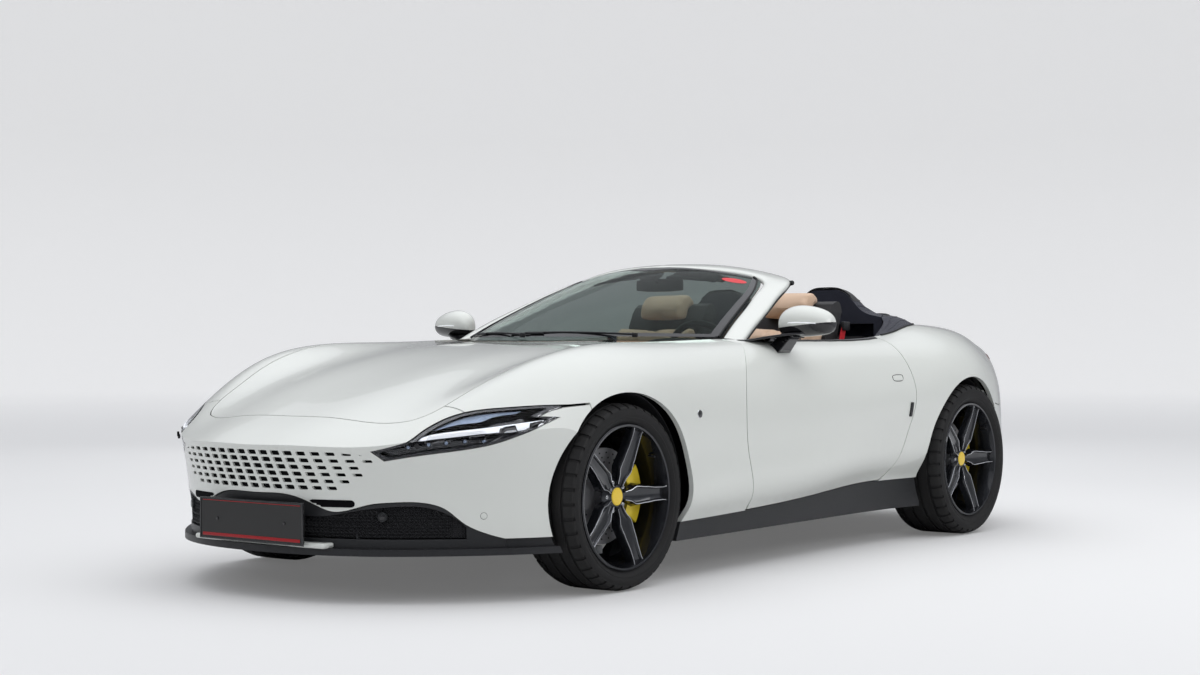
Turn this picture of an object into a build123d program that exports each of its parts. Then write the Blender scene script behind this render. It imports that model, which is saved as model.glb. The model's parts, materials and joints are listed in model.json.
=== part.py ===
from build123d import *
import math
import os

import numpy as np

# An open-top front-engined 2+2 grand tourer. Millimetres. X points to the car's left, Y to its tail and Z up.
# The origin is on the ground, under the middle of the car. Stations are distances behind the front axle.

# ---------------------------------------------------------------- driving dimensions
wheelbase = 2670.0
front_overhang = 960.0
rear_overhang = 1026.0
body_width = 1974.0
front_track = 1652.0
rear_track = 1679.0

front_tyre_radius = 340.0
front_tyre_width = 245.0
rear_tyre_radius = 353.0
rear_tyre_width = 285.0
rim_radius = 254.0
rim_lip = 14.0
front_arch_radius = 378.0
rear_arch_radius = 388.0
disc_radius = 175.0
disc_thickness = 30.0
hub_radius = 62.0

panel_thickness = 20.0
shut_gap = 5.0
seat_gap = 0.3
door_skin = 40.0
lens_thickness = 4.0
lamp_depth = 40.0
door_inset = 32.0
door_inner_x = 728.0
glass_thickness = 6.0
floor_thickness = 30.0

nose_edge_z = 541.0
grille_bar_depth = 14.0
grille_rows = 6
grille_columns = 17
grille_low_row_z = 396.0
grille_top_row_z = 514.0
grille_slant = 0.4
plate_width = 520.0
plate_height = 142.0
plate_z = 272.0
plate_thickness = 8.0

seat_spread = 348.0
seat_width = 460.0
steering_wheel_radius = 178.0
kingpin_x = 800.0
front_well_x = 518.0
rear_well_x = 668.0
liner_thickness = 5.0
door_hinge_x = 935.0
door_hinge_s = 862.0
door_hinge_heights = (480.0, 600.0)
hinge_pin_radius = 5.0
hinge_arm_width = 24.0
door_swing = 62

spoke_root_width = 26.0
spoke_tip_width = 20.0
rear_arch_seam_s = 2990.0
splitter_top_z = 190.0
splitter_thickness = 24.0
splitter_reach = 6.0
sill_bottom_z = 152.0
exhaust_z = 238.0
exhaust_radius = 38.0
exhaust_x = (-565, -472, 472, 565)
tunnel_top_z = 470.0
rear_floor_z = 420.0
firewall_s = 742.0
rear_wall_s = 2180.0
subframe_x = 480.0
axle_hole_radius = 32.0

frame_depth = 36.0
frame_crown = 9.0
frame_steps = 30
ring_points = 28
cowl_inset = 9.0
tonneau_base_z = 930.0
tonneau_lip_z = 1036.0
dash_x = 690.0

# The drawn car that the outlines below belong to; they follow when the sizes above are changed.
drawn_wheelbase = 2670.0
drawn_width = 1974.0
stretch_from = 900.0
stretch_to = 1900.0

front_axle_y = (front_overhang - wheelbase - rear_overhang) / 2
rear_axle_y = front_axle_y + wheelbase
front_axle_z = front_tyre_radius - 1.0
rear_axle_z = rear_tyre_radius - 1.0
rear_axle_s = drawn_wheelbase
wide = body_width / drawn_width


def along(s):
    """The Y of a drawn station: what lies behind the doors moves with the wheelbase."""
    share = min(1.0, max(0.0, (s - stretch_from) / (stretch_to - stretch_from)))
    return front_axle_y + s + share * (wheelbase - drawn_wheelbase)


# ---------------------------------------------------------------- the body's character lines: (station, x, z)
centre_line = [(-1060, 0, 468), (-955, 0, 542), (-764, 0, 632), (-500, 0, 722), (-200, 0, 803), (100, 0, 858),
               (400, 0, 890), (700, 0, 905), (1500, 0, 935), (2450, 0, 975), (2800, 0, 985), (3100, 0, 970),
               (3400, 0, 933), (3640, 0, 896), (3800, 0, 868)]
bonnet_crown = [(-1060, 210, 455), (-955, 230, 531), (-764, 260, 624), (-500, 290, 720), (-200, 310, 802),
                (100, 320, 857), (400, 330, 889), (700, 340, 904), (1500, 360, 934), (2450, 360, 976),
                (2800, 350, 985), (3100, 330, 968), (3400, 300, 929), (3640, 260, 892), (3800, 240, 863)]
bonnet_valley = [(-1060, 330, 420), (-955, 360, 500), (-764, 430, 597), (-500, 500, 706), (-200, 540, 800),
                 (100, 560, 862), (400, 560, 889), (700, 560, 902), (1500, 600, 928), (2450, 600, 977),
                 (2800, 580, 985), (3100, 560, 960), (3400, 510, 916), (3640, 450, 880), (3800, 420, 850)]
wing_crest = [(-1060, 480, 360), (-955, 510, 440), (-764, 585, 560), (-500, 665, 708), (-200, 715, 838),
              (100, 735, 890), (400, 740, 897), (700, 745, 902), (1000, 765, 908), (1400, 790, 906),
              (1900, 800, 912), (2200, 785, 935), (2480, 745, 975), (2800, 728, 974), (3100, 700, 943),
              (3300, 665, 903), (3500, 600, 880), (3640, 540, 862), (3800, 470, 835)]
shoulder = [(-1060, 600, 300), (-955, 640, 360), (-764, 705, 485), (-500, 780, 640), (-200, 830, 785),
            (100, 850, 847), (400, 850, 860), (700, 850, 866), (1000, 855, 868), (1400, 868, 866),
            (1900, 880, 868), (2200, 885, 882), (2480, 885, 905), (2800, 868, 900), (3000, 830, 878),
            (3200, 772, 852), (3400, 705, 826), (3640, 605, 800), (3800, 530, 770)]
upper_side = [(-1060, 700, 240), (-764, 800, 400), (-500, 862, 548), (-200, 910, 695), (100, 926, 772),
              (400, 924, 785), (700, 918, 787), (1000, 915, 786), (1400, 920, 784), (1900, 932, 780),
              (2200, 946, 788), (2480, 962, 802), (2800, 950, 795), (3000, 905, 775), (3200, 842, 745),
              (3400, 757, 712), (3640, 645, 680), (3800, 565, 650)]
widest_line = [(-1060, 790, 200), (-764, 870, 320), (-500, 918, 450), (-200, 955, 565), (100, 968, 610),
               (400, 964, 620), (700, 958, 620), (1000, 955, 620), (1400, 956, 620), (1900, 964, 622),
               (2200, 975, 635), (2480, 985, 645), (2700, 986, 642), (2850, 966, 635), (3000, 938, 622),
               (3150, 888, 605), (3400, 775, 580), (3640, 658, 560), (3800, 575, 540)]
lower_side = [(-1060, 808, 175), (-764, 892, 285), (-500, 935, 365), (-200, 960, 420), (100, 966, 440),
              (350, 962, 450), (780, 954, 460), (1400, 949, 480), (1790, 945, 500), (2100, 950, 520),
              (2480, 978, 550), (2700, 984, 550), (2850, 966, 545), (3000, 939, 535), (3150, 890, 520),
              (3400, 778, 500), (3640, 660, 480), (3800, 577, 465)]
tuck_line = [(-1060, 820, 140), (-764, 895, 215), (-500, 937, 245), (-200, 950, 252), (100, 949, 254),
             (350, 945, 260), (780, 934, 280), (1400, 920, 310), (1790, 904, 340), (2100, 912, 360),
             (2480, 955, 375), (2700, 972, 380), (2850, 960, 378), (3000, 933, 372), (3150, 886, 366),
             (3400, 777, 355), (3640, 660, 345), (3800, 578, 335)]
bottom_line = [(-1060, 820, 120), (-764, 900, 180), (-500, 925, 212), (-200, 935, 218), (100, 930, 220),
               (309, 922, 223), (1047, 892, 239), (1400, 876, 256), (1783, 862, 280), (2261, 880, 284),
               (2480, 920, 288), (2700, 952, 292), (2850, 948, 292), (3000, 922, 290), (3150, 878, 285),
               (3400, 772, 275), (3640, 657, 265), (3800, 576, 258)]
skin_floor_z = 60.0
skin_stations = [-1060 + 60 * i for i in range(14)] + [-200 + 95 * i for i in range(42)] + [3800]
skin_samples = 52

# ---------------------------------------------------------------- plan outlines of the ends: (x, station)
nose_plan = [(0, -950), (250, -925), (400, -874), (520, -805), (640, -702), (770, -560), (860, -430),
             (930, -280), (985, -180), (1070, -40)]
nose_lean = [(60, 34), (260, 26), (380, 20), (490, 0), (nose_edge_z, -10), (700, -30), (1100, -110)]
tail_plan = [(0, 3690), (300, 3664), (500, 3610), (640, 3545), (780, 3455), (1070, 3240)]
tail_lean = [(60, -200), (190, -120), (300, -44), (450, 6), (600, 0), (760, -45), (880, -24), (1100, -20)]


# ---------------------------------------------------------------- curves and surfaces
def natural_spline(knots, values):
    """Return a function that follows a natural cubic through the values at the knots."""
    knots = np.array(knots, float)
    values = np.array(values, float).reshape(len(knots), -1)
    gaps = np.diff(knots)
    matrix = np.eye(len(knots))
    right = np.zeros_like(values)
    for i in range(1, len(knots) - 1):
        matrix[i, i - 1:i + 2] = gaps[i - 1], 2 * (gaps[i - 1] + gaps[i]), gaps[i]
        right[i] = 6 * ((values[i + 1] - values[i]) / gaps[i] - (values[i] - values[i - 1]) / gaps[i - 1])
    bend = np.linalg.solve(matrix, right)

    def at(t):
        i = int(np.clip(np.searchsorted(knots, t) - 1, 0, len(gaps) - 1))
        a, b = (knots[i + 1] - t), (t - knots[i])
        h = gaps[i]
        return ((bend[i] * a**3 + bend[i + 1] * b**3) / (6 * h)
                + (values[i] / h - bend[i] * h / 6) * a + (values[i + 1] / h - bend[i + 1] * h / 6) * b)

    return at


def line_along(points):
    """Return a character line as a function from a station to (x, z)."""
    curve = natural_spline([s for s, x, z in points], [(x * wide, z) for s, x, z in points])
    return curve


side_lines = [line_along(points) for points in
              (centre_line, bonnet_crown, bonnet_valley, wing_crest, shoulder, upper_side,
               widest_line, lower_side, tuck_line, bottom_line)]
bottom_at = side_lines[-1]
crest_at = side_lines[3]
widest_at = side_lines[6]


def skin_row(s):
    """Return evenly spread points over the skin's cross-section at a station, from right sill to left."""
    half = [tuple(line(s)) for line in side_lines]
    low_x, low_z = half[-1]
    half.append((low_x - 16, (low_z + skin_floor_z) / 2 + 20))
    half.append((low_x - 40, skin_floor_z))
    section = [(-x, z) for x, z in reversed(half)] + half[1:]
    lengths = [0.0]
    for (xa, za), (xb, zb) in zip(section, section[1:]):
        lengths.append(lengths[-1] + math.hypot(xb - xa, zb - za))
    curve = natural_spline(lengths, section)
    return [curve(lengths[-1] * i / skin_samples) for i in range(skin_samples + 1)]


def skin_grid(inset):
    """Return the skin's points, moved inwards by the inset."""
    rows = [[(x, along(s), z) for x, z in skin_row(s)] for s in skin_stations]
    points = np.array(rows)
    along_body = np.gradient(points, axis=0)
    across_body = np.gradient(points, axis=1)
    normal = np.cross(along_body, across_body)
    normal[0, :, 1] = normal[-1, :, 1] = 0
    normal[:, 0, 1:] = normal[:, -1, 1:] = 0
    normal /= np.linalg.norm(normal, axis=2, keepdims=True)
    return points + normal * inset


def arch_solid(inset=0.0):
    """Return the solid under the body's skin, closed by its two ends and a flat underside."""
    skin = Face.make_surface_from_array_of_points(
        [[tuple(p) for p in row] for row in skin_grid(inset)], tol=0.4, min_deg=3, max_deg=5)
    ends = sorted(skin.edges(), key=lambda e: e.center().Y)
    front, rear = ends[0], ends[-1]
    sides = ends[1:-1]
    caps = [Face(Wire([end, Edge.make_line(end @ 1, end @ 0)])) for end in (front, rear)]
    left, right = sorted(sides, key=lambda e: -e.center().X)

    def tip(edge, side):
        return max((edge @ 0, edge @ 1), key=lambda p: side * p.X)

    floor = Face(Wire([left, right, Edge.make_line(tip(front, 1), tip(front, -1)),
                       Edge.make_line(tip(rear, 1), tip(rear, -1))]))
    return Solid(Shell([skin, floor, *caps]))


def lean_at(table, z):
    """Return how far an end's outline moves at a height, from its (height, move) table."""
    return float(natural_spline([row[0] for row in table], [row[1] for row in table])(z)[0])


def mirrored_outline(plan):
    """Return a half outline's points with their mirror image, from right to left."""
    return [(-x, s) for x, s in reversed(plan)] + list(plan[1:])


def plan_wire(z, inset):
    """Return the body's plan outline at a height, from nose to tail, moved inwards by the inset."""
    nose_move = lean_at(nose_lean, z) + inset
    tail_move = lean_at(tail_lean, z) - inset
    nose = [(x * wide, along(s + nose_move), z) for x, s in mirrored_outline(nose_plan)]
    tail = [(x * wide, along(s + tail_move), z) for x, s in mirrored_outline(tail_plan)]
    front_curve = Edge.make_spline(nose)
    rear_curve = Edge.make_spline(tail[::-1])
    return Wire([front_curve, Edge.make_line(nose[-1], tail[-1]), rear_curve,
                 Edge.make_line(tail[0], nose[0])])


def plan_solid(inset=0.0):
    """Return the solid inside the body's plan outline at every height."""
    heights = [60, 190, 260, 320, 380, 440, 490, nose_edge_z, 600, 660, 760, 880, 1000, 1100]
    return Solid.make_loft([plan_wire(z, inset) for z in heights])


forms = {}


def body_solid(inset=0.0):
    """Return the whole body's outer form, moved inwards by the inset."""
    if inset not in forms:
        forms[inset] = (arch_solid(inset) & plan_solid(inset)).solid()
    return forms[inset]


def curve_wire(points, smooth):
    """Return open edges through the points: one spline, or straight runs."""
    if smooth:
        return [Edge.make_spline(points)]
    return [Edge.make_line(a, b) for a, b in zip(points, points[1:])]


def plan_prism(runs, low_z, high_z):
    """Return an upright prism over a closed plan outline of (smooth, [(x, station), ...]) runs."""
    edges = []
    first = last = None
    for smooth, points in runs:
        points = [(x * wide, along(s), low_z) for x, s in points]
        if last is not None and math.dist(last, points[0]) > 1e-6:
            edges.append(Edge.make_line(last, points[0]))
        edges += curve_wire(points, smooth)
        first, last = first or points[0], points[-1]
    if math.dist(last, first) > 1e-6:
        edges.append(Edge.make_line(last, first))
    return Solid.extrude(Face(Wire(edges)), Vector(0, 0, high_z - low_z))


def side_prism(runs, low_x, high_x):
    """Return a sideways prism over a closed side outline of (smooth, [(station, z), ...]) runs."""
    edges = []
    first = last = None
    for smooth, points in runs:
        points = [(low_x, along(s), z) for s, z in points]
        if last is not None and math.dist(last, points[0]) > 1e-6:
            edges.append(Edge.make_line(last, points[0]))
        edges += curve_wire(points, smooth)
        first, last = first or points[0], points[-1]
    if math.dist(last, first) > 1e-6:
        edges.append(Edge.make_line(last, first))
    return Solid.extrude(Face(Wire(edges)), Vector(high_x - low_x, 0, 0))


def front_prism(runs, near_y, far_y):
    """Return a lengthwise prism over a closed front outline of (smooth, [(x, z), ...]) runs."""
    edges = []
    first = last = None
    for smooth, points in runs:
        points = [(x * wide, near_y, z) for x, z in points]
        if last is not None and math.dist(last, points[0]) > 1e-6:
            edges.append(Edge.make_line(last, points[0]))
        edges += curve_wire(points, smooth)
        first, last = first or points[0], points[-1]
    if math.dist(last, first) > 1e-6:
        edges.append(Edge.make_line(last, first))
    return Solid.extrude(Face(Wire(edges)), Vector(0, far_y - near_y, 0))


def box(x0, x1, y0, y1, z0, z1):
    """Return a box between two corners."""
    return Pos((x0 + x1) / 2, (y0 + y1) / 2, (z0 + z1) / 2) * Box(abs(x1 - x0), abs(y1 - y0), abs(z1 - z0))


def rod(start, end, radius):
    """Return a round bar between two points."""
    start, end = Vector(*start), Vector(*end)
    plane = Plane(origin=start, z_dir=end - start)
    return Solid.extrude(Face(Wire(Edge.make_circle(radius, plane))), end - start)


def upright(x, s, radius, z0, z1):
    """A round bar standing at x and station s, from z0 to z1."""
    return rod((x, along(s), z0), (x, along(s), z1), radius)


def cross_drum(y, z, radius, x0, x1):
    """Return a drum that lies across the car."""
    return rod((x0, y, z), (x1, y, z), radius)


def both_sides(shape):
    """Return a left-hand shape with its right-hand twin."""
    return Compound(children=list(shape.solids()) + list(mirror(shape, about=Plane.YZ).solids()))


parts = {}


def keep(name, shape, count=None):
    """File a part's solids under its name, leaving out crumbs that cuts may shed."""
    solids = sorted(shape.solids(), key=lambda solid: -solid.volume)
    solids = solids[:count] if count else [solid for solid in solids if solid.volume > 400]
    parts[name] = solids[0] if len(solids) == 1 else Compound(children=solids)


front_limit = -1300.0
rear_limit = 4000.0
sky_z = 1400.0
far_x = 1300.0

# ---------------------------------------------------------------- shut lines
bonnet_side = [(510, -690), (565, -620), (600, -480), (632, -345), (665, -147), (690, 76), (705, 270),
               (713, 450),
               (716, 640), (712, 800)]
bonnet_front = [(0, -764), (200, -760), (400, -736), (510, -690)]
bonnet_rear = [(712, 800), (640, 720), (500, 650), (300, 600), (0, 575)]
cabin_side = [(722, 890), (757, 1000), (780, 1400), (790, 1900), (775, 2200), (735, 2480), (690, 2620),
              (600, 2720)]
cabin_rear = [(600, 2720), (300, 2755), (0, 2765)]
boot_front = [(0, 2850), (300, 2845), (480, 2825)]
boot_side_x = 520.0
door_front = [(835, 280), (790, 430), (762, 600), (775, 700), (820, 785), (880, 850), (940, 888), (1020, 915)]
door_rear = [(1975, 280), (2017, 324), (2075, 440), (2111, 555), (2125, 640), (2125, 740), (2100, 850),
             (2070, 960)]
lamp_low = [(-200, 676), (-330, 636), (-412, 604), (-494, 571), (-545, 550), (-612, 532), (-718, 513),
            (-812, 490)]
lamp_top = [(-843, 524), (-803, 542), (-773, 557), (-717, 591), (-663, 621), (-621, 641), (-560, 661),
            (-484, 671),
            (-378, 678), (-290, 679), (-200, 676)]
lamp_tongue_top = [(-392, 640), (-350, 656.5), (-298, 668.5), (-241, 673), (-200, 676)]
lamp_tongue_low = (-331, 636.5)
lamp_middle = [(-200, 676), (-300, 673), (-350, 667), (-400, 650), (-584, 600)]
wing_seam_s = -584.0
lower_cut = [(0, 372), (180, 366), (270, 335), (330, 316), (390, 324), (450, 342), (520, 350), (600, 349),
             (650, 330),
             (700, 275), (745, 243), (790, 222)]
intake_half = [(0, 300), (150, 300), (300, 300), (420, 322), (520, 334), (600, 332), (650, 312), (700, 262)]
grille_half = [(0, 533), (250, 526), (440, 512), (500, 488), (470, 440), (385, 386), (200, 380), (0, 380)]


def bonnet_outline(gap):
    """Return the bonnet's plan runs, drawn in by a gap (or out, if negative)."""
    right = [(-x, s) for x, s in bonnet_side]
    front = mirrored_outline(bonnet_front)
    rear = mirrored_outline(bonnet_rear[::-1])[::-1]
    closed = [(True, [(x, s + gap) for x, s in front]),
              (True, [(x - gap, s) for x, s in bonnet_side]),
              (True, [(x, s - gap) for x, s in rear]),
              (True, [(x + gap, s) for x, s in right[::-1]])]
    closed[1] = (True, [closed[0][1][-1]] + closed[1][1][1:-1] + [closed[2][1][0]])
    closed[3] = (True, [closed[2][1][-1]] + closed[3][1][1:-1] + [closed[0][1][0]])
    return closed


def boot_outline(gap):
    """Return the boot lid's plan runs, drawn in by a gap."""
    front = [(x * (boot_side_x - gap) / 480, s + gap) for x, s in mirrored_outline(boot_front)]
    return [(True, front), (False, [(boot_side_x - gap, rear_limit), (gap - boot_side_x, rear_limit)])]


def cabin_outline(gap):
    """Return the cabin opening's plan runs, grown by a gap."""
    rear_end = [(x, s - gap) for x, s in bonnet_rear]
    side = [(712 + gap / 2, 800 + gap)] + [(x + gap, s) for x,
                                           s in cabin_side[:-1]] + [(600 + gap, 2720 + gap)]
    rear = [(x, s + gap) for x, s in mirrored_outline(cabin_rear[::-1])]
    rear = [side[-1]] + rear[::-1][1:-1] + [(-side[-1][0], side[-1][1])]
    front = mirrored_outline(rear_end[::-1])
    front = [(-side[0][0], side[0][1])] + front[1:-1] + [side[0]]
    return [(True, front), (True, side), (True, rear), (True, [(-x, s) for x, s in reversed(side)])]


def door_region(inset, low_x, high_x):
    """Return the region of a left door, its front and rear shut lines moved in by an inset."""
    front = [(s + inset, z) for s, z in door_front]
    rear = [(s - inset, z) for s, z in door_rear]
    bottom = [(s, bottom_at(s)[1] + shut_gap + max(0.0, inset)) for s in
              (1900, 1783, 1600, 1400, 1200, 1047, 940)]
    front[0] = (front[0][0] + 8, bottom_at(front[0][0])[1] + shut_gap + max(0.0, inset))
    rear[0] = (rear[0][0], bottom_at(rear[0][0])[1] + shut_gap + max(0.0, inset))
    return side_prism([(True, front), (True, rear[::-1]), (True, [rear[0], *bottom, front[0]])], low_x,
                      high_x)


# ---------------------------------------------------------------- body forms used by every panel
outer_form = body_solid()
inner_form = body_solid(panel_thickness)
structure_form = body_solid(panel_thickness + seat_gap)
skin = outer_form - inner_form
front_y = front_axle_y
rear_y = rear_axle_y
liner_drums = Compound(children=[
    *both_sides(cross_drum(front_y, front_axle_z, front_arch_radius + liner_thickness + seat_gap,
                           front_well_x, far_x)).solids(),
    *both_sides(cross_drum(rear_y, rear_axle_z, rear_arch_radius + liner_thickness + seat_gap,
                           rear_well_x, far_x)).solids()])
front_arches = both_sides(cross_drum(front_y, front_axle_z, front_arch_radius, front_well_x, far_x))
rear_arches = both_sides(cross_drum(rear_y, rear_axle_z, rear_arch_radius, rear_well_x, far_x))
bonnet_hole = plan_prism(bonnet_outline(0), 300, sky_z)
cabin_hole = plan_prism(cabin_outline(0), 700, sky_z)
boot_hole = plan_prism(boot_outline(0), 560, sky_z)


def lamp_tongue(grow):
    """Return the painted tongue that notches a lamp from behind. A grown one takes off the lamp's thin tail too."""
    top = [(lamp_tongue_top[0][0] - 2.4 * grow, lamp_tongue_top[0][1])]
    top += [(s, z + grow) for s, z in lamp_tongue_top[1:]]
    sky = top[-1][1]
    if grow:
        sky = 700
        top = top[:2] + [(-305 - grow, 667 + grow), (-300 - grow, sky)]
    low_s, low_z = lamp_tongue_low
    return side_prism([(False, top + [(-150, sky), (-150, 560), (low_s - 0.3 * grow, low_z - grow)])], 380,
                      far_x)


lamp_hole = side_prism([(True, lamp_low), (True, lamp_top)], 380, far_x) - lamp_tongue(0)


def under_line(low_s, high_s, drop=0.0):
    """Return what lies under the body's painted lower edge, lowered by a drop."""
    stations = [low_s + (high_s - low_s) * i / 24 for i in range(25)]
    edge = [(s, bottom_at(s)[1] - drop) for s in stations]
    return side_prism([(True, edge), (False, [(high_s, 0), (low_s, 0)])], -far_x, far_x)


def build_bonnet():
    """The bonnet: an outer skin, with a deeper pressing set in from its edges."""
    outer = (outer_form & plan_prism(bonnet_outline(shut_gap), 300, sky_z)) - body_solid(9)
    inner = (body_solid(9) & plan_prism(bonnet_outline(shut_gap + 22), 300, sky_z)) - inner_form
    keep("bonnet", outer.solid() + inner.solid(), 1)


def build_front_bumper():
    """The painted nose around the grille, the lamps and the lower intake."""
    middle = [(wing_seam_s, 1300), (wing_seam_s, 600)] + lamp_middle[::-1][1:] + [(-200, 640), (-200, 0)]
    region = side_prism([(False, [(front_limit, 0), (front_limit, 1300), *middle])], -far_x, far_x)
    body = skin & region
    lower = mirrored_outline(lower_cut)
    mouth = front_prism([(True, lower), (False, [(790, 0), (-790, 0)])], along(front_limit), along(-300))
    grille = front_prism([(True, mirrored_outline(grille_half[:3])), (False, [(440, 512), *grille_half[3:6]]),
                          (False, [(x, z) for x, z in mirrored_outline(grille_half[:4:-1])][::-1]),
                          (False, [(-x, z) for x, z in grille_half[5:1:-1]])], along(front_limit),
                          along(-500))
    under = box(-far_x, far_x, along(front_limit), along(-200), 0, 222)
    for cut in (mouth, grille, under, bonnet_hole, lamp_hole, mirror(lamp_hole, about=Plane.YZ),
                *front_arches.solids()):
        body = body - cut
    keep("front_bumper", body, 1)
    return mouth, grille


def build_grille(opening):
    """The body-coloured grille, whose rounded slots lean one way and shrink towards its ends."""
    shell = ((outer_form & opening) - body_solid(grille_bar_depth)).solid()
    pitch_z = (grille_top_row_z - grille_low_row_z) / (grille_rows - 1)
    pitch_x = 2 * 470.0 / grille_columns
    holes = []
    for row in range(grille_rows):
        z = grille_low_row_z + pitch_z * row
        reach = 478 if z > 455 else 478 - (455 - z) * 1.75
        for column in range(-grille_columns, grille_columns + 1):
            x = column * pitch_x - grille_slant * (z - grille_low_row_z)
            shrink = 1 - 0.46 * min(1.0, max(0.0, (abs(x) - 140) / 340))
            w, h = pitch_x * 0.36 * (0.4 + 0.6 * shrink), pitch_z * 0.33 * shrink
            if abs(x) + w > reach * wide:
                continue
            lean = grille_slant * h
            corners = [(x - w + lean, z - h), (x + w + lean, z - h), (x + w - lean, z + h),
                       (x - w - lean, z + h)]
            face = Face(Wire.make_polygon([(a, along(front_limit), b) for a, b in corners]))
            face = face.fillet_2d(h * 0.45, face.vertices())
            holes.append(Solid.extrude(face, Vector(0, 700, 0)))
    parts["grille"] = (shell - Compound(children=holes)).solid()


def build_headlamps():
    """The lamp bowls, and the clear lenses over them."""
    inner_low = [(s, z + 4) for s, z in lamp_low]
    inner_top = [(s, z - 4) for s, z in lamp_top]
    inner_low[0] = inner_top[-1] = (-212, 674)
    inner_low[-1] = (-811, 494.6)
    inner_top[0] = (-836.5, 523)
    region = side_prism([(True, inner_low), (True, inner_top)], 400, far_x) - lamp_tongue(4)
    flange_low = [(s, z + seat_gap) for s, z in lamp_low]
    flange_top = [(s, z - seat_gap) for s, z in lamp_top]
    flange_low[0] = flange_top[-1] = (-202, 675.4)
    flange_low[-1] = (-811.9, 490.6)
    flange_top[0] = (-842.6, 523.8)
    flange = side_prism([(True, flange_low), (True, flange_top)], 400, far_x) - lamp_tongue(seat_gap)
    lens = ((outer_form & region) - body_solid(lens_thickness)).solids().sort_by(SortBy.VOLUME)[-1]
    bowl = (body_solid(lens_thickness + seat_gap) & flange) - body_solid(lamp_depth)
    grille_tips = box(-496, 496, along(-840), along(-800), 470, 496)
    for cut in (*front_arches.solids(), bonnet_hole, grille_tips):
        bowl = bowl - cut
    rim = side_prism([(True, grown_run(inner_low, -7)), (True, grown_run(inner_top, -7))], 400, far_x)
    rim = rim - lamp_tongue(12)
    bowl = bowl - ((rim & body_solid(lens_thickness)) - body_solid(lamp_depth - 6))
    keep("headlamp_lenses", both_sides(lens), 2)
    keep("headlamps", both_sides(bowl.solids().sort_by(SortBy.VOLUME)[-1]), 2)


def grown_run(points, amount):
    """Return a lamp outline run moved towards the lamp's middle line by an amount."""
    moved = []
    for s, z in points:
        middle = 676 - 0.245 * (-200 - s)
        share = min(1.0, abs(amount) / max(1.0, abs(z - middle)))
        moved.append((s, z + (middle - z) * share))
    moved[0] = (moved[0][0] + (12 if moved[0][0] < -500 else -30), moved[0][1])
    moved[-1] = (moved[-1][0] + (12 if moved[-1][0] < -500 else -30), moved[-1][1])
    return moved


def build_front_wings():
    """The wings, from the lamps over the arches to the doors."""
    middle = [(-200 + shut_gap, 0), (-200 + shut_gap, 640), (-200 + shut_gap, 684)]
    middle += [(s, z + 5) for s, z in lamp_middle[1:-1]] + [(wing_seam_s + shut_gap, 605),
                                                            (wing_seam_s + shut_gap, 1300)]
    edge = [(s - shut_gap, z) for s, z in door_front]
    region = side_prism([(False, middle + [(edge[-1][0], 1300)]), (True, edge[::-1]),
                         (False, [(edge[0][0], 0)])],
                        0, far_x)
    body = skin & region
    for cut in (under_line(-300, 1300), bonnet_hole, cabin_hole, lamp_hole, *front_arches.solids()):
        body = body - cut
    keep("front_wings", both_sides(body.solids().sort_by(SortBy.VOLUME)[-1]), 2)


def hinge_sweep(degrees, low_z, high_z):
    """Return the room that a hinge arm takes in the left door's own axes once it has swung by some degrees."""
    half = hinge_arm_width / 2 + 5
    arm = box(door_hinge_x - 235, door_hinge_x, along(door_hinge_s - half), along(door_hinge_s + half),
              low_z, high_z)
    pin = Pos(door_hinge_x, along(door_hinge_s), 0)
    return pin * Rot(0, 0, degrees) * pin.inverse() * arm


def build_doors():
    """The doors: an outer skin to the shut lines and a thick inner shell set in from them."""
    outer = (outer_form & door_region(0, 500, far_x)) - body_solid(door_skin)
    deep = body_solid(door_skin) & door_region(door_inset, 500, far_x)
    deep = deep & box(door_inner_x, far_x, along(0), along(3000), 0, sky_z)
    shell = outer.solids().sort_by(SortBy.VOLUME)[-1] + deep.solids().sort_by(SortBy.VOLUME)[-1]
    shell = (shell - cabin_hole).solids().sort_by(SortBy.VOLUME)[-1]
    for z in door_hinge_heights:
        half = hinge_arm_width / 2 + 5
        shell = shell - box(door_hinge_x - 235, door_hinge_x, along(700), along(door_hinge_s + 18), z - half,
                            z + half)
        shell = shell - upright(door_hinge_x, door_hinge_s, hinge_arm_width / 2 + 3, z - half, z + half)
        for degrees in range(8, door_swing + 5, 8):
            shell = shell - hinge_sweep(degrees, z - half, z + half)
        shell = shell + upright(door_hinge_x, door_hinge_s, hinge_pin_radius, z - half - 1, z + half + 1)
    keep("door_left", shell)
    keep("door_right", mirror(shell, about=Plane.YZ))


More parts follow.
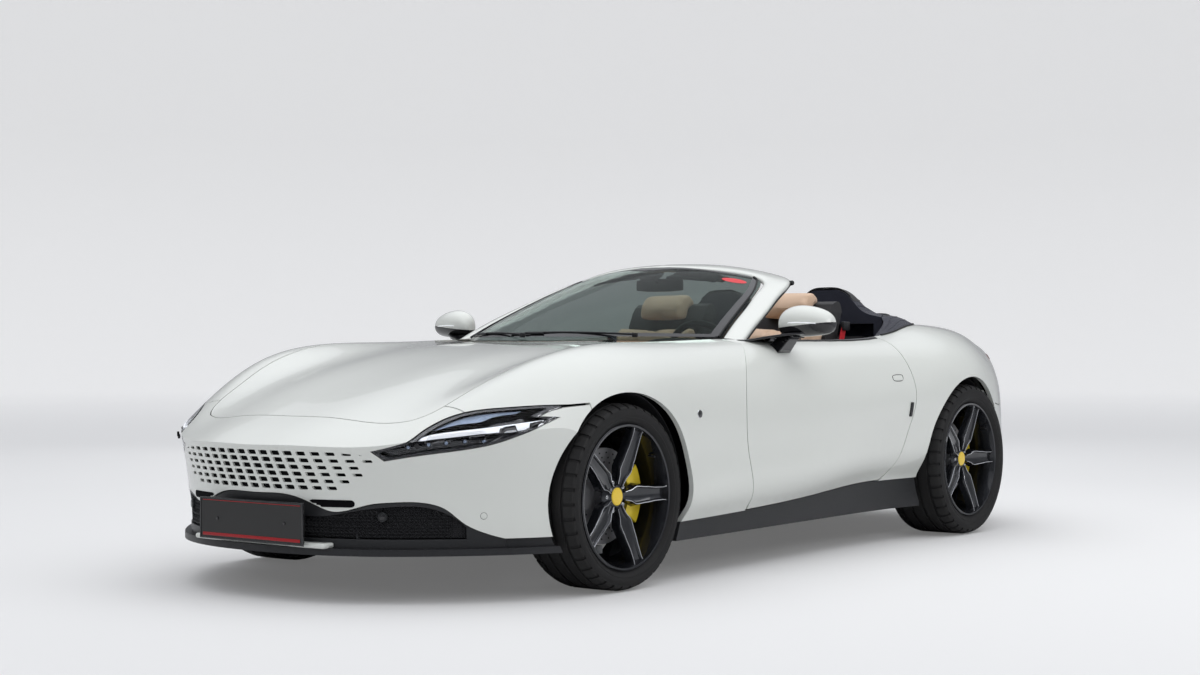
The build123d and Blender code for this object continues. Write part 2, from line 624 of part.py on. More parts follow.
def build_rear():
    """The rear quarters, the boot lid, the tail lamps and the rear bumper."""
    edge = [(s + shut_gap, z) for s, z in door_rear]
    region = side_prism([(True, edge), (False, [(edge[-1][0], 1300), (rear_limit, 1300), (rear_limit, 0),
                                                (edge[0][0], 0)])], -far_x, far_x)
    body = skin & region
    bumper_top = [(rear_arch_seam_s, 610), (3200, 602), (3450, 640), (rear_limit, 655)]
    bumper_region = side_prism([(True, bumper_top), (False, [(rear_limit, 0), (rear_arch_seam_s, 0)])],
                               -far_x, far_x)
    lamp_region = side_prism([(True, [(3400, 842), (3520, 848), (3650, 850), (rear_limit, 850)]),
                              (True, [(rear_limit, 800), (3650, 796), (3520, 800), (3400, 812)])], 300, far_x)
    quarter = body - bumper_region
    for cut in (under_line(1900, 3100), cabin_hole, boot_hole, lamp_region,
                mirror(lamp_region, about=Plane.YZ),
                *rear_arches.solids()):
        quarter = quarter - cut
    ledge = box(260, 340, along(2815), along(2885), 945, 975) & structure_form
    root = box(260, 340, along(2815), along(2840), 945, 970)
    for side in both_sides(ledge + root).solids():
        quarter = quarter + side
    keep("rear_quarters", quarter, 1)
    low_edge = box(-far_x, far_x, along(2700), along(rear_limit), 0, 300)
    bumper_low = side_prism([(True, [(s, z - shut_gap) for s, z in bumper_top]),
                             (False, [(rear_limit, 0), (rear_arch_seam_s, 0)])], -far_x, far_x)
    bumper = (skin & bumper_low) - low_edge
    for cut in rear_arches.solids():
        bumper = bumper - cut
    keep("rear_bumper", bumper, 1)
    lid = (skin & plan_prism(boot_outline(shut_gap), 560, sky_z)) - bumper_region
    lid = lid - box(-far_x, far_x, along(3300), along(rear_limit), 0, 662)
    keep("boot_lid", lid, 1)
    lamps = (body & side_prism([(True, [(3404, 839), (3520, 845), (3650, 847), (rear_limit, 847)]),
                                (True, [(rear_limit, 803), (3650, 799), (3520, 803), (3404, 815)])], 300,
                                far_x))
    lamps = lamps - boot_hole
    keep("tail_lamps", both_sides(lamps.solids().sort_by(SortBy.VOLUME)[-1]), 2)


build_bonnet()
mouth_hole, grille_hole = build_front_bumper()
build_grille(grille_hole)
build_headlamps()
build_front_wings()
build_doors()
build_rear()


def plate_outline(points, low_z, high_z):
    """Return an upright slab over a mirrored half outline of (x, station) corners."""
    return plan_prism([(False, mirrored_outline(points))], low_z, high_z)


def build_lower_body():
    """The black aero parts: splitter and lower intake, sills and diffuser."""
    lower = mirrored_outline([(x - 3 if x > 700 else x, z - 3) for x, z in lower_cut])
    mouth = front_prism([(True, lower), (False, [(787, 0), (-787, 0)])], along(front_limit), along(-300))
    back = body_solid(8)
    shell = (back & mouth) - body_solid(26)
    shell = shell - box(-far_x, far_x, along(front_limit), along(0), 0, splitter_top_z)
    window = front_prism([(True, mirrored_outline(intake_half)), (False, [(700, 222), (-700, 222)])],
                         along(front_limit), along(-300))
    shell = shell - window
    lip_edge = [(x, s + splitter_reach) for x, s in mirrored_outline(nose_plan[:7])]
    slab = plan_prism([(True, lip_edge), (False, [(908, -340), (880, -280), (-880, -280), (-908, -340)])],
                      splitter_top_z - splitter_thickness, splitter_top_z)
    ledge_edge = [(x * 0.985, s + 22) for x, s in lip_edge]
    ledge = plan_prism([(True, ledge_edge), (False, [(890, -330), (-890, -330)])],
                       splitter_top_z, 222 - seat_gap)
    ledge = ledge - plan_prism([(True, [(x * 0.93, s + 50) for x, s in lip_edge]),
                                (False, [(820, -250), (-820, -250)])], 0, sky_z)
    ledge = ledge - box(-690, 690, along(front_limit), along(0), 0, sky_z)
    bracket = box(-150, 150, along(-944) + seat_gap, along(-880), plate_z - 50, plate_z + 62)
    slab = slab + (bracket - body_solid(12))
    nose = slab + shell + ledge
    for cut in front_arches.solids():
        nose = nose - cut
    keep("front_splitter", nose, 1)
    plate = box(-plate_width / 2, plate_width / 2, along(-944) - plate_thickness, along(-944),
                plate_z - plate_height / 2, plate_z + plate_height / 2)
    keep("number_plate", fillet(plate.edges().filter_by(Axis.Y), 8), 1)

    mesh = (body_solid(20) & window) - body_solid(24)
    mesh = mesh - box(-far_x, far_x, along(front_limit), along(0), 0, 226)
    keep("intake_mesh", mesh)

    top = [(s, bottom_at(s)[1] - seat_gap) for s in range(340, 2321, 90)]
    profile = side_prism([(True, top), (False, [(2320, sill_bottom_z), (340, sill_bottom_z)])], 660, far_x)
    outline = plan_prism([(True, [(float(bottom_at(s)[0]) / wide - 6, s) for s in range(320, 2341, 101)]),
                          (False, [(690, 2340), (690, 320)])], 0, sky_z)
    sill = profile & outline
    for cut in liner_drums.solids():
        sill = sill - cut
    keep("side_sills", both_sides(sill.solids().sort_by(SortBy.VOLUME)[-1]), 2)

    tail = body_solid(14) & box(-far_x, far_x, along(3000), along(rear_limit), 186, 300 - seat_gap)
    tail = tail - box(-620, 620, along(2990), along(3300), 0, sky_z)
    cavity = front_prism([(False, [(-430, 0), (-380, 262), (380, 262), (430, 0)])], along(3300),
                         along(rear_limit))
    tail = tail - cavity
    fins = [box(x - 5, x + 5, along(3320), along(3600), 178, 262) for x in (-240, -80, 80, 240)]
    roof = box(-385, 385, along(3300), along(3570), 262, 272)
    tail = tail + roof
    for fin in fins:
        tail = tail + fin
    for x in exhaust_x:
        tail = tail - rod((x, along(3300), exhaust_z), (x, along(rear_limit), exhaust_z),
                          exhaust_radius + seat_gap)
    for cut in liner_drums.solids():
        tail = tail - cut
    keep("rear_diffuser", tail, 1)
    tips = []
    for x in exhaust_x:
        y = along(3560)
        tips.append(lengthwise_tube(x, y - 120, y + 62, exhaust_z, exhaust_radius, exhaust_radius - 4))
    keep("exhaust_tips", Compound(children=tips))


def lengthwise_tube(x, y0, y1, z, outer, inner):
    """Return a lengthwise tube."""
    return (rod((x, y0, z), (x, y1, z), outer) - rod((x, y0 + 6, z), (x, y1 + 1, z), inner)).solid()


def wheel_profile(radius, width, rim):
    """Return a tyre's section as a ring of (radius, offset) corners."""
    half = width / 2
    crown = radius - 1.0
    return [(rim, -half * 0.80), (rim + 22, -half * 0.93), (rim + 46, -half), (crown - 14, -half * 0.94),
            (crown, -half * 0.80), (crown, half * 0.80), (crown - 14, half * 0.94), (rim + 46, half),
            (rim + 22, half * 0.93), (rim, half * 0.80)]


def revolved(profile, x, y, z):
    """Return a ring turned about the wheel's axis from (radius, offset) corners."""
    points = [(x + offset, y + radius, z) for radius, offset in profile]
    face = Face(Wire.make_polygon(points))
    return Solid.revolve(face, 360, Axis((x, y, z), (1, 0, 0)))


def build_wheel(name, side, x, y, z, radius, width):
    """A road wheel: tyre, rim with five double spokes, and brake disc with its hub."""
    tyre = revolved(wheel_profile(radius, width, rim_radius + 0.5), side * x, y, z)
    keep(name + "_tyre", tyre, 1)
    half = width / 2 - 8
    out = side
    barrel = [(rim_radius, -half), (rim_radius, half), (rim_radius - rim_lip, half),
              (rim_radius - rim_lip, half - 10),
              (rim_radius - 20, half - 26), (rim_radius - 20, -half + 16), (rim_radius - 10, -half)]
    barrel = [(r, out * o) for r, o in barrel]
    rim = revolved(barrel, side * x, y, z)
    face_x = side * (x + half - 10)
    centre = rod((face_x - side * 62, y, z), (face_x - side * 22, y, z), hub_radius)
    rim = rim + centre
    for spoke in range(5):
        for split in (-1, 1):
            angle = math.radians(72 * spoke)
            lean = math.radians(13.5) * split
            root = (hub_radius - 14, angle + split * 0.20)
            tip = (rim_radius - 12, angle + lean)
            rim = rim + spoke_bar(face_x, side, y, z, root, tip)
    keep(name + "_rim", rim, 1)
    disc_x = side * (x - 10)
    rotor = rod((disc_x - side * disc_thickness / 2, y, z), (disc_x + side * disc_thickness / 2, y, z),
                disc_radius)
    bell = rod((disc_x, y, z), (face_x - side * (62 + seat_gap), y, z), hub_radius - 4)
    keep(name + "_disc", rotor + bell, 1)


def spoke_bar(face_x, side, y, z, root, tip):
    """Return one tapered spoke bar between two (radius, angle) places."""
    corners = []
    for (r, a), w in ((root, spoke_root_width), (tip, spoke_tip_width)):
        py, pz = y + r * math.cos(a), z + r * math.sin(a)
        corners.append((py, pz, w))
    (y0, z0, w0), (y1, z1, w1) = corners
    length = math.hypot(y1 - y0, z1 - z0)
    ny, nz = -(z1 - z0) / length, (y1 - y0) / length
    wires = []
    for (py, pz, w), front, depth in ((corners[0], 26, 34), (corners[1], 6, 30)):
        xf, xb = face_x - side * front, face_x - side * (front + depth)
        wires.append(Wire.make_polygon([(xf, py + ny * w / 2, pz + nz * w / 2),
                                        (xf, py - ny * w / 2, pz - nz * w / 2),
                                        (xb, py - ny * w / 2, pz - nz * w / 2),
                                        (xb, py + ny * w / 2, pz + nz * w / 2)]))
    return Solid.make_loft(wires, ruled=True)


def build_running_gear():
    """The four wheels, the steered knuckles, the rear hub carriers and the calipers."""
    fz, rz = front_axle_z, rear_axle_z
    build_wheel("front_left", 1, front_track / 2, front_y, fz, front_tyre_radius, front_tyre_width)
    build_wheel("front_right", -1, front_track / 2, front_y, fz, front_tyre_radius, front_tyre_width)
    build_wheel("rear_left", 1, rear_track / 2, rear_y, rz, rear_tyre_radius, rear_tyre_width)
    build_wheel("rear_right", -1, rear_track / 2, rear_y, rz, rear_tyre_radius, rear_tyre_width)
    for side, name in ((1, "left"), (-1, "right")):
        x = front_track / 2 - 10 - disc_thickness / 2 - seat_gap
        post = rod((side * (x - 70), front_y, fz), (side * x, front_y, fz), 48)
        foot_z = fz - disc_radius - 20
        upright = box(side * (x - 70), side * (x - 40), front_y - 30, front_y + 30, foot_z, fz + 150)
        arm = box(side * (x - 66), side * (front_track / 2 - 52 - seat_gap), front_y + 20, front_y + 190,
                  fz - 40, fz + 40)
        foot = box(side * (x - 60), side * (kingpin_x + 12), front_y - 16, front_y + 16, foot_z, foot_z + 13)
        keep("knuckle_" + name, post + upright + arm + foot, 1)
        keep("caliper_front_" + name, caliper(side, front_track / 2 - 10, front_y, fz), 1)
    rear = []
    for side in (1, -1):
        x = rear_track / 2 - 10 - disc_thickness / 2 - seat_gap
        post = rod((side * (x - 80), rear_y, rz), (side * x, rear_y, rz), 50)
        upright = box(side * (x - 80), side * (x - 46), rear_y - 36, rear_y + 36, rz - 130, rz + 170)
        arm = box(side * (x - 74), side * (rear_track / 2 - 52 - seat_gap), rear_y + 30, rear_y + 196,
                  rz - 40, rz + 40)
        shaft = rod((0, rear_y, rz), (side * (x - 70), rear_y, rz), 22)
        low = box(0, side * (x - 60), rear_y - 40, rear_y + 40, rz - 128, rz - 104)
        rear.append((post + upright + arm + shaft + low).solid())
        keep("caliper_rear_" + ("left" if side > 0 else "right"),
             caliper(side, rear_track / 2 - 10, rear_y, rz), 1)
    gearbox = box(-170, 170, rear_y - 330, rear_y + 160, rz - 140, rear_floor_z - seat_gap)
    keep("rear_axle", rear[0] + rear[1] + gearbox, 1)
    arm_top = front_axle_z - disc_radius - 20 - seat_gap
    arms = [box(side * (subframe_x + seat_gap), side * (kingpin_x + 12), front_y - 16, front_y + 16,
                arm_top - 16, arm_top) for side in (1, -1)]
    keep("front_arms", Compound(children=[arm.solid() for arm in arms]))


def caliper(side, x, y, z):
    """Return a caliper that straddles a brake disc behind the axle."""
    inner, outer = disc_radius - 62, disc_radius + 16
    arc = []
    for radius, angles in ((outer, range(-34, 35, 4)), (inner, range(34, -35, -4))):
        arc += [(0, y + radius * math.cos(math.radians(a)),
                 z + radius * math.sin(math.radians(a))) for a in angles]
    block = Solid.extrude(Face(Wire.make_polygon(arc)), Vector(side * 84, 0, 0))
    block = Pos(side * (x - 42), 0, 0) * block
    slot = rod((side * (x - disc_thickness / 2 - 4), y, z), (side * (x + disc_thickness / 2 + 4), y, z),
               disc_radius + 5)
    return block - slot


def door_hinge_arms():
    """The left hinge post beside the footwell, with an arm and an eye for each door pin."""
    floor_top = sill_bottom_z + 6 + floor_thickness
    post = box(660, 690 - seat_gap, along(firewall_s + seat_gap), along(door_hinge_s + 18),
               floor_top + seat_gap, 630)
    for z in door_hinge_heights:
        half = hinge_arm_width / 2
        arm = box(680, door_hinge_x, along(door_hinge_s - half), along(door_hinge_s + half), z - half,
                  z + half)
        post = post + arm + upright(door_hinge_x, door_hinge_s, half, z - half, z + half)
        post = post - upright(door_hinge_x, door_hinge_s, hinge_pin_radius + seat_gap, z - half, z + half)
    return post


def floor_outline():
    """Return the left edge of the floor, from its front to its rear."""
    side = 690 - seat_gap
    return [(0, -270), (480, -270), (480, 400), (side, 420), (side, 2250), (610, 2300), (610, 3280),
            (0, 3280)]


def build_floor(base, top):
    """The flat floor with the front subframe under it, and the tunnel that stands on it."""
    floor = plan_prism([(False, mirrored_outline(floor_outline()))], base, top)
    subframe = box(-subframe_x, subframe_x, front_y - 45, front_y + 45, 122, base)
    floor = floor + subframe
    for cut in liner_drums.solids():
        floor = floor - cut
    keep("floor_pan", floor, 1)
    tunnel = box(-110, 110, along(firewall_s + seat_gap), along(rear_wall_s - seat_gap), top + seat_gap,
                 tunnel_top_z)
    tunnel = tunnel - box(-90, 90, along(0), along(rear_wall_s - 30), 0, tunnel_top_z - 20)
    keep("centre_tunnel", tunnel, 1)


def build_chassis():
    """The floor, the front and rear frames, the hoops under the skin, the hinge posts, liners and engine."""
    base = sill_bottom_z + 6
    top = base + floor_thickness
    low = top + seat_gap
    build_floor(base, top)
    firewall = box(-690 + seat_gap, 690 - seat_gap, along(firewall_s - 20), along(firewall_s), low, 780)
    frame = firewall
    for side in (1, -1):
        frame = frame + box(side * 420, side * 480, along(-262), along(firewall_s), low, top + 160)
        frame = frame + box(side * 420, side * 480, along(-760), along(-250), splitter_top_z + seat_gap,
                            top + 160)
        post = box(side * 420, side * 600, along(firewall_s - 20), along(firewall_s), 770, 960)
        frame = frame + (post & body_solid(cowl_inset + 15.3))
    rear = box(-690, 690, along(rear_wall_s), along(rear_wall_s + 20), low, rear_floor_z + 20)
    rear = rear + box(-560, 560, along(rear_wall_s + 10), along(3280), rear_floor_z, rear_floor_z + 20)
    for side in (1, -1):
        rear = rear + box(side * 480, side * 560, along(rear_wall_s + 20), along(3470), top + 120, top + 250)
    rear = rear - cross_drum(rear_y, rear_axle_z, axle_hole_radius, -620, 620)
    for cut in liner_drums.solids():
        frame = frame - cut
        rear = rear - cut
    keep("front_frame", frame, 1)
    keep("rear_frame", rear, 1)
    keep("rear_bulkhead", box(-600, 600, along(2570), along(2590), rear_floor_z + 20 + seat_gap,
                              tonneau_base_z - seat_gap), 1)
    build_hoops(grown_frames(low))
    keep("door_hinge_posts", both_sides(door_hinge_arms()))


def grown_frames(low):
    """Return the room that the frames take up, with a small gap round it, which the hoops leave free."""
    room = [box(-690, 690, along(firewall_s - 20 - seat_gap), along(firewall_s + seat_gap), low,
                780 + seat_gap)]
    room.append(box(-690 - seat_gap, 690 + seat_gap, along(rear_wall_s - seat_gap),
                    along(rear_wall_s + 20 + seat_gap), low, rear_floor_z + 20 + seat_gap))
    for side in (1, -1):
        room.append(box(side * (420 - seat_gap), side * (480 + seat_gap), along(-760), along(firewall_s), 150,
                        sill_bottom_z + 196 + seat_gap))
        room.append(box(side * (420 - seat_gap), side * (600 + seat_gap), along(firewall_s - 20 - seat_gap),
                        along(firewall_s + seat_gap), 770, 960))
        room.append(box(side * (480 - seat_gap), side * (560 + seat_gap), along(rear_wall_s),
                        along(3470 + seat_gap),
                        sill_bottom_z + 156 - seat_gap, sill_bottom_z + 286 + seat_gap))
    return room


def build_hoops(frames):
    """The thin hoops just under the skin, which carry the panels, left and right."""
    rings = structure_form - body_solid(panel_thickness + 26)
    bands = [(-690, -640, 223), (690, 740, 200), (2150, 2200, 200), (3440, 3480, 300)]
    keeper = Compound(children=[box(-far_x, far_x, along(a), along(b), low + seat_gap, sky_z) for a, b,
                                low in bands])
    ring_set = rings & keeper
    bonnet_room = plan_prism(bonnet_outline(-14), 300, sky_z)
    boot_room = plan_prism(boot_outline(-14), 560, sky_z)
    cabin_room = plan_prism(cabin_outline(4), 700, sky_z)
    for cut in (bonnet_room, boot_room, cabin_room, mouth_hole, under_line(600, 2400), *liner_drums.solids(),
                *lamp_room().solids(), *frames):
        ring_set = ring_set - cut
    hoops = [ring for ring in ring_set.solids() if ring.volume > 1e5]
    keep("body_structure", Compound(children=hoops))


def build_liners():
    """The four wheel arch liners and the block that stands for the engine."""
    liners = []
    for y, z, radius, well in ((front_y, front_axle_z, front_arch_radius, front_well_x),
                               (rear_y, rear_axle_z, rear_arch_radius, rear_well_x)):
        outer = cross_drum(y, z, radius + liner_thickness, well, 905)
        hollow = cross_drum(y, z, radius, well - 1, far_x)
        ring = outer - hollow
        ring = ring - box(0, far_x, y - 500, y + 500, 0, z - 90)
        liners.append(ring)
    liner_set = []
    for liner in liners:
        inside = liner & structure_form
        liner_set += list(both_sides(inside.solids().sort_by(SortBy.VOLUME)[-1]).solids())
    keep("arch_liners", Compound(children=liner_set))
    top = sill_bottom_z + 6 + floor_thickness
    engine = box(-300, 300, along(80), along(690), top + seat_gap, 760)
    keep("engine", engine, 1)


def lamp_room():
    """Return the space behind the headlamps, left and right."""
    left = side_prism([(True, [(s, z - 8) for s, z in lamp_low]), (True, [(s, z + 8) for s, z in lamp_top])],
                      380, far_x)
    return Compound(children=[left, mirror(left, about=Plane.YZ)])


# ---------------------------------------------------------------- windscreen: (x, station, z)
screen_edge = [(700, 965, 904), (664, 1110, 978), (625, 1270, 1050), (583, 1420, 1115), (545, 1530, 1160),
               (480, 1566, 1190), (300, 1528, 1222), (0, 1500, 1240)]
frame_edge = [(778, 1004, 898), (742, 1160, 975), (700, 1330, 1046), (652, 1500, 1112), (612, 1640, 1160),
              (530, 1738, 1186), (300, 1704, 1236), (0, 1682, 1251)]
screen_glass_edge = [(694, 962, 901), (658, 1106, 974), (619, 1264, 1045), (578, 1410, 1108),
                     (541, 1512, 1150),
                     (512, 1545, 1170), (482, 1556, 1184)]
screen_middle = [(640, 905), (812, 1003), (985, 1082), (1170, 1150), (1310, 1196), (1410, 1222), (1500, 1239)]


def frame_rings():
    """Return rings of points along the windscreen hoop's left half, from its foot to the header's middle."""
    knots = [0.0]
    for a, b in zip(frame_edge, frame_edge[1:]):
        knots.append(knots[-1] + math.dist(a, b))
    inner_at = natural_spline(knots, [(x * wide, along(s), z) for x, s, z in screen_edge])
    outer_at = natural_spline(knots, [(x * wide, along(s), z) for x, s, z in frame_edge])
    rings = []
    for step in range(frame_steps + 1):
        t = knots[-1] * step / frame_steps
        inner, outer = Vector(*inner_at(t)), Vector(*outer_at(t))
        ahead = min(knots[-1], t + 5)
        travel = (Vector(*inner_at(ahead)) + Vector(*outer_at(ahead))
                  - Vector(*inner_at(ahead - 10)) - Vector(*outer_at(ahead - 10)))
        if step == frame_steps:
            travel = Vector(-1, 0, 0)
        across = outer - inner
        inward = travel.cross(across).normalized()
        if inward.Z > 0:
            inward = inward * -1
        centre = (inner + outer) / 2 + inward * (frame_depth / 2 - frame_crown)
        ring = []
        for corner in range(ring_points + 1):
            a = 2 * math.pi * (corner % ring_points) / ring_points
            ca, sa = math.cos(a), math.sin(a)
            u = math.copysign(abs(ca) ** 0.62, ca) / 2
            v = math.copysign(abs(sa) ** 0.72, sa) * frame_depth / 2
            ring.append(tuple(centre + across * u + inward * v))
        rings.append(ring)
    return rings


def build_windscreen():
    """The pillars and header in one hoop, and the curved glass inside it."""
    tube = Face.make_surface_from_array_of_points(frame_rings(), tol=0.3, min_deg=3, max_deg=5)
    ends = [edge for edge in tube.edges() if (edge @ 0 - edge @ 1).length < 1e-3]
    caps = [Face(Wire([edge])) for edge in ends]
    half = Solid(Shell([tube, *caps]))
    hoop = half + mirror(half, about=Plane.YZ)
    keep("windscreen_frame", hoop - outer_form, 1)
    rows = []
    count = len(screen_middle)
    edge = natural_spline([i / (count - 1) for i in range(count)],
                          [screen_glass_edge[i] for i in range(count)])
    middle = natural_spline([i / (count - 1) for i in range(count)], screen_middle)
    for row in range(19):
        t = row / 18
        edge_x, edge_s, edge_z = edge(t)
        mid_s, mid_z = middle(t)
        line = []
        for column in range(-12, 13):
            share = (column / 12) ** 2
            line.append((edge_x * wide * column / 12, along(mid_s + (edge_s - mid_s) * share),
                         mid_z + (edge_z - mid_z) * share))
        rows.append(line)
    face = Face.make_surface_from_array_of_points(rows, tol=0.3, min_deg=3, max_deg=5)
    up = 1 if face.normal_at().Z > 0 else -1
    glass = thicken(face, -up * glass_thickness)
    keep("windscreen_glass", glass - outer_form, 1)


def build_cowl():
    """The black panel under the windscreen, with its two wiper arms."""
    front = [(x * 0.985, s + shut_gap) for x, s in mirrored_outline(bonnet_rear[::-1])]
    rear = [(690, 940), (560, 830), (400, 730), (200, 665), (0, 645)]
    region = plan_prism([(True, front), (True, mirrored_outline(rear[::-1])[::-1])], 700, sky_z)
    panel = (body_solid(cowl_inset) & region) - body_solid(cowl_inset + 15)
    keep("cowl_panel", panel, 1)


def height_solid(rows, depth):
    """Return the solid under a grid of points, down by a depth."""
    face = Face.make_surface_from_array_of_points(rows, tol=0.5, min_deg=3, max_deg=5)
    return Solid.extrude(face, Vector(0, 0, -depth))


def build_tonneau():
    """The cover over the folded roof, with a fairing behind each front seat."""
    rows = []
    for i in range(15):
        s = 2455 + i * 22
        row = []
        for j in range(-20, 21):
            x = j * 33
            hump = math.exp(-(((abs(x) - 300) / 165) ** 4))
            fall = max(0.0, min(1.0, (2705 - s) / 190))
            fall = fall * fall * (3 - 2 * fall)
            edge = max(0.0, (abs(x) - 470) / 190)
            row.append((x, along(s), tonneau_lip_z + 118 * hump * fall - 34 * edge * edge))
        rows.append(row)
    cover = height_solid(rows, 400)
    outline = [(604, 2478), (596, 2560), (560, 2650), (470, 2704), (300, 2722), (0, 2730)]
    plan = plan_prism([(True, mirrored_outline(outline[::-1])[::-1]), (False, [(-604, 2478), (604, 2478)])],
                      tonneau_base_z, sky_z)
    hollow = box(-560, 560, along(2440), along(2566), 0, 990)
    keep("tonneau_cover", (cover & plan) - hollow, 1)


wheel_hub = Vector(seat_spread, along(1372), 815)
column_axis = Vector(0, math.cos(math.radians(22)), math.sin(math.radians(22)))


def build_cabin():
    """The dashboard, console, seats and steering wheel."""
    dash = side_prism([(False, [(742 + seat_gap, 770), (760, 838)]),
                       (True, [(760, 838), (900, 866), (1080, 886), (1210, 872)]),
                       (True, [(1210, 872), (1262, 838), (1268, 780), (1225, 700), (1120, 640)]),
                       (False, [(1120, 640), (742 + seat_gap, 640), (742 + seat_gap, 770)])], -dash_x, dash_x)
    column = rod(tuple(wheel_hub - column_axis * 186), tuple(wheel_hub - column_axis * 58), 46)
    keep("dashboard", dash + column - outer_form_gap(), 1)
    console = box(-112, 112, along(1130), along(2140), tunnel_top_z + seat_gap, 600)
    console = fillet(console.edges().filter_by(Axis.Y).group_by(Axis.Z)[-1], 24)
    keep("centre_console", console, 1)

    shells, pads = [], []
    for side in (1, -1):
        x = side * seat_spread
        half = seat_width / 2
        floor_z = sill_bottom_z + 6 + floor_thickness + seat_gap
        base = box(x - half + 40, x + half - 40, along(1380), along(1860), floor_z, 334 - seat_gap)
        back = side_prism([(True, [(1830, 330), (1905, 480), (1985, 760), (2045, 985), (2095, 1075)]),
                           (True, [(2095, 1075), (2150, 1085), (2172, 1040)]),
                           (True, [(2172, 1040), (2110, 860), (2040, 600), (1960, 330)])], x - half + 15,
                           x + half - 15)
        shells.append((base + back).solid())
        cushion = side_prism([(True, [(1350, 334), (1335, 400), (1370, 452), (1500, 448), (1700, 424),
                                      (1822, 420)]),
                              (True, [(1822, 420), (1838, 380), (1812, 334)])], x - half, x + half)
        rest = side_prism([(True, [(1816, 425), (1790, 470), (1850, 720), (1925, 960), (1960, 985)]),
                           (True, [(1960, 985), (2012, 975), (2032, 952)]),
                           (True, [(2032, 952), (1970, 762), (1892, 487), (1858, 424)])], x - half, x + half)
        rest = rest - back
        head = side_prism([(True, [(1985, 1010), (1998, 1080), (2040, 1128), (2095, 1138), (2135, 1112)]),
                           (True, [(2135, 1112), (2150, 1095), (2138, 1070)]),
                           (True, [(2138, 1070), (2100, 1050), (2060, 1000)])], x - 130, x + 130) - back
        for pad in (cushion, rest, head):
            clear = pad - Pos(0, -seat_gap, 0) * back - Pos(0, 0, seat_gap) * back
            pads.append(clear.solids().sort_by(SortBy.VOLUME)[-1])
    keep("front_seats", Compound(children=shells))
    keep("front_seat_pads", Compound(children=pads))

    bench = []
    for side in (1, -1):
        x = side * 300
        cushion = box(x - 190, x + 190, along(2206), along(2452), rear_floor_z + 20 + seat_gap, 548)
        rest = side_prism([(False, [(2456, 450), (2440, 560), (2490, 930), (2562, 930), (2568, 450)])],
                          x - 190, x + 190)
        bench += [fillet(cushion.edges(), 26).solid(), rest.solid()]
    keep("rear_seats", Compound(children=bench))

    plane = Plane(origin=wheel_hub, x_dir=(1, 0, 0), z_dir=column_axis)
    wheel = plane * Torus(steering_wheel_radius, 15) + plane * Pos(0, 0, -18) * Cylinder(52, 46)
    for angle in (0, 180, 270):
        wheel = wheel + plane * Rot(0, 0, angle) * Pos(steering_wheel_radius / 2 + 10, 0, -6) * Box(
            steering_wheel_radius - 20, 30, 14)
    stub = rod(tuple(wheel_hub), tuple(wheel_hub - column_axis * (58 - seat_gap)), 24)
    keep("steering_wheel", wheel + stub, 1)


def outer_form_gap():
    """Return the space above the body's skin, where the dashboard may not reach."""
    return box(-far_x, far_x, along(0), along(2500), 898, sky_z)


def build_mirrors():
    """The door mirrors, each with a foot on its door."""
    sections = []
    for x, y, z, depth, height in ((846, 1196, 968, 26, 34), (862, 1198, 976, 98, 96),
                                   (905, 1202, 984, 128, 124),
                                   (965, 1208, 986, 134, 126), (1025, 1216, 982, 118, 108),
                                   (1066, 1222, 976, 84, 74),
                                   (1078, 1226, 972, 30, 26)):
        ring = []
        for corner in range(12):
            a = 2 * math.pi * corner / 12
            flat = 0.72 if math.cos(a) > 0.2 else 1.0
            ring.append((x, along(y) + depth / 2 * math.cos(a) * flat, z + height / 2 * math.sin(a)))
        sections.append(Wire([Edge.make_spline(ring, periodic=True)]))
    pod = Solid.make_loft(sections)
    foot = Solid.make_loft([Wire.make_polygon([(818, along(1120), 872), (862, along(1112), 838),
                                               (862, along(1212), 838),
                                               (818, along(1206), 872)]),
                            Wire.make_polygon([(868, along(1172), 944), (930, along(1170), 944),
                                               (930, along(1226), 944),
                                               (868, along(1226), 944)])], ruled=True)
    whole = pod + foot
    whole = whole - outer_form
    solid = whole.solids().sort_by(SortBy.VOLUME)[-1]
    keep("mirror_left", solid)
    keep("mirror_right", mirror(solid, about=Plane.YZ))


build_lower_body()
build_running_gear()
build_chassis()
build_liners()
build_windscreen()
build_cowl()
build_tonneau()
build_cabin()
build_mirrors()

os.makedirs("parts", exist_ok=True)
for name, shape in parts.items():
    export_step(shape, "parts/" + name + ".step")
    print(name, round(shape.volume / 1e6, 2), shape.bounding_box())
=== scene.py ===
"""Looks of an open-top grand tourer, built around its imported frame.

Lengths are in metres. X points to the car's left, Y to its tail and Z up. Finishes come first, then one
class for each sub-assembly: it models its pieces, dresses them and gives each to the body that carries it.
"""
from __future__ import annotations

import json
import logging
import math
from contextlib import contextmanager
from dataclasses import dataclass, field
from enum import Enum
from functools import cached_property
from typing import Callable, Iterable, Iterator, Sequence

import bmesh
import bpy
from mathutils import Matrix, Vector

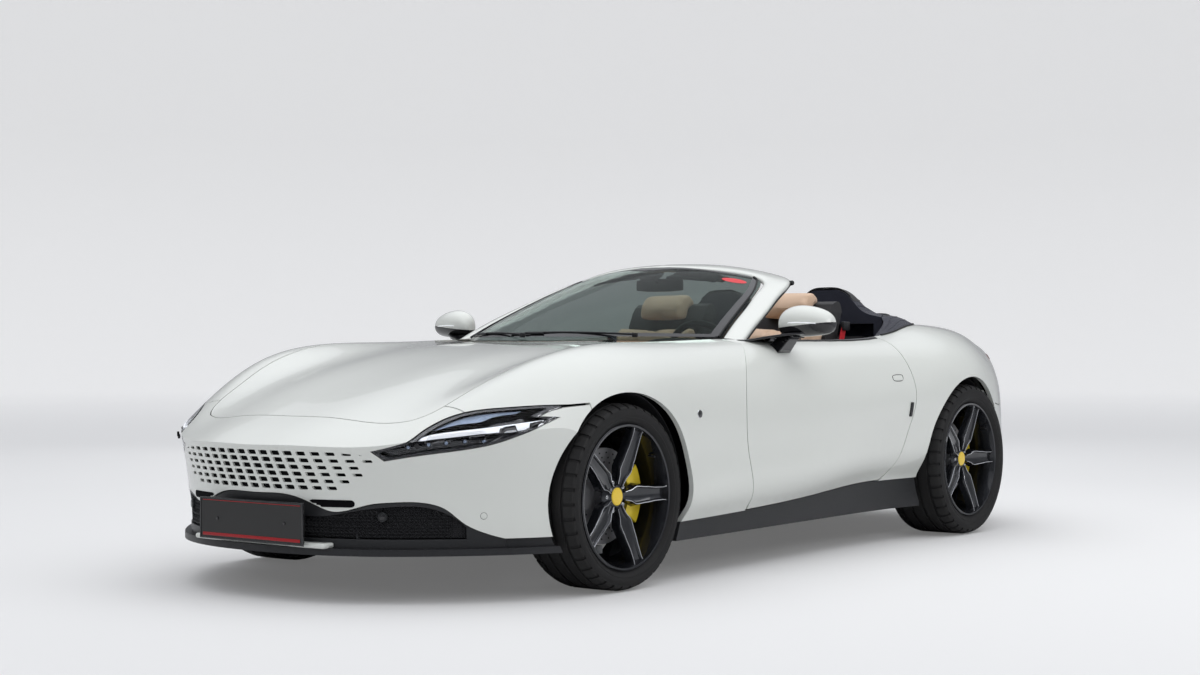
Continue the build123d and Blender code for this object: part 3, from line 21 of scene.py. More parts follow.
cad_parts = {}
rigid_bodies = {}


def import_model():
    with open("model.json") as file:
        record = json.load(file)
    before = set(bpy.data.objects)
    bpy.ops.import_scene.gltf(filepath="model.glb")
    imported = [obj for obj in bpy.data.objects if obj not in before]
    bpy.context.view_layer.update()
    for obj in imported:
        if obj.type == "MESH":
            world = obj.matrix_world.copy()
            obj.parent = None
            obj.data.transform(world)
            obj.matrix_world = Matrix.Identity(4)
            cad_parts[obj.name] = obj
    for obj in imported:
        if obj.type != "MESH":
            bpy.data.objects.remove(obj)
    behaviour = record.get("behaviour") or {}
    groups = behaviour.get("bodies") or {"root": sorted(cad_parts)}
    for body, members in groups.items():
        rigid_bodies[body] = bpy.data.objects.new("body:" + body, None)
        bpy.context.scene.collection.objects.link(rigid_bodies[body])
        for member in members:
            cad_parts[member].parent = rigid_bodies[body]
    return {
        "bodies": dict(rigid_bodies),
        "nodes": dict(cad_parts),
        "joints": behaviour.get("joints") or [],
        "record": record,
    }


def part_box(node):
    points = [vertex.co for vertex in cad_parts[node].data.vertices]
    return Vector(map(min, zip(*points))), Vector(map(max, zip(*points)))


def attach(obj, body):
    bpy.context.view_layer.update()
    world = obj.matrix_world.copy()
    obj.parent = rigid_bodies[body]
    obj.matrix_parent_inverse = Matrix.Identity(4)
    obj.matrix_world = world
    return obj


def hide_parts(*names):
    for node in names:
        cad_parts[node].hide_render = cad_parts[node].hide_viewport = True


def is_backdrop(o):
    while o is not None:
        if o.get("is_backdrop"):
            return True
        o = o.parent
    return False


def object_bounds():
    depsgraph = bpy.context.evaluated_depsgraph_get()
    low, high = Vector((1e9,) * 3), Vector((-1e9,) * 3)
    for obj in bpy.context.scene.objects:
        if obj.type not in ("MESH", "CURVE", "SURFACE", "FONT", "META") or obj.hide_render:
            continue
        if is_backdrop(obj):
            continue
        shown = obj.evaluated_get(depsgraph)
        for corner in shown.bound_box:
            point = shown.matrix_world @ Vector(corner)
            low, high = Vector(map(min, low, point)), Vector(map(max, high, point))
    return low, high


LOG = logging.getLogger("grand_tourer")
MM = 0.001
WELD = 0.00001
Point = Sequence[float]
Colour = tuple[float, float, float]
Feed = dict[str | int, object]


class Side(Enum):
    """A side of the car, as the sign of X."""

    LEFT = 1
    RIGHT = -1

    @property
    def label(self) -> str:
        """Return the side in lower case, as the pieces' names have it."""
        return self.name.lower()


# ---------------------------------------------------------------- shader nodes
def feed(tree: bpy.types.NodeTree, node: bpy.types.Node, inputs: Feed) -> None:
    """Fill a node's inputs.

    Args:
        tree: The tree that the node belongs to.
        node: The node.
        inputs: What goes into each input, by name or index: another node's output, or a plain value.
    """
    for key, value in inputs.items():
        if isinstance(value, bpy.types.NodeSocket):
            tree.links.new(value, node.inputs[key])
        else:
            node.inputs[key].default_value = value


def add_node(tree: bpy.types.NodeTree, kind: str, inputs: Feed | None = None,
             **settings: object) -> bpy.types.Node:
    """Add a shader node, set it and fill its inputs.

    Args:
        tree: The tree that gets the node.
        kind: The node's type, without the words that all types begin with.
        inputs: What goes into its inputs.
        **settings: The node's own settings.

    Returns:
        The node.
    """
    node = tree.nodes.new("ShaderNode" + kind)
    for label, value in settings.items():
        setattr(node, label, value)
    feed(tree, node, inputs or {})
    return node


def add_math(tree: bpy.types.NodeTree, operation: str, *values: object) -> bpy.types.NodeSocket:
    """Add a math node.

    Args:
        tree: The tree that gets the node.
        operation: What it works out.
        *values: What it works on, each an output or a number.

    Returns:
        Its result.
    """
    return add_node(tree, "Math", dict(enumerate(values)), operation=operation).outputs[0]


def new_group(name: str, inputs: dict[str, float | Colour], outputs: dict[str, str]) -> bpy.types.NodeTree:
    """Make an empty node group with its sockets.

    Args:
        name: The group's name.
        inputs: Each input's name and default, a number or a colour.
        outputs: Each output's name and kind, "Float", "Color" or "Vector".

    Returns:
        The group, with its input node called "in" and its output node called "out".
    """
    tree = bpy.data.node_groups.new(name, "ShaderNodeTree")
    for label, default in inputs.items():
        coloured = isinstance(default, tuple)
        socket = tree.interface.new_socket(name=label, in_out="INPUT",
                                           socket_type="NodeSocketColor" if coloured else "NodeSocketFloat")
        socket.default_value = (*default, 1.0) if coloured else default
    for label, kind in outputs.items():
        tree.interface.new_socket(name=label, in_out="OUTPUT", socket_type="NodeSocket" + kind)
    tree.nodes.new("NodeGroupInput").name = "in"
    tree.nodes.new("NodeGroupOutput").name = "out"
    return tree


class NodeGroups:
    """Shader effects that several finishes share, each built when it is first asked for."""

    @cached_property
    def mottle(self) -> bpy.types.NodeTree:
        """Return soft drifts of tone and gloss, as paint, plastic and hide have."""
        tree = new_group("mottle", {"Color": (0.8, 0.8, 0.8), "Darker": (0.6, 0.6, 0.6), "Scale": 4.0,
                                    "Amount": 0.2,
                                    "Roughness": 0.4, "Spread": 0.05},
                                    {"Color": "Color", "Roughness": "Float"})
        given = tree.nodes["in"].outputs
        place = add_node(tree, "TexCoord").outputs["Object"]
        broad = add_node(tree, "TexNoise", {"Vector": place, "Scale": given["Scale"], "Detail": 3.0})
        fine = add_node(tree, "TexNoise", {"Vector": place, "Scale": 160.0, "Detail": 2.0})
        share = add_math(tree, "MULTIPLY", broad.outputs["Fac"], given["Amount"])
        blend = add_node(tree, "Mix", {"Factor": share, "A": given["Color"], "B": given["Darker"]},
                         data_type="RGBA")
        centred = add_math(tree, "SUBTRACT", fine.outputs["Fac"], 0.5)
        gloss = add_math(tree, "MULTIPLY_ADD", centred, given["Spread"], given["Roughness"])
        feed(tree, tree.nodes["out"], {"Color": blend.outputs["Result"], "Roughness": gloss})
        return tree

    @cached_property
    def grain(self) -> bpy.types.NodeTree:
        """Return the pebbled height of leather or moulded plastic."""
        tree = new_group("grain", {"Scale": 300.0, "Depth": 0.5}, {"Height": "Float"})
        given = tree.nodes["in"].outputs
        place = add_node(tree, "TexCoord").outputs["Object"]
        cells = add_node(tree, "TexVoronoi", {"Vector": place, "Scale": given["Scale"]}, feature="SMOOTH_F1")
        coarser = add_math(tree, "MULTIPLY", given["Scale"], 0.35)
        creases = add_node(tree, "TexNoise", {"Vector": place, "Scale": coarser, "Detail": 4.0})
        total = add_math(tree, "ADD", cells.outputs["Distance"], creases.outputs["Fac"])
        feed(tree, tree.nodes["out"], {"Height": add_math(tree, "MULTIPLY", total, given["Depth"])})
        return tree

    @cached_property
    def weave(self) -> bpy.types.NodeTree:
        """Return the height of the crossing threads of cloth or mesh."""
        tree = new_group("weave", {"Pitch": 0.002, "Depth": 1.0}, {"Height": "Float"})
        given = tree.nodes["in"].outputs
        place = add_node(tree, "TexCoord").outputs["Object"]
        parts = add_node(tree, "SeparateXYZ", {0: place}).outputs
        waves = []
        for first, second, sign in (("X", "Y", "ADD"), ("Y", "X", "SUBTRACT")):
            run = add_math(tree, "ADD", add_math(tree, sign, parts[first], parts[second]), parts["Z"])
            waves.append(add_math(tree, "SINE", add_math(tree, "DIVIDE", run, given["Pitch"])))
        cross = add_math(tree, "MULTIPLY", *waves)
        feed(tree, tree.nodes["out"], {"Height": add_math(tree, "MULTIPLY", cross, given["Depth"])})
        return tree

    @cached_property
    def edge_wear(self) -> bpy.types.NodeTree:
        """Return a colour that brightens a little where edges are rubbed."""
        tree = new_group("edge_wear", {"Color": (0.1, 0.1, 0.1), "Rubbed": (0.3, 0.3, 0.3), "Amount": 0.3},
                         {"Color": "Color"})
        given = tree.nodes["in"].outputs
        edge = add_node(tree, "NewGeometry").outputs["Pointiness"]
        sharp = add_node(tree, "MapRange", {"Value": edge, "From Min": 0.52, "From Max": 0.62})
        share = add_math(tree, "MULTIPLY", sharp.outputs["Result"], given["Amount"])
        blend = add_node(tree, "Mix", {"Factor": share, "A": given["Color"], "B": given["Rubbed"]},
                         data_type="RGBA")
        feed(tree, tree.nodes["out"], {"Color": blend.outputs["Result"]})
        return tree


GROUPS = NodeGroups()


# ---------------------------------------------------------------- finishes
class Relief(Enum):
    """The kind of small relief that a finish carries."""

    GRAIN = "grain"
    WEAVE = "weave"
    BRUSHED = "brushed"


@dataclass(frozen=True)
class Finish:
    """A surface finish: its colours, gloss and relief."""

    name: str
    colour: Colour
    darker: Colour
    roughness: float = 0.4
    spread: float = 0.05
    metallic: float = 0.0
    coat: float = 0.0
    coat_roughness: float = 0.03
    mottle: float = 0.25
    mottle_scale: float = 5.0
    relief: Relief = Relief.GRAIN
    relief_scale: float = 300.0
    relief_depth: float = 0.3
    relief_height: float = 0.0004
    worn: Colour | None = None
    wear: float = 0.25
    sheen: float = 0.0
    specular: float = 0.5
    glow: float = 0.0
    transmission: float = 0.0
    ior: float = 1.45

    def make(self) -> bpy.types.Material:
        """Build the material, once for each name.

        Returns:
            The material, ready to go into a slot.
        """
        known = bpy.data.materials.get(self.name)
        if known:
            return known
        material = bpy.data.materials.new(self.name)
        material.use_nodes = True
        tree = material.node_tree
        tone = add_node(tree, "Group", {"Color": (*self.colour, 1.0), "Darker": (*self.darker, 1.0),
                                        "Scale": self.mottle_scale, "Amount": self.mottle,
                                        "Roughness": self.roughness, "Spread": self.spread},
                                        node_tree=GROUPS.mottle)
        colour = tone.outputs["Color"]
        if self.worn:
            rubbed = {"Color": colour, "Rubbed": (*self.worn, 1.0), "Amount": self.wear}
            colour = add_node(tree, "Group", rubbed, node_tree=GROUPS.edge_wear).outputs["Color"]
        look: Feed = {"Base Color": colour, "Roughness": tone.outputs["Roughness"], "Metallic": self.metallic,
                      "Coat Weight": self.coat, "Specular IOR Level": self.specular,
                      "Coat Roughness": self.coat_roughness, "Sheen Weight": self.sheen,
                      "Transmission Weight": self.transmission, "IOR": self.ior, "Normal": self._relief(tree)}
        if self.glow:
            look |= {"Emission Color": colour, "Emission Strength": self.glow}
        feed(tree, tree.nodes["Principled BSDF"], look)
        return material

    def _relief(self, tree: bpy.types.NodeTree) -> bpy.types.NodeSocket:
        """Add the small relief.

        Args:
            tree: The material's nodes.

        Returns:
            The normal that the relief gives.
        """
        if self.relief is Relief.BRUSHED:
            place = add_node(tree, "TexCoord").outputs["Object"]
            stretch = add_node(tree, "Mapping", {"Vector": place,
                                                 "Scale": (1.0, self.relief_scale, self.relief_scale)})
            height = add_node(tree, "TexNoise", {"Vector": stretch.outputs[0], "Scale": 4.0}).outputs["Fac"]
        elif self.relief is Relief.WEAVE:
            height = add_node(tree, "Group", {"Pitch": self.relief_scale, "Depth": self.relief_depth},
                              node_tree=GROUPS.weave).outputs["Height"]
        else:
            height = add_node(tree, "Group", {"Scale": self.relief_scale, "Depth": self.relief_depth},
                              node_tree=GROUPS.grain).outputs["Height"]
        bump = add_node(tree, "Bump", {"Strength": 1.0, "Distance": self.relief_height, "Height": height})
        return bump.outputs["Normal"]


PEARL = Finish("pearl_lacquer", (0.75, 0.77, 0.73), (0.70, 0.725, 0.69), roughness=0.30, spread=0.03,
               coat=1.0, coat_roughness=0.02, mottle=0.35, mottle_scale=1.4, relief_scale=2600.0,
               relief_depth=0.2, relief_height=0.00002)
SATIN_BLACK = Finish("satin_black_plastic", (0.020, 0.021, 0.023), (0.012, 0.012, 0.014), roughness=0.38,
                     specular=0.35, relief_scale=1400.0, relief_depth=0.4, relief_height=0.00012,
                     worn=(0.07, 0.07, 0.075), wear=0.2)
GLOSS_BLACK = Finish("gloss_black", (0.010, 0.010, 0.012), (0.006, 0.006, 0.008), roughness=0.12, spread=0.04,
                     coat=0.6, relief_scale=900.0, relief_depth=0.15, relief_height=0.00003)
# A dead black that stands in for shade: the brake discs' drilled holes, the space behind the grille and the
# nose's slots are painted shade in it.
PAINTED_SHADE_BLACK = Finish("soot_black", (0.004, 0.004, 0.005), (0.002, 0.002, 0.002), roughness=0.8, specular=0.1,
                    relief_scale=700.0, relief_height=0.0002)
MESH_BLACK = Finish("mesh_black", (0.014, 0.014, 0.016), (0.004, 0.004, 0.005), roughness=0.34, specular=0.25,
                    relief=Relief.WEAVE, relief_scale=0.0022, relief_depth=1.0, relief_height=0.0015)
RUBBER = Finish("tyre_rubber", (0.016, 0.016, 0.017), (0.026, 0.025, 0.024), roughness=0.62, spread=0.12,
                mottle=0.6, mottle_scale=9.0, specular=0.22, relief_scale=900.0, relief_depth=0.5,
                relief_height=0.00022, worn=(0.055, 0.054, 0.052), wear=0.35)
SEAL_RUBBER = Finish("seal_rubber", (0.012, 0.012, 0.013), (0.007, 0.007, 0.008), roughness=0.5,
                     relief_scale=1200.0, relief_height=0.0001)
RIM_DARK = Finish("rim_dark_lacquer", (0.028, 0.030, 0.036), (0.016, 0.017, 0.020), roughness=0.26,
                  metallic=0.75, coat=0.8, relief_scale=2000.0, relief_depth=0.3, relief_height=0.00003)
MACHINED = Finish("machined_edge", (0.62, 0.63, 0.66), (0.45, 0.46, 0.49), roughness=0.24, metallic=1.0,
                  relief=Relief.BRUSHED, relief_scale=220.0, relief_height=0.00004)
DISC_STEEL = Finish("disc_steel", (0.20, 0.20, 0.21), (0.11, 0.11, 0.12), roughness=0.34, metallic=0.9,
                    relief=Relief.BRUSHED, relief_scale=260.0, relief_height=0.0001)
CALIPER = Finish("caliper_yellow", (0.86, 0.56, 0.012), (0.72, 0.45, 0.01), roughness=0.3, coat=0.5,
                 relief_scale=700.0, relief_height=0.00008)
CAP_YELLOW = Finish("cap_yellow", (0.90, 0.62, 0.02), (0.84, 0.56, 0.02), roughness=0.28, coat=0.7,
                    relief_scale=1400.0, relief_depth=0.1, relief_height=0.00003)
CAST_ALLOY = Finish("cast_alloy", (0.36, 0.37, 0.38), (0.22, 0.22, 0.23), roughness=0.5, metallic=0.8,
                    relief_scale=500.0, relief_depth=0.6, relief_height=0.0003)
UNDERBODY = Finish("underbody_coat", (0.030, 0.030, 0.032), (0.018, 0.018, 0.019), roughness=0.7,
                   specular=0.2, relief_scale=240.0, relief_depth=0.7, relief_height=0.0005)
POLISHED = Finish("polished_steel", (0.72, 0.72, 0.73), (0.55, 0.55, 0.57), roughness=0.12, metallic=1.0,
                  relief=Relief.BRUSHED, relief_scale=120.0, relief_height=0.00002)
BRIGHT_PLATE = Finish("bright_plating", (0.80, 0.81, 0.83), (0.66, 0.67, 0.70), roughness=0.08, metallic=1.0,
                      relief_scale=300.0, relief_depth=0.2, relief_height=0.00002)
LAMP_WHITE = Finish("lamp_white", (0.92, 0.94, 0.97), (0.85, 0.88, 0.92), roughness=0.25, glow=0.35, coat=0.4,
                    relief_scale=500.0, relief_depth=0.2, relief_height=0.00004)
LAMP_RED = Finish("lamp_red", (0.42, 0.010, 0.012), (0.25, 0.004, 0.006), roughness=0.16, coat=0.9, glow=0.08,
                  relief=Relief.WEAVE, relief_scale=0.0012, relief_depth=0.6, relief_height=0.0004)
LEATHER_TAN = Finish("leather_tan", (0.68, 0.48, 0.34), (0.57, 0.39, 0.26), roughness=0.52, spread=0.12,
                     sheen=0.15, mottle=0.5, mottle_scale=7.0, relief_scale=620.0, relief_depth=0.6,
                     relief_height=0.00035, worn=(0.76, 0.57, 0.43), wear=0.3)
LEATHER_BLACK = Finish("leather_black", (0.018, 0.018, 0.020), (0.010, 0.010, 0.011), roughness=0.46,
                       spread=0.1, sheen=0.1, specular=0.3, relief_scale=620.0, relief_depth=0.6,
                       relief_height=0.00035, worn=(0.05, 0.05, 0.052), wear=0.3)
THREAD = Finish("stitch_thread", (0.70, 0.52, 0.38), (0.60, 0.43, 0.30), roughness=0.8, relief=Relief.WEAVE,
                relief_scale=0.0004, relief_height=0.0002)
CARPET = Finish("carpet", (0.020, 0.020, 0.022), (0.010, 0.010, 0.011), roughness=0.95, sheen=0.3,
                specular=0.1, relief_scale=420.0, relief_depth=1.0, relief_height=0.0015)
COVER_CLOTH = Finish("cover_cloth", (0.020, 0.023, 0.040), (0.012, 0.013, 0.024), roughness=0.82, sheen=0.25,
                     mottle=0.6, specular=0.2, relief=Relief.WEAVE, relief_scale=0.0007, relief_depth=1.0,
                     relief_height=0.0004)
BELT_RED = Finish("belt_red", (0.62, 0.02, 0.03), (0.45, 0.01, 0.02), roughness=0.55, relief=Relief.WEAVE,
                  relief_scale=0.0006, relief_height=0.0003)
PLATE_BLACK = Finish("plate_black", (0.003, 0.003, 0.003), (0.0015, 0.0015, 0.0015), roughness=0.62,
                     specular=0.08, relief_scale=500.0, relief_depth=0.2, relief_height=0.00008)
PLATE_RED = Finish("plate_red", (0.36, 0.008, 0.012), (0.28, 0.006, 0.010), roughness=0.4, relief_scale=500.0,
                   relief_height=0.00005)
SCREEN_BLACK = Finish("screen_black", (0.006, 0.007, 0.009), (0.003, 0.004, 0.005), roughness=0.08, coat=0.8,
                      relief_scale=200.0, relief_depth=0.1, relief_height=0.00001)
MIRROR_GLASS = Finish("mirror_glass", (0.80, 0.83, 0.85), (0.76, 0.79, 0.82), roughness=0.02, spread=0.01,
                      metallic=1.0, relief_scale=20.0, relief_depth=0.05, relief_height=0.00001)
CLEAR_LENS = Finish("clear_lens", (0.97, 0.98, 1.0), (0.92, 0.95, 0.98), roughness=0.02, spread=0.01,
                    transmission=1.0, ior=1.12, relief_scale=30.0, relief_depth=0.1, relief_height=0.00001)
TINTED_GLASS = Finish("tinted_glass", (0.30, 0.37, 0.34), (0.38, 0.45, 0.42), roughness=0.01, spread=0.01,
                      transmission=1.0, ior=1.12, relief_scale=12.0, relief_depth=0.1, relief_height=0.00001)


# ---------------------------------------------------------------- modelling tools
def use(obj: bpy.types.Object) -> bpy.types.Object:
    """Make one object the only one selected, and active.

    Args:
        obj: The piece.

    Returns:
        The same piece.
    """
    bpy.ops.object.select_all(action="DESELECT")
    obj.select_set(True)
    bpy.context.view_layer.objects.active = obj
    return obj


def named(name: str) -> bpy.types.Object:
    """Give the piece that was just added its name, with its transforms applied.

    Args:
        name: The new piece's name.

    Returns:
        The piece, selected and active.
    """
    obj = bpy.context.active_object
    use(obj)
    bpy.ops.object.transform_apply(location=True, rotation=True, scale=True)
    obj.name = name
    obj.data.name = name
    return obj


def choose(obj: bpy.types.Object, test: Callable[[Vector, Vector], bool]) -> int:
    """In edit mode, select the faces whose centre and normal pass a test, and nothing else.

    Args:
        obj: The piece being edited.
        test: Takes a face's centre and normal.

    Returns:
        How many faces were chosen.
    """
    bpy.ops.mesh.select_mode(type="FACE")
    bpy.ops.mesh.select_all(action="DESELECT")
    shape = bmesh.from_edit_mesh(obj.data)
    count = 0
    for face in shape.faces:
        if test(face.calc_center_median(), face.normal):
            face.select_set(True)
            count += 1
    bmesh.update_edit_mesh(obj.data)
    return count


@contextmanager
def editing(obj: bpy.types.Object) -> Iterator[None]:
    """Open a piece in edit mode with all of it selected, and leave the mode at the end.

    Args:
        obj: The piece.
    """
    use(obj)
    bpy.ops.object.mode_set(mode="EDIT")
    bpy.ops.mesh.select_mode(type="VERT")
    bpy.ops.mesh.select_all(action="SELECT")
    yield
    bpy.ops.object.mode_set(mode="OBJECT")


def face_out(obj: bpy.types.Object, weld: float = 0.0) -> bpy.types.Object:
    """Point a piece's normals outward.

    Args:
        obj: The piece.
        weld: How close two points are to be welded first, or 0 for no welding.

    Returns:
        The same piece.
    """
    with editing(obj):
        if weld:
            bpy.ops.mesh.remove_doubles(threshold=weld)
        bpy.ops.mesh.normals_make_consistent(inside=False)
    return obj


def sink(obj: bpy.types.Object, test: Callable[[Vector, Vector], bool], margin: float,
         step: Point) -> bpy.types.Object:
    """Inset some faces of a piece and push them in or out.

    Args:
        obj: The piece.
        test: Takes a face's centre and normal.
        margin: The width of the rim that stays.
        step: How far and which way the faces go.

    Returns:
        The same piece.
    """
    with editing(obj):
        choose(obj, test)
        bpy.ops.mesh.inset(thickness=margin)
        bpy.ops.transform.translate(value=tuple(step))
    return obj


def trace(name: str, points: Sequence[Point], closed: bool = False) -> bpy.types.Object:
    """Draw a chain of edges through points, one extrusion at a time.

    Args:
        name: The piece's name.
        points: Where the chain goes.
        closed: Whether its last point joins its first.

    Returns:
        The chain, out of edit mode.
    """
    bpy.ops.object.select_all(action="DESELECT")
    bpy.ops.mesh.primitive_plane_add(size=0.001, location=(0, 0, 0))
    obj = named(name)
    with editing(obj):
        bpy.ops.mesh.merge(type="CENTER")
        bpy.ops.transform.translate(value=tuple(points[0]))
        for here, there in zip(points, points[1:]):
            step = tuple(Vector(there) - Vector(here))
            bpy.ops.mesh.extrude_vertices_move(TRANSFORM_OT_translate={"value": step})
        if closed:
            bpy.ops.mesh.select_all(action="DESELECT")
            shape = bmesh.from_edit_mesh(obj.data)
            for vertex in shape.verts:
                if len(vertex.link_edges) == 1:
                    vertex.select_set(True)
            bmesh.update_edit_mesh(obj.data)
            bpy.ops.mesh.edge_face_add()
    return obj


def sweep(name: str, points: Sequence[Point], step: Point) -> bpy.types.Object:
    """Fill a traced outline and raise it into a solid.

    Args:
        name: The piece's name.
        points: The outline.
        step: How far and which way it is raised.

    Returns:
        The piece, with its normals outward.
    """
    obj = trace(name, points, True)
    with editing(obj):
        bpy.ops.mesh.edge_face_add()
        bpy.ops.mesh.extrude_region_move(TRANSFORM_OT_translate={"value": tuple(step)})
    return face_out(obj)


def lathe(name: str, profile: Sequence[Point], centre: Point, steps: int) -> bpy.types.Object:
    """Spin a profile about an axis that runs across the car.

    Args:
        name: The piece's name.
        profile: Pairs of X and radius.
        centre: A point on the axis.
        steps: How many segments go round.

    Returns:
        The turned piece, welded, with its normals outward.
    """
    centre = Vector(centre)
    obj = trace(name, [(x, centre.y, centre.z + radius) for x, radius in profile])
    with editing(obj):
        bpy.ops.mesh.spin(steps=steps, angle=math.tau, center=centre, axis=(1, 0, 0))
    return face_out(obj, 2 * WELD)


def modify(obj: bpy.types.Object, kind: str, **settings: object) -> bpy.types.Object:
    """Add a modifier, set it and apply it.

    Args:
        obj: The piece.
        kind: The modifier's type.
        **settings: Its settings.

    Returns:
        The same piece.
    """
    use(obj)
    modifier = obj.modifiers.new(kind.lower(), kind)
    for label, value in settings.items():
        setattr(modifier, label, value)
    bpy.ops.object.modifier_apply(modifier=modifier.name)
    return obj


def soften(obj: bpy.types.Object, width: float, segments: int = 2, angle: float = 30.0) -> bpy.types.Object:
    """Round a piece's sharp edges and shade it smooth.

    Args:
        obj: The piece.
        width: The width of the rounding.
        segments: How many steps the rounding has.
        angle: Edges sharper than this are rounded, in degrees.

    Returns:
        The same piece.
    """
    modify(obj, "BEVEL", width=width, segments=segments, limit_method="ANGLE",
           angle_limit=math.radians(angle))
    return smooth(obj)


def smooth(obj: bpy.types.Object, angle: float = 35.0) -> bpy.types.Object:
    """Shade a piece smooth except at its sharp edges.

    Args:
        obj: The piece.
        angle: Edges sharper than this stay sharp, in degrees.

    Returns:
        The same piece.
    """
    use(obj)
    bpy.ops.object.shade_smooth_by_angle(angle=math.radians(angle))
    return obj


def block(name: str, low: Point, high: Point, round_edge: float = 0.0) -> bpy.types.Object:
    """Add a block between two corners, with its edges rounded.

    Args:
        name: The piece's name.
        low: Its lowest corner.
        high: Its highest corner.
        round_edge: The width of the rounding.

    Returns:
        The block.
    """
    low, high = Vector(low), Vector(high)
    bpy.ops.object.select_all(action="DESELECT")
    bpy.ops.mesh.primitive_cube_add(size=1.0, location=(low + high) / 2, scale=high - low)
    obj = named(name)
    return soften(obj, round_edge) if round_edge else obj


def rounded(obj: bpy.types.Object, width: float, segments: int = 2) -> bpy.types.Object:
    """Point a piece's normals outward and round its edges.

    Args:
        obj: The piece, which may have been made inside out.
        width: The width of the rounding.
        segments: How many steps the rounding has.

    Returns:
        The same piece.
    """
    return soften(face_out(obj), width, segments)


def bar(name: str, start: Point, end: Point, radius: float, sides: int = 24) -> bpy.types.Object:
    """Add a round bar between two points, with slightly rounded ends.

    Args:
        name: The piece's name.
        start: One end's centre.
        end: The other end's centre.
        radius: The bar's radius.
        sides: How many sides go round.

    Returns:
        The bar.
    """
    start, end = Vector(start), Vector(end)
    run = end - start
    turn = run.to_track_quat("Z", "Y").to_euler()
    bpy.ops.object.select_all(action="DESELECT")
    bpy.ops.mesh.primitive_cylinder_add(vertices=sides, radius=radius, depth=run.length,
                                        location=(start + end) / 2, rotation=turn)
    return soften(named(name), min(radius * 0.2, 0.0015))


def tube(name: str, points: Sequence[Point], radius: float, closed: bool = False,
         sides: int = 4) -> bpy.types.Object:
    """Run a round section along a smooth path.

    Args:
        name: The piece's name.
        points: Where the path goes.
        radius: The section's radius.
        closed: Whether the path closes on itself.
        sides: The section's fineness.

    Returns:
        The tube, as a mesh.
    """
    bpy.ops.object.select_all(action="DESELECT")
    bpy.ops.curve.primitive_nurbs_path_add(location=(0, 0, 0))
    obj = bpy.context.active_object
    curve = obj.data
    curve.splines.clear()
    spline = curve.splines.new("NURBS")
    spline.points.add(len(points) - 1)
    for knot, place in zip(spline.points, points):
        knot.co = (*place, 1.0)
    spline.use_cyclic_u = closed
    spline.use_endpoint_u = not closed
    spline.order_u = 3
    curve.resolution_u = 4
    curve.bevel_depth = radius
    curve.bevel_resolution = sides
    curve.use_fill_caps = True
    use(obj)
    bpy.ops.object.convert(target="MESH")
    return smooth(face_out(named(name), WELD))


def twin(obj: bpy.types.Object, name: str) -> bpy.types.Object:
    """Copy a left-hand piece to the right-hand side, with its own mesh.

    Args:
        obj: The left-hand piece.
        name: The copy's name.

    Returns:
        The mirrored copy, with its normals outward.
    """
    use(obj)
    bpy.ops.object.duplicate(linked=False)
    bpy.ops.transform.resize(value=(-1, 1, 1), center_override=(0, 0, 0))
    return smooth(face_out(named(name)))


def copy_of(obj: bpy.types.Object, name: str) -> bpy.types.Object:
    """Copy a piece in place, with its own mesh.

    Args:
        obj: The piece.
        name: The copy's name.

    Returns:
        The copy.
    """
    use(obj)
    bpy.ops.object.duplicate(linked=False)
    return named(name)


def turn(obj: bpy.types.Object, angle: float, axis: str, centre: Point) -> bpy.types.Object:
    """Turn a piece about an axis through a point, counted right-handed.

    Args:
        obj: The piece.
        angle: The angle in radians.
        axis: "X", "Y" or "Z".
        centre: A point on the axis.

    Returns:
        The same piece.
    """
    use(obj)
    place = Matrix.Translation(Vector(centre))
    obj.matrix_world = place @ Matrix.Rotation(angle, 4, axis) @ place.inverted() @ obj.matrix_world
    bpy.ops.object.transform_apply(location=True, rotation=True, scale=True)
    return obj


def join(pieces: Sequence[bpy.types.Object], name: str) -> bpy.types.Object:
    """Join pieces of one finish into one.

    Args:
        pieces: The pieces, which are used up.
        name: The joined piece's name.

    Returns:
        The joined piece.
    """
    bpy.ops.object.select_all(action="DESELECT")
    for piece in pieces:
        piece.select_set(True)
    bpy.context.view_layer.objects.active = pieces[0]
    bpy.ops.object.join()
    return named(name)


def cut(obj: bpy.types.Object, cutter: bpy.types.Object, how: str = "DIFFERENCE") -> bpy.types.Object:
    """Cut one piece with another, which is used up.

    Args:
        obj: The piece.
        cutter: The shape that cuts it.
        how: The boolean operation.

    Returns:
        The cut piece.
    """
    modify(obj, "BOOLEAN", object=cutter, operation=how, solver="EXACT")
    bpy.data.objects.remove(cutter)
    return obj


def finish_as(obj: bpy.types.Object, finish: Finish, body: str = "root") -> bpy.types.Object:
    """Give a piece its finish, its body and its material slot.

    Args:
        obj: The piece.
        finish: How its surface looks.
        body: The moving body that carries it.

    Returns:
        The same piece.
    """
    obj.data.materials.clear()
    obj.data.materials.append(finish.make())
    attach(obj, body)
    return obj


def add_disc(name: str, place: Point, radius: float, depth: float, sides: int) -> bpy.types.Object:
    """Add a small flat disc that faces across the car.

    Args:
        name: The disc's name.
        place: Its centre.
        radius: Its radius.
        depth: How thick it is.
        sides: How many sides go round.

    Returns:
        The disc.
    """
    bpy.ops.object.select_all(action="DESELECT")
    bpy.ops.mesh.primitive_cylinder_add(vertices=sides, radius=radius, depth=depth, location=place,
                                        rotation=(0, math.radians(90), 0))
    return named(name)


def add_blocks(finish: Finish, *rows: tuple[str, Point, Point, float], body: str = "root") -> None:
    """Add rounded blocks of one finish.

    Args:
        finish: How they look.
        *rows: Each block's name, lowest corner, highest corner and rounding.
        body: The moving body that carries them.
    """
    for name, low, high, round_edge in rows:
        finish_as(block(name, low, high, round_edge), finish, body)


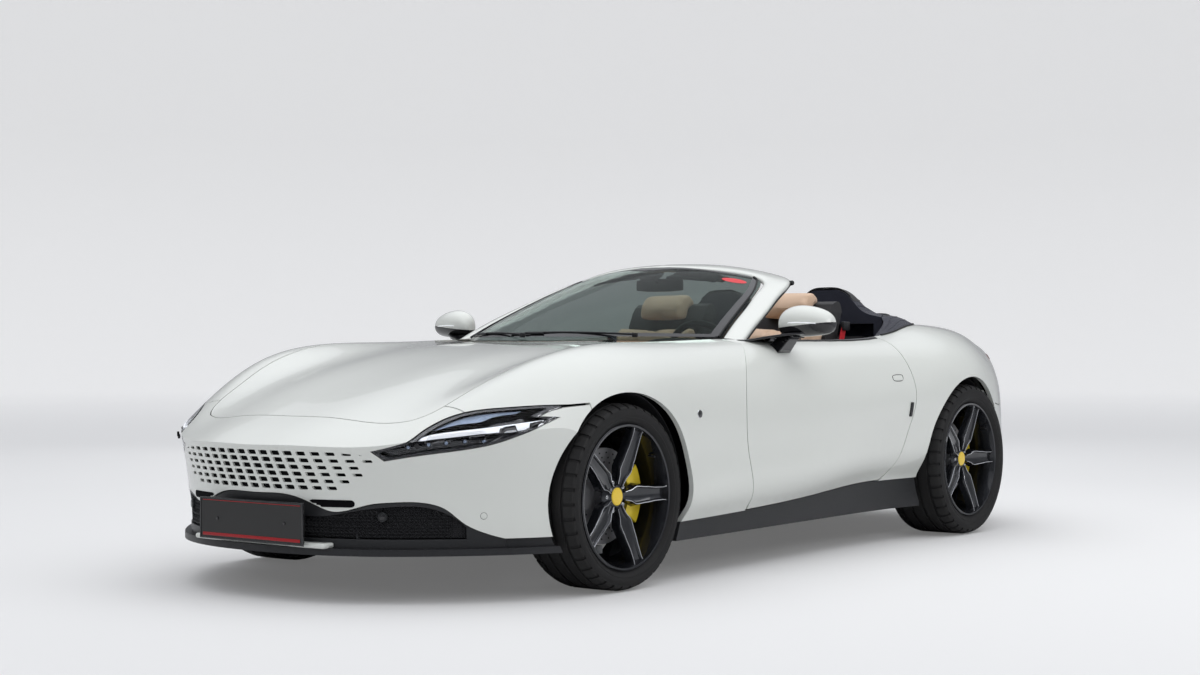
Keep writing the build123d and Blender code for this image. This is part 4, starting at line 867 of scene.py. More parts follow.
class Skin:
    """Finds places on the outside of the frame's nodes."""

    def __init__(self, nodes: dict[str, bpy.types.Object]) -> None:
        """Keep the frame's nodes.

        Args:
            nodes: The frame's nodes by name.
        """
        self.nodes = nodes

    def hit(self, names: Iterable[str], start: Point, way: Point) -> Vector | None:
        """Return the first place that a straight look meets.

        Args:
            names: The nodes that are looked at.
            start: Where the look starts.
            way: Where it goes.

        Returns:
            The place, or None if it misses them all.
        """
        start, way = Vector(start), Vector(way).normalized()
        best = None
        for name in names:
            found, place, _, _ = self.nodes[name].ray_cast(start, way)
            if found and (best is None or (place - start).length < (best - start).length):
                best = place
        return best

    def side(self, names: Iterable[str], y: float, z: float, side: Side = Side.LEFT) -> Vector | None:
        """Return the outermost place at a station and a height.

        Args:
            names: The nodes that are looked at.
            y: The station.
            z: The height.
            side: The side that is looked at.

        Returns:
            The place, or None if there is none.
        """
        return self.hit(names, (side.value * 1.5, y, z), (-side.value, 0, 0))

    def front(self, names: Iterable[str], x: float, z: float) -> Vector | None:
        """Return the foremost place at a width and a height.

        Args:
            names: The nodes that are looked at.
            x: The width.
            z: The height.

        Returns:
            The place, or None if there is none.
        """
        return self.hit(names, (x, -3.0, z), (0, 1, 0))

    def top(self, names: Iterable[str], x: float, y: float) -> Vector | None:
        """Return the highest place at a width and a station.

        Args:
            names: The nodes that are looked at.
            x: The width.
            y: The station.

        Returns:
            The place, or None if there is none.
        """
        return self.hit(names, (x, y, 2.0), (0, 0, -1))

    def back(self, names: Iterable[str], x: float, z: float) -> Vector | None:
        """Return the rearmost place at a width and a height.

        Args:
            names: The nodes that are looked at.
            x: The width.
            z: The height.

        Returns:
            The place, or None if there is none.
        """
        return self.hit(names, (x, 3.0, z), (0, -1, 0))


def patch(name: str, rows: Sequence[Sequence[Point]], outward: Point) -> bpy.types.Object:
    """Stretch a grid over rows of places, like a sheet over ribs.

    Args:
        name: The piece's name.
        rows: Rows of places, each row as long as the others.
        outward: Roughly where the sheet's face looks.

    Returns:
        The open sheet, facing outward.
    """
    count = len(rows[0])
    bpy.ops.object.select_all(action="DESELECT")
    bpy.ops.mesh.primitive_grid_add(x_subdivisions=len(rows) - 1, y_subdivisions=count - 1, size=1.0,
                                    location=(0, 0, 0))
    obj = named(name)
    order = sorted(obj.data.vertices, key=lambda vertex: (round(vertex.co.x, 5), round(vertex.co.y, 5)))
    for vertex, place in zip(order, (place for row in rows for place in row)):
        vertex.co = place
    with editing(obj):
        bpy.ops.mesh.remove_doubles(threshold=WELD)
        bpy.ops.mesh.normals_make_consistent(inside=False)
        facing = sum((face.normal * face.calc_area() for face in bmesh.from_edit_mesh(obj.data).faces),
                     Vector())
        if facing.dot(Vector(outward)) < 0:
            bpy.ops.mesh.flip_normals()
    return obj


def slab(name: str, rows: Sequence[Sequence[Point]], outward: Point, thickness: float,
         offset: float = -1.0) -> bpy.types.Object:
    """Stretch a sheet over rows of places and give it a thickness.

    Args:
        name: The piece's name.
        rows: Rows of places, each row as long as the others.
        outward: Roughly where the sheet's face looks.
        thickness: How thick the sheet is.
        offset: Where the thickness lies: -1 behind the rows, 0 on both sides of them, 1 in front.

    Returns:
        The closed sheet.
    """
    return modify(patch(name, rows, outward), "SOLIDIFY", thickness=thickness, offset=offset)


def circle(centre: Point, radius: float, count: int) -> list[Vector]:
    """Return places round an upright circle that faces along the car.

    Args:
        centre: The circle's centre.
        radius: Its radius.
        count: How many places are wanted.

    Returns:
        The places, from the car's left upward.
    """
    angles = [math.tau * index / count for index in range(count)]
    return [Vector(centre) + radius * Vector((math.cos(angle), 0, math.sin(angle))) for angle in angles]


# ---------------------------------------------------------------- studio
@dataclass
class Studio:
    """The camera, the pale floor and the soft lights."""

    eye: tuple[float, float, float] = (5.032, -6.906, 0.884)
    pitch: float = 90.25
    heading: float = 37.3
    lens: float = 57.36
    floor_size: float = 60.0

    def add_camera(self) -> bpy.types.Object:
        """Add the camera, low and to the car's front left.

        Returns:
            The camera.
        """
        bpy.ops.object.camera_add(location=self.eye, rotation=(math.radians(self.pitch), 0,
                                                               math.radians(self.heading)))
        camera = bpy.context.active_object
        camera.name = "camera"
        camera.data.lens = self.lens
        camera.data.sensor_width = 36.0
        camera.data.clip_end = 200.0
        bpy.context.scene.camera = camera
        return camera

    def _pale(self, name: str, tone: float, lift: float) -> bpy.types.Material:
        """Make the plain pale floor and wall, which the camera alone sees a little brighter far from the car.

        Args:
            name: The material's name.
            tone: How pale the surface is.
            lift: How much brighter the camera sees its far parts.

        Returns:
            The material.
        """
        material = bpy.data.materials.new(name)
        material.use_nodes = True
        tree = material.node_tree
        place = add_node(tree, "TexCoord").outputs["Object"]
        drift = add_node(tree, "TexNoise", {"Vector": place, "Scale": 0.4}).outputs["Fac"]
        shade = add_node(tree, "MapRange", {"Value": drift, "To Min": tone * 0.985, "To Max": tone})
        reach = add_node(tree, "VectorMath", {0: place}, operation="LENGTH").outputs["Value"]
        fade = add_node(tree, "MapRange", {"Value": reach, "From Min": 5.0, "From Max": 30.0,
                                           "To Min": lift * 0.3,
                                           "To Max": lift})
        seen = add_node(tree, "LightPath").outputs["Is Camera Ray"]
        glow = add_math(tree, "MULTIPLY", fade.outputs["Result"], seen)
        feed(tree, tree.nodes["Principled BSDF"],
             {"Base Color": shade.outputs["Result"], "Roughness": 0.75, "Specular IOR Level": 0.2,
              "Emission Strength": glow, "Emission Color": (1.0, 1.0, 1.0, 1.0)})
        return material

    def add_floor(self) -> None:
        """Add a floor that curves up into a far wall all round."""
        bpy.ops.object.select_all(action="DESELECT")
        bpy.ops.mesh.primitive_circle_add(vertices=96, radius=self.floor_size / 2, fill_type="NGON",
                                          location=(0, 0, 0))
        floor = named("studio_floor")
        with editing(floor):
            for index in range(8):
                angle = math.radians(11.25 * (index + 0.5))
                step = 1.1
                grow = 1 + step * math.cos(angle) / (self.floor_size / 2)
                bpy.ops.mesh.extrude_region_move(TRANSFORM_OT_translate={"value": (0, 0,
                                                                                   step * math.sin(angle))})
                bpy.ops.transform.resize(value=(grow, grow, 1), center_override=(0, 0, 0))
            bpy.ops.mesh.extrude_region_move(TRANSFORM_OT_translate={"value": (0, 0, 14)})
            bpy.ops.mesh.delete(type="ONLY_FACE")
        smooth(floor, 60)
        floor.data.materials.append(self._pale("studio_pale", 0.62, 0.44))
        floor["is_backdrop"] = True

    def add_light(self, name: str, place: Point, target: Point, size: tuple[float, float], power: float,
                  mirrored: bool = True) -> None:
        """Add one soft rectangular light.

        Args:
            name: The light's name.
            place: Where it stands.
            target: What it faces.
            size: Its width and height.
            power: Its power in watts.
            mirrored: Whether the lacquer mirrors it.
        """
        aim = (Vector(target) - Vector(place)).to_track_quat("-Z", "Y").to_euler()
        bpy.ops.object.light_add(type="AREA", location=place, rotation=aim)
        lamp = bpy.context.active_object
        lamp.name = name
        lamp.data.shape = "RECTANGLE"
        lamp.data.size, lamp.data.size_y = size
        lamp.data.energy = power
        lamp.visible_camera = False
        lamp.visible_glossy = mirrored

    def add_lights(self) -> None:
        """Add the softbox, the key, the fill, the rim light and a sky that brightens upward."""
        self.add_light("overhead_softbox", (0.4, 0.5, 6.2), (0, 0.3, 0.4), (9.0, 12.0), 330, False)
        self.add_light("left_key", (7.0, 1.0, 3.4), (0, 0.2, 0.6), (5.0, 1.6), 75)
        self.add_light("nose_fill", (1.0, -8.5, 3.0), (0, -1.5, 0.5), (4.0, 1.2), 42, False)
        self.add_light("tail_rim", (-5.5, 6.5, 3.2), (0, 1.5, 0.8), (4.0, 2.0), 70, False)
        world = bpy.data.worlds.new("sky")
        bpy.context.scene.world = world
        world.use_nodes = True
        tree = world.node_tree
        place = add_node(tree, "TexCoord").outputs["Generated"]
        height = add_node(tree, "SeparateXYZ", {"Vector": place}).outputs["Z"]
        rise = add_node(tree, "MapRange", {"Value": height, "From Min": 0.25, "From Max": 1.0, "To Min": 0.42,
                                           "To Max": 1.05}, interpolation_type="SMOOTHSTEP")
        feed(tree, tree.nodes["Background"], {"Color": (0.93, 0.95, 1.0, 1.0),
                                              "Strength": rise.outputs["Result"]})

    def build(self) -> None:
        """Build the whole studio and set the plain view transform."""
        self.add_floor()
        self.add_lights()
        bpy.context.scene.view_settings.view_transform = "Standard"


# ---------------------------------------------------------------- wheels
@dataclass
class Wheel:
    """One road wheel: tyre, five-spoke rim, cap, bolts and valve.

    Attributes:
        name: Its name in the frame, such as "front_left".
        side: The side of the car it stands on.
        body: The body that turns with it.
    """

    name: str
    side: Side
    body: str
    segments: int = 160
    spoke_count: int = 5
    spoke_end: float = 0.262
    bolt_circle: float = 0.0535
    centre: Vector = field(init=False)
    radius: float = field(init=False)
    width: float = field(init=False)
    rim_radius: float = 0.268

    def __post_init__(self) -> None:
        """Read the wheel's place and size from the frame's tyre."""
        low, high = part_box(f"{self.name}_tyre")
        self.centre = (low + high) / 2
        self.radius = (high.z - low.z) / 2
        self.width = high.x - low.x

    def out(self, depth: float) -> float:
        """Return the X that lies some depth outboard of the wheel's middle.

        Args:
            depth: How far outboard.

        Returns:
            The X.
        """
        return self.centre.x + self.side.value * depth

    def polar(self, depth: float, radius: float, angle: float) -> Vector:
        """Return a place on the wheel.

        Args:
            depth: How far outboard of the wheel's middle.
            radius: How far from its axis.
            angle: The angle in radians, from the tail towards the top.

        Returns:
            The place in the car's axes.
        """
        return Vector((self.out(depth), self.centre.y + radius * math.cos(angle),
                       self.centre.z + radius * math.sin(angle)))

    def build_tyre(self) -> bpy.types.Object:
        """Spin the tyre's section and press the tread's grooves into it.

        Returns:
            The tyre, which stands for the frame's plain one.
        """
        half = self.width / 2
        top = self.radius
        bead = self.rim_radius + 0.0005
        groove = 0.007
        tread = [(half * 0.80, top - 0.0045)]
        for place in (0.62, 0.22, -0.22, -0.62):
            at = half * place
            tread += [(at + 0.006, top - 0.0012 * abs(place)), (at + 0.0045, top - groove),
                      (at - 0.0045, top - groove), (at - 0.006, top - 0.0012 * abs(place))]
        tread += [(-half * 0.80, top - 0.0045)]
        high = top - bead
        wall = [(half * 0.80, bead - 0.012), (half * 0.86, bead - 0.002), (half * 0.905, bead + 0.004),
                (half * 0.955, bead + high * 0.16), (half * 0.985, bead + high * 0.27),
                (half * 0.978, bead + high * 0.30), (half * 0.999, bead + high * 0.42),
                (half * 0.999, bead + high * 0.56), (half * 0.975, bead + high * 0.69),
                (half * 0.979, bead + high * 0.72), (half * 0.94, bead + high * 0.83),
                (half * 0.89, top - 0.0095)]
        profile = wall + tread + [(-x, radius) for x, radius in reversed(wall)]
        tyre = lathe(f"{self.name}_tyre_shell", [(self.centre.x + x, radius) for x, radius in profile],
                     self.centre, self.segments)
        self._press_blocks(tyre, half, top)
        smooth(tyre, 28)
        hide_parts(f"{self.name}_tyre")
        return finish_as(tyre, RUBBER, self.body)

    def _press_blocks(self, tyre: bpy.types.Object, half: float, top: float) -> None:
        """Press every fourth segment of both shoulders inward, which leaves the tread's blocks.

        Args:
            tyre: The tyre.
            half: Half of its width.
            top: Its radius.
        """
        step = math.tau / self.segments

        def is_groove(centre: Vector, normal: Vector) -> bool:
            """Tell whether a face lies in a lateral groove."""
            away = centre - self.centre
            depth = abs(away.x) / half
            radius = math.hypot(away.y, away.z)
            turn_at = math.atan2(away.z, away.y) / step
            offset = 0 if away.x > 0 else 2
            return 0.66 < depth < 0.97 and radius > top - 0.022 and (math.floor(turn_at + offset) % 4) == 0

        with editing(tyre):
            if choose(tyre, is_groove):
                bpy.ops.mesh.inset(thickness=0.0006, use_even_offset=True)
                bpy.ops.transform.shrink_fatten(value=-0.0045)

    def build_rim(self) -> list[bpy.types.Object]:
        """Build the barrel, the five recessed spokes with their machined edges, and the lip.

        Returns:
            The rim's pieces.
        """
        half = self.width / 2
        lip = half * 0.90
        barrel = [(lip, 0.002), (lip + 0.004, 0.006), (lip + 0.002, 0.013), (lip - 0.012, 0.017),
                  (lip - 0.05, 0.028),
                  (0.0, 0.036), (-lip + 0.03, 0.030), (-lip, 0.012), (-lip, 0.004), (-lip + 0.026, 0.008),
                  (-lip + 0.032, 0.022), (0.0, 0.030), (lip - 0.05, 0.022), (lip - 0.016, 0.008),
                  (lip - 0.004, 0.002)]
        points = [(self.out(x), self.rim_radius - drop) for x, drop in barrel]
        shell = lathe(f"{self.name}_barrel", points + points[:1], self.centre, 128)
        finish_as(smooth(shell), RIM_DARK, self.body)
        return [shell, self._spokes(lip), self._hub(lip), self._edges(lip)]

    def _spoke_half_width(self, radius: float) -> float:
        """Return half a spoke's width at a radius: narrow at the hub, widest at its kink, then steady.

        Args:
            radius: How far from the wheel's axis.

        Returns:
            Half the width.
        """
        places = ((0.040, 0.0150), (0.070, 0.0200), (0.105, 0.0350), (0.150, 0.0300), (0.200, 0.0250),
                  (0.244, 0.0240), (0.262, 0.0300))
        for (r0, w0), (r1, w1) in zip(places, places[1:]):
            if radius <= r1:
                share = max(0.0, (radius - r0) / (r1 - r0))
                share = share * share * (3 - 2 * share)
                return w0 + (w1 - w0) * share
        return places[-1][1]

    def _face_depth(self, lip: float, radius: float) -> float:
        """Return how far outboard the spokes' face stands at a radius: dished towards the hub.

        Args:
            lip: How far outboard the rim's lip stands.
            radius: How far from the wheel's axis.

        Returns:
            The depth.
        """
        share = min(1.0, max(0.0, (self.rim_radius - radius) / (self.rim_radius - 0.05)))
        return lip - 0.006 - 0.034 * share ** 1.4

    def _spokes(self, lip: float) -> bpy.types.Object:
        """Extrude one spoke's star outline, sink its middle and repeat it round the hub.

        Args:
            lip: How far outboard the rim's lip stands.

        Returns:
            The spokes, as one piece.
        """
        radii = [0.040, 0.070, 0.088, 0.105, 0.125, 0.150, 0.175, 0.200, 0.225, 0.244, 0.262]
        spokes = []
        for index in range(self.spoke_count):
            angle = index * math.tau / self.spoke_count
            along_it = Vector((0, math.cos(angle), math.sin(angle)))
            across = Vector((0, -math.sin(angle), math.cos(angle)))

            def place(radius: float, share: float, drop: float) -> Vector:
                """Return a place on this spoke: its radius, share of the width and depth below the face."""
                depth = self._face_depth(lip, radius) - drop
                return (self.centre + along_it * radius + across * (share * self._spoke_half_width(radius))
                        + Vector((self.side.value * depth, 0, 0)))

            rows = []
            for share, drop in ((1.25, 0.034), (1.08, 0.016), (1.0, 0.0022), (0.94, 0.0), (0.86, 0.0012),
                                (0.74, 0.0085), (0.35, 0.0125), (0.0, 0.0135), (-0.35, 0.0125),
                                (-0.74, 0.0085),
                                (-0.86, 0.0012), (-0.94, 0.0), (-1.0, 0.0022), (-1.08, 0.016),
                                (-1.25, 0.034)):
                rows.append([place(radius, share, drop) for radius in radii])
            spokes.append(patch(f"{self.name}_spoke_{index}", rows, (self.side.value, 0, 0)))
        star = join(spokes, f"{self.name}_spokes")
        modify(star, "SOLIDIFY", thickness=0.004, offset=-1.0, use_even_offset=False)
        smooth(star, 40)
        return finish_as(star, RIM_DARK, self.body)

    def _edges(self, lip: float) -> bpy.types.Object:
        """Run the thin machined line up each spoke's edges and along the lip between two spokes.

        Args:
            lip: How far outboard the rim's lip stands.

        Returns:
            The lines, as one piece.
        """
        lines = []
        radii = [0.046 + 0.0108 * step for step in range(20)]

        def edge(radius: float, middle: float, sign: int) -> Vector:
            """Return a place on the edge of the spoke at an angle, ahead of it or behind it."""
            half_angle = math.atan2(0.97 * self._spoke_half_width(radius), radius)
            return self.polar(self._face_depth(lip, radius) + 0.0002, radius, middle + sign * half_angle)

        for index in range(self.spoke_count):
            start = index * math.tau / self.spoke_count
            finish = start + math.tau / self.spoke_count
            path = [edge(radius, start, 1) for radius in radii]
            corner = math.atan2(self._spoke_half_width(self.spoke_end), self.spoke_end)
            for step in range(13):
                share = step / 12
                at = start + corner + (finish - start - 2 * corner) * share
                path.append(self.polar(lip - 0.0035, 0.2625, at))
            path += [edge(radius, finish, -1) for radius in reversed(radii)]
            lines.append(tube(f"{self.name}_edge_{index}", path, 0.0017, sides=2))
        edges = join(lines, f"{self.name}_edges")
        return finish_as(edges, MACHINED, self.body)

    def _hub(self, lip: float) -> bpy.types.Object:
        """Turn the hub's face, with the cup that holds the cap.

        Args:
            lip: How far outboard the rim's lip stands.

        Returns:
            The hub.
        """
        face = self._face_depth(lip, 0.05) - 0.002
        profile = [(face - 0.024, 0.072), (face - 0.018, 0.070), (face - 0.012, 0.062), (face - 0.009, 0.048),
                   (face - 0.0055, 0.040), (face - 0.003, 0.0365), (face - 0.003, 0.0345),
                   (face - 0.009, 0.0335), (face - 0.010, 0.0)]
        hub = lathe(f"{self.name}_hub", [(self.out(x), radius) for x, radius in profile], self.centre, 64)
        return finish_as(smooth(hub), RIM_DARK, self.body)

    def build_small_parts(self) -> None:
        """Add the cap, the bolts and the valve."""
        lip = self.width / 2 * 0.90
        face = self._face_depth(lip, 0.05) - 0.002
        profile = [(face - 0.010, 0.0330), (face - 0.003, 0.0325), (face - 0.001, 0.0300),
                   (face - 0.0004, 0.0150), (face - 0.0003, 0.0)]
        cap = lathe(f"{self.name}_cap", [(self.out(x), radius) for x, radius in profile], self.centre, 64)
        finish_as(smooth(cap), CAP_YELLOW, self.body)
        bolts = []
        for index in range(self.spoke_count):
            angle = (index + 0.5) * math.tau / self.spoke_count
            inner = self.polar(face - 0.040, self.bolt_circle, angle)
            outer = self.polar(face - 0.008, self.bolt_circle, angle)
            head = bar(f"{self.name}_bolt_{index}", inner, outer, 0.0085, 6)
            socket = self.polar(face - 0.006, self.bolt_circle, angle)
            dimple = bar(f"{self.name}_bolt_socket_{index}", self.polar(face - 0.013, self.bolt_circle,
                                                                        angle), socket, 0.0045, 6)
            bolts.append(cut(head, dimple))
        finish_as(join(bolts, f"{self.name}_bolts"), BRIGHT_PLATE, self.body)
        angle = math.tau / self.spoke_count * 0.5
        valve = bar(f"{self.name}_valve", self.polar(lip - 0.045, 0.238, angle),
                    self.polar(lip - 0.012, 0.232, angle), 0.0035, 16)
        finish_as(valve, SATIN_BLACK, self.body)

    def build(self) -> None:
        """Build the whole wheel and hide the frame's plain rim."""
        self.build_tyre()
        pieces = self.build_rim()
        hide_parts(f"{self.name}_rim")
        self.build_small_parts()


WHEELS = (("front_left", Side.LEFT), ("front_right", Side.RIGHT), ("rear_left", Side.LEFT),
          ("rear_right", Side.RIGHT))


@dataclass
class Brake:
    """The drilled holes of one brake disc, shown as thin black discs of painted shade."""

    name: str
    side: Side
    body: str
    rings: tuple[float, ...] = (0.70, 0.80, 0.90)
    holes: int = 24

    def build(self) -> None:
        """Mark the disc's drilled holes with thin black discs: painted shade where each hole is."""
        low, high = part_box(f"{self.name}_disc")
        centre = (low + high) / 2
        radius = (high.z - low.z) / 2
        outer_x = high.x if self.side is Side.LEFT else low.x
        sign = self.side.value
        pins = []
        for ring, reach in enumerate(self.rings):
            for index in range(self.holes):
                angle = (index + ring / 3) * math.tau / self.holes
                y = centre.y + reach * radius * math.cos(angle)
                z = centre.z + reach * radius * math.sin(angle)
                place = (self._face(y, z, outer_x) + sign * 0.0002, y, z)
                pins.append(add_disc(f"{self.name}_disc_hole_{ring}_{index}", place, 0.0034, 0.0012, 10))
        holes = join(pins, f"{self.name}_disc_holes")
        finish_as(smooth(holes), PAINTED_SHADE_BLACK, self.body)

    def _face(self, y: float, z: float, outer_x: float) -> float:
        """Return the X of the disc's outer face at a place on it.

        Args:
            y: The station.
            z: The height.
            outer_x: The X of the disc's outermost face.

        Returns:
            The X.
        """
        sign = self.side.value
        disc = bpy.data.objects[f"{self.name}_disc"]
        found, place, _, _ = disc.ray_cast(Vector((outer_x + sign * 0.5, y, z)), Vector((-sign, 0, 0)))
        return place.x if found else outer_x


STICKER_RED = Finish("sticker_red", (0.70, 0.025, 0.035), (0.62, 0.02, 0.03), roughness=0.35,
                     relief_scale=500.0, relief_depth=0.2, relief_height=0.00003)


# ---------------------------------------------------------------- places on the car
AXLE_Y = -1.368
SEAT_X = 0.348


def at(x: float, s: float, z: float) -> Vector:
    """Return a place from millimetres: across, behind the front axle, and up.

    Args:
        x: Across, towards the car's left.
        s: Behind the front axle.
        z: Up.

    Returns:
        The place in metres.
    """
    return Vector((x * MM, s * MM + AXLE_Y, z * MM))


def along_run(points: Sequence[Point], count: int) -> list[Vector]:
    """Return evenly spaced places along a smooth run through a few points.

    Args:
        points: The run's points, each a place.
        count: How many places are wanted.

    Returns:
        The places, with the first and last where they were.
    """
    knots = [Vector(point) for point in points]
    lengths = [0.0]
    for a, b in zip(knots, knots[1:]):
        lengths.append(lengths[-1] + (b - a).length)
    places = []
    for index in range(count):
        want = lengths[-1] * index / (count - 1)
        step = max(i for i in range(len(knots) - 1) if lengths[i] <= want + 1e-9)
        share = (want - lengths[step]) / max(1e-9, lengths[step + 1] - lengths[step])
        before = knots[max(0, step - 1)]
        after = knots[min(len(knots) - 1, step + 2)]
        a, b = knots[step], knots[step + 1]
        pull_a, pull_b = (b - before) / 2, (after - a) / 2
        t2, t3 = share * share, share ** 3
        places.append(a * (2 * t3 - 3 * t2 + 1) + pull_a * (t3 - 2 * t2 + share) + b * (3 * t2 - 2 * t3)
                      + pull_b * (t3 - t2))
    return places


def onto(node: bpy.types.Object, place: Vector, depth: float) -> Vector:
    """Return the nearest place on a node, moved inward along its normal by a depth.

    Args:
        node: The node.
        place: A place near it.
        depth: How far inside its skin.

    Returns:
        The place.
    """
    found, near, normal, _ = node.closest_point_on_mesh(place)
    return near - normal * depth if found else place


def strip(name: str, node: bpy.types.Object, edges: Sequence[Sequence[Point]], depth: float, thickness: float,
          columns: int = 24, outward: Point = (0.6, -0.7, 0.4)) -> bpy.types.Object:
    """Lay a strip under or over a node's skin, between edges given as a few places each.

    Args:
        name: The strip's name.
        node: The node whose skin it follows.
        edges: Two or more edges, from one side of the strip to the other.
        depth: How far it lies inside the skin, negative when it lies on top.
        thickness: How thick it is, measured inward.
        columns: How many places lie along each edge.
        outward: Roughly where its face looks.

    Returns:
        The strip, with rounded edges.
    """
    rows = [[onto(node, place, depth) for place in along_run(edge, columns)] for edge in edges]
    sheet = slab(name, rows, outward, thickness)
    return soften(sheet, min(thickness * 0.3, 0.0012), 2, 50)


# ---------------------------------------------------------------- nose
@dataclass
class Nose:
    """The painted-shade screen behind the grille, the intake, the plate and what sits round them."""

    skin: Skin
    slot_low: float = 0.331
    slot_high: float = 0.356
    slot_start: float = 0.244
    slot_length: float = 0.163
    blade_half: float = 0.328
    cap_x: float = 0.17
    cap_z: float = 0.272
    sensor: tuple[float, float] = (0.481, 0.299)
    parking_sensor: tuple[float, float, float] = (0.744, -1.934, 0.301)
    wing_lamp: tuple[float, float] = (-0.943, 0.627)

    def _grille_face(self, x: float, z: float) -> float:
        """Return where the grille's face is at a width and a height, between or on its bars.

        Args:
            x: The width.
            z: The height.

        Returns:
            The Y of the face.
        """
        low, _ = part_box("grille")
        spots = [self.skin.front(("grille", "front_bumper"), x, z + step * 0.006) for step in (-2, -1, 0, 1,
                                                                                               2)]
        return min([spot.y for spot in spots if spot], default=low[1] + 0.02)

    def build_grille_back(self) -> None:
        """Hang the dark screen of painted shade that fills the slots a little behind the grille's face."""
        low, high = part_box("grille")
        rows = []
        for line in range(9):
            share = line / 8
            z = low[2] + 0.012 + (high[2] - low[2] - 0.026) * share
            reach = 0.33 + 0.13 * share
            xs = [reach * (index / 16 - 1) for index in range(33)]
            rows.append([Vector((x, self._grille_face(x, z) + 0.010, z)) for x in xs])
        screen = slab("grille_shadow", rows, (0, -1, 0), 0.004)
        finish_as(screen, PAINTED_SHADE_BLACK)

    def build_slot(self) -> None:
        """Set the rounded slot under the grille's ends, its opening a black sheet of painted shade, with its
        lip in body paint.
        """
        for side in Side:
            for label, grow, lift, finish in (("lip", 0.004, -0.0006, PEARL),
                                              ("slot", 0.0, -0.0022, PAINTED_SHADE_BLACK)):
                middle = (self.slot_low + self.slot_high) / 2
                half = (self.slot_high - self.slot_low) / 2 + grow
                rows = []
                for share in (-1.0, -0.86, -0.5, 0.0, 0.5, 0.86, 1.0):
                    inset = (1 - math.sqrt(max(0.0, 1 - share * share))) * half
                    row = []
                    for index in range(13):
                        reach = self.slot_length + 2 * grow - 2 * inset
                        x = self.slot_start - grow + inset + reach * index / 12
                        z = middle + half * share
                        place = self.skin.front(("front_bumper",), side.value * x, z)
                        if place is None:
                            place = Vector((side.value * x, -2.24 + x * 0.1, z))
                        row.append(place + Vector((0, lift, 0)))
                    rows.append(row)
                sheet = slab(f"nose_{label}_{side.label}", rows, (0, -1, 0), 0.0016)
                finish_as(smooth(sheet), finish)

    def build_mesh(self) -> None:
        """Lay the raised lattice over the intake's mesh."""
        low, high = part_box("intake_mesh")
        rows = []
        for line in range(10):
            z = low[2] + 0.006 + (high[2] - low[2] - 0.012) * line / 9
            row = []
            for column in range(89):
                x = (column / 44 - 1) * 0.66 + (0.0045 if line % 2 else -0.0045)
                place = self.skin.front(("intake_mesh",), x, min(z, 0.296))
                height = z if self.skin.front(("intake_mesh",), x, z) else 0.296
                y = place.y if place else low[1] + 0.30 * abs(x)
                row.append(Vector((x, y - 0.0045, height)))
            rows.append(row)
        lattice = patch("intake_lattice", rows, (0, -1, 0))
        modify(lattice, "WIREFRAME", thickness=0.0026, use_even_offset=False)
        finish_as(lattice, SATIN_BLACK)

    def build_sensors(self) -> None:
        """Set the round distance sensors in the intake and the bumper."""
        x, z = self.sensor
        for side in Side:
            place = self.skin.front(("intake_mesh",), side.value * x, z)
            y = place.y if place else -2.15
            out = Vector((side.value * 0.42, -0.9, 0)).normalized()
            centre = Vector((side.value * x, y, z))
            ring = bar(f"sensor_ring_{side.label}", centre + out * 0.001, centre + out * 0.014, 0.017, 32)
            eye = bar(f"sensor_eye_{side.label}", centre + out * 0.010, centre + out * 0.0155, 0.0105, 28)
            finish_as(ring, SATIN_BLACK)
            finish_as(eye, GLOSS_BLACK)

    def build_round_details(self) -> None:
        """Set the painted distance sensors in the bumper's corners and the small dark lamp on each wing."""
        bumper, wings = self.skin.nodes["front_bumper"], self.skin.nodes["front_wings"]
        for side in Side:
            label = side.label
            x, y, z = self.parking_sensor
            flush = onto(bumper, Vector((side.value * x, y, z)), -0.0008)
            out = (onto(bumper, flush, -0.01) - onto(bumper, flush, 0.01)).normalized()
            cup = bar(f"parking_sensor_ring_{label}", flush - out * 0.004, flush, 0.0125, 32)
            finish_as(cup, SEAL_RUBBER)
            finish_as(bar(f"parking_sensor_{label}", flush - out * 0.004, flush + out * 0.0008, 0.0112, 32),
                      PEARL)
            spot = self.skin.side(("front_wings",), *self.wing_lamp, side)
            if spot:
                away = (onto(wings, spot, -0.01) - onto(wings, spot, 0.01)).normalized()
                base = bar(f"wing_lamp_base_{label}", spot - away * 0.004, spot + away * 0.0015, 0.0165, 32)
                finish_as(base, BRIGHT_PLATE)
                lens = bar(f"wing_lamp_{label}", spot - away * 0.004, spot + away * 0.0035, 0.0140, 32)
                finish_as(soften(lens, 0.0012, 3, 40), GLOSS_BLACK)

    def build_plate(self) -> None:
        """Edge the blank plate with its two red lines, a raised rim and its fixing caps."""
        low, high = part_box("number_plate")
        face = low[1]
        thin = block("plate_line_top", (low[0] + 0.012, face - 0.0012, high[2] - 0.009),
                     (high[0] - 0.012, face + 0.001, high[2] - 0.0065), 0.0004)
        thick = block("plate_line_low", (low[0] + 0.012, face - 0.0012, low[2] + 0.008),
                      (high[0] - 0.012, face + 0.001, low[2] + 0.019), 0.0004)
        for piece in (thin, thick):
            finish_as(piece, PLATE_RED)
        frame = block("plate_frame", (low[0] - 0.003, face - 0.0022, low[2] - 0.003),
                      (high[0] + 0.003, face + 0.004, high[2] + 0.003))
        hole = block("plate_frame_hole", (low[0] + 0.003, face - 0.01, low[2] + 0.003),
                     (high[0] - 0.003, face + 0.02, high[2] - 0.003))
        finish_as(soften(cut(frame, hole), 0.0009), GLOSS_BLACK)
        caps = [bar(f"plate_cap_{i}", (x, face + 0.001, self.cap_z), (x, face - 0.0028, self.cap_z), 0.006,
                    20)
                for i, x in enumerate((-self.cap_x, self.cap_x))]
        finish_as(join(caps, "plate_caps"), GLOSS_BLACK)

